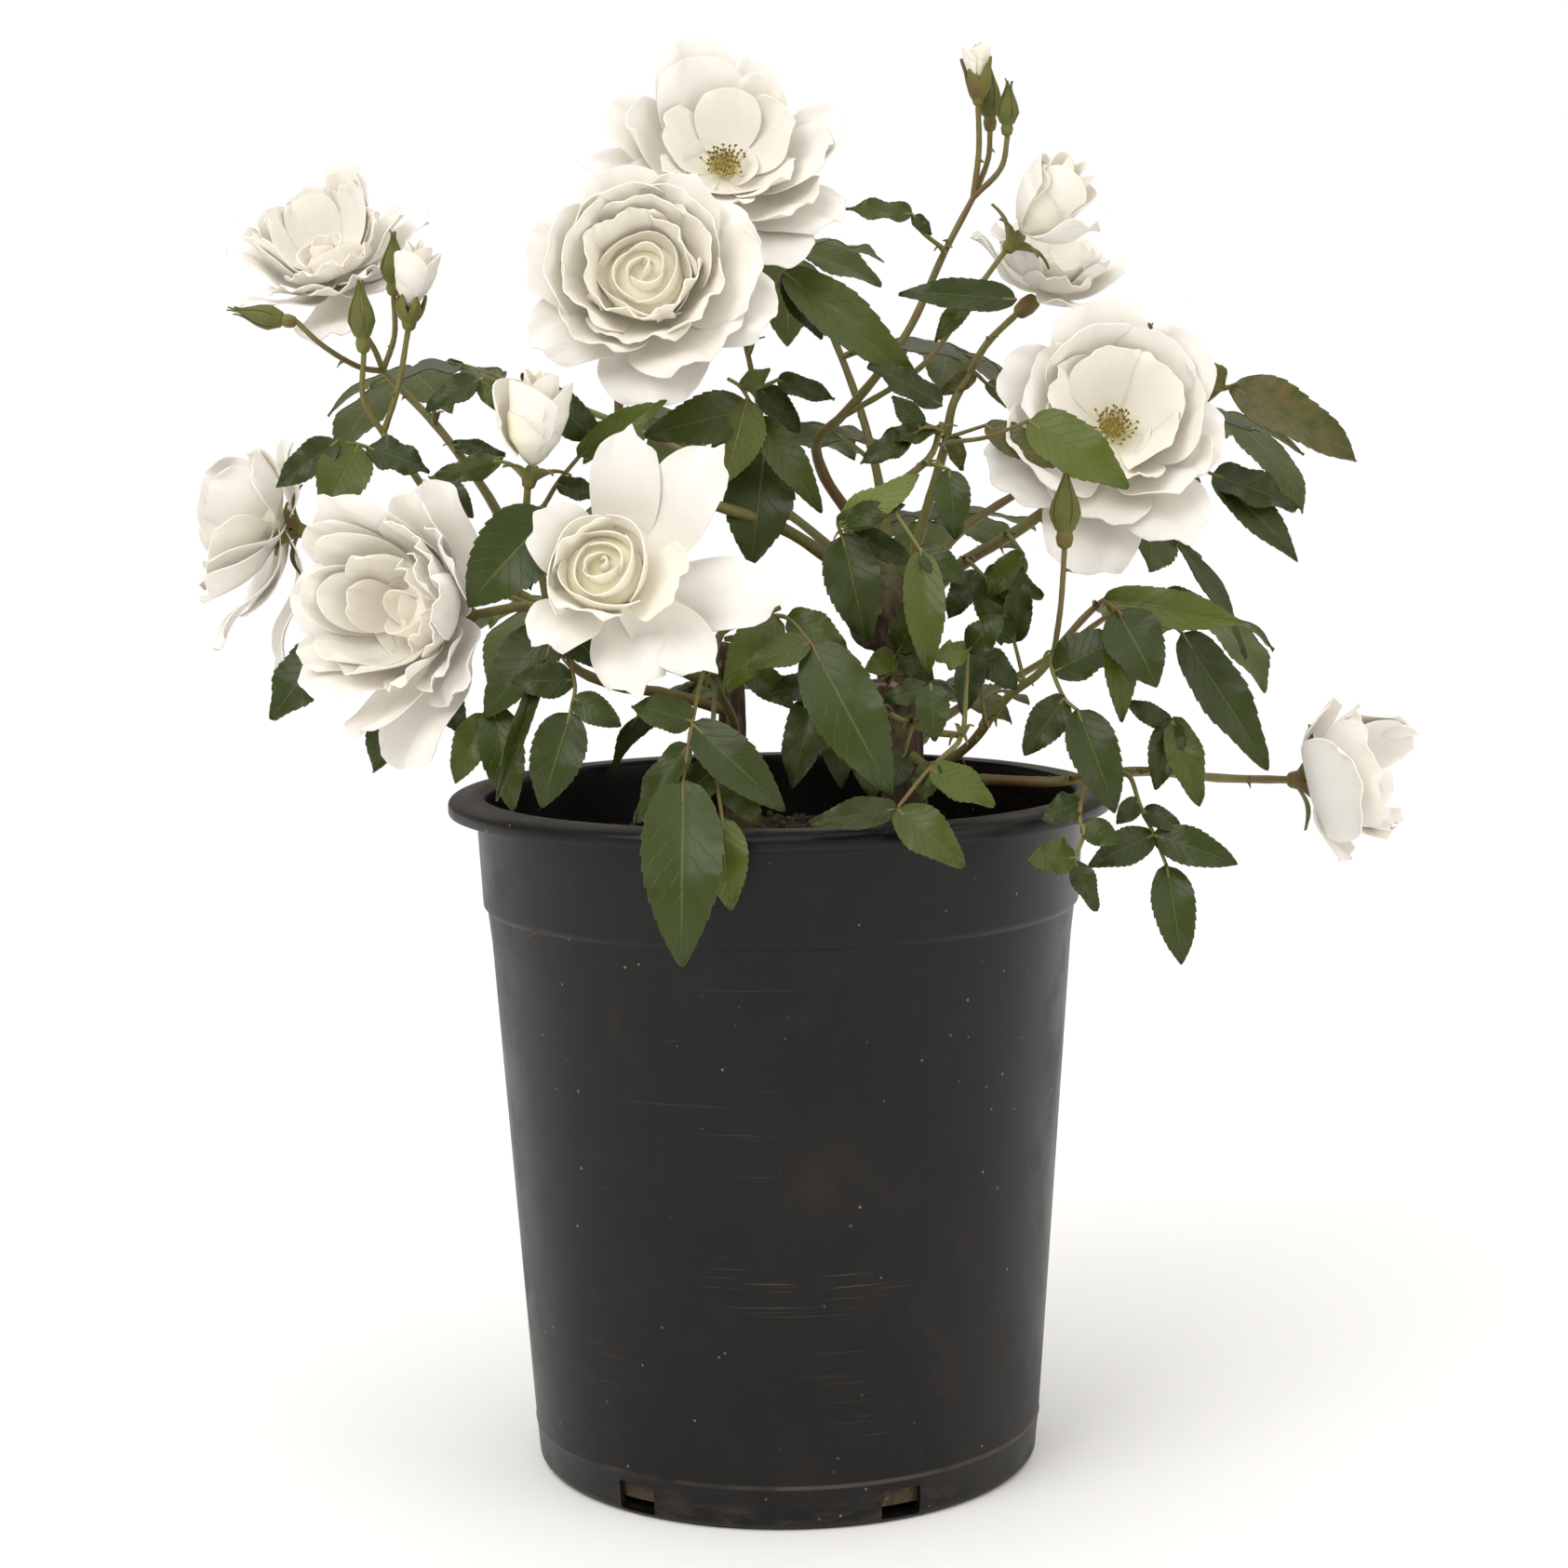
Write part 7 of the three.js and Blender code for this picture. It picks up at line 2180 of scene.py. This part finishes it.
class ROSE_OT_stage(Operator):
    """Set up the pale floor, the soft light and the camera of the front view"""

    bl_idname = "rose.stage"
    bl_label = "Stage"

    FLOOR_SIZE = 14
    FADE = (0.8, 3.2)
    SKY_RISE = (0.2, 0.95)
    SKY_LOW = (0.36, 0.315, 0.27)
    SKY_HIGH = (1.42, 1.41, 1.4)
    WHITE = (1, 1, 1)
    BLACK = (0, 0, 0)
    LIT = (0, 0, 0.3)
    LIGHTS = {
        "key_light": ((-1.3, -1.6, 1.9), 1.6, "key_power", (1, 0.985, 0.96)),
        "fill_light": ((1.7, -1.0, 0.9), 1.2, "fill_power", (1, 0.97, 0.94)),
    }

    def add_floor(self, settings):
        """A pale floor that turns to plain white light far away, so that no horizon shows."""
        deselect()
        bpy.ops.mesh.primitive_plane_add(size=self.FLOOR_SIZE)
        floor = bpy.context.object
        floor.name = "floor"
        finish = Finish("floor_pale", Roughness=0.9, Specular_IOR_Level=0.1, Emission_Strength=1)
        place = finish.place()
        shade = finish.noise(place, 60, 2).blend(*shades(settings.floor, 0.985, 1))
        away = finish.wire.add("ShaderNodeVectorMath", {"operation": "LENGTH"}, {0: place}, output="Value")
        far = away.between(*self.FADE)
        floor.data.materials.append(finish.feed(Base_Color=far.blend(shade, self.BLACK), Emission_Color=far))

    def add_sky(self, scene):
        """Light that grows with height, and plain white where the camera sees it."""
        world = bpy.data.worlds.new("studio")
        scene.world = world
        world.use_nodes = True
        wire = Wire(world.node_tree)
        direction = wire.add("ShaderNodeTexCoord", output="Generated")
        up = wire.add("ShaderNodeSeparateXYZ", None, {0: direction}, output="Z")
        light = up.between(*self.SKY_RISE).blend(self.SKY_LOW, self.SKY_HIGH)
        shown = wire.add("ShaderNodeLightPath", output="Is Camera Ray").blend(light, self.WHITE)
        world.node_tree.links.new(shown.socket, world.node_tree.nodes["Background"].inputs["Color"])

    def add_light(self, name, location, size, power, colour):
        deselect()
        bpy.ops.object.light_add(type="AREA", location=location)
        light = bpy.context.object
        light.name = name
        light.data.size = size
        light.data.energy = power
        light.data.color = colour
        light.rotation_euler = (Vector(self.LIT) - Vector(location)).to_track_quat("-Z", "Y").to_euler()

    def add_camera(self, scene):
        deselect()
        bpy.ops.object.camera_add(location=EYE)
        camera = bpy.context.object
        camera.name = "front_camera"
        camera.data.sensor_width = SENSOR
        camera.data.lens = FOCAL / PICTURE_SIDE * SENSOR
        turn = Matrix.Rotation(math.pi / 2 - PITCH, 4, "X") @ Matrix.Rotation(-ROLL, 4, "Z")
        camera.rotation_euler = turn.to_euler()
        scene.camera = camera

    def execute(self, context):
        settings = context.scene.rose_stage
        self.add_floor(settings)
        self.add_sky(context.scene)
        for name, (location, size, power, colour) in self.LIGHTS.items():
            self.add_light(name, location, size, getattr(settings, power), colour)
        self.add_camera(context.scene)
        context.scene.view_settings.view_transform = "Standard"
        return {"FINISHED"}


SETTINGS = {
    "rose_pot": PotSettings,
    "rose_soil": SoilSettings,
    "rose_wood": WoodSettings,
    "rose_leaf": LeafSettings,
    "rose_petal": PetalSettings,
    "rose_stage": StageSettings,
}
OPERATORS = (
    ROSE_OT_pot,
    ROSE_OT_soil,
    ROSE_OT_trunks,
    ROSE_OT_stems,
    ROSE_OT_blooms,
    ROSE_OT_stamens,
    ROSE_OT_stage,
)


class ROSE_PT_pieces(Panel):
    """Lists the pieces of the potted rose"""

    bl_idname = "ROSE_PT_pieces"
    bl_label = "Potted rose"
    bl_space_type = "VIEW_3D"
    bl_region_type = "UI"
    bl_category = "Rose"

    def draw(self, context):
        for operator in OPERATORS:
            self.layout.operator(operator.bl_idname)
        for name, group in SETTINGS.items():
            box = self.layout.box()
            for key in group.__annotations__:
                box.prop(getattr(context.scene, name), key)


def register():
    for item in (*SETTINGS.values(), *OPERATORS, ROSE_PT_pieces):
        bpy.utils.register_class(item)
    for name, group in SETTINGS.items():
        setattr(bpy.types.Scene, name, PointerProperty(type=group))


def unregister():
    for name in SETTINGS:
        delattr(bpy.types.Scene, name)
    for item in (ROSE_PT_pieces, *reversed(OPERATORS), *SETTINGS.values()):
        bpy.utils.unregister_class(item)


def main():
    """Build every piece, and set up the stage."""
    register()
    bpy.ops.rose.pot()
    bpy.ops.rose.soil()
    bpy.ops.rose.trunks()
    bpy.ops.rose.stems()
    bpy.ops.rose.blooms()
    bpy.ops.rose.stamens()
    bpy.ops.rose.stage()


if __name__ == "__main__":
    main()
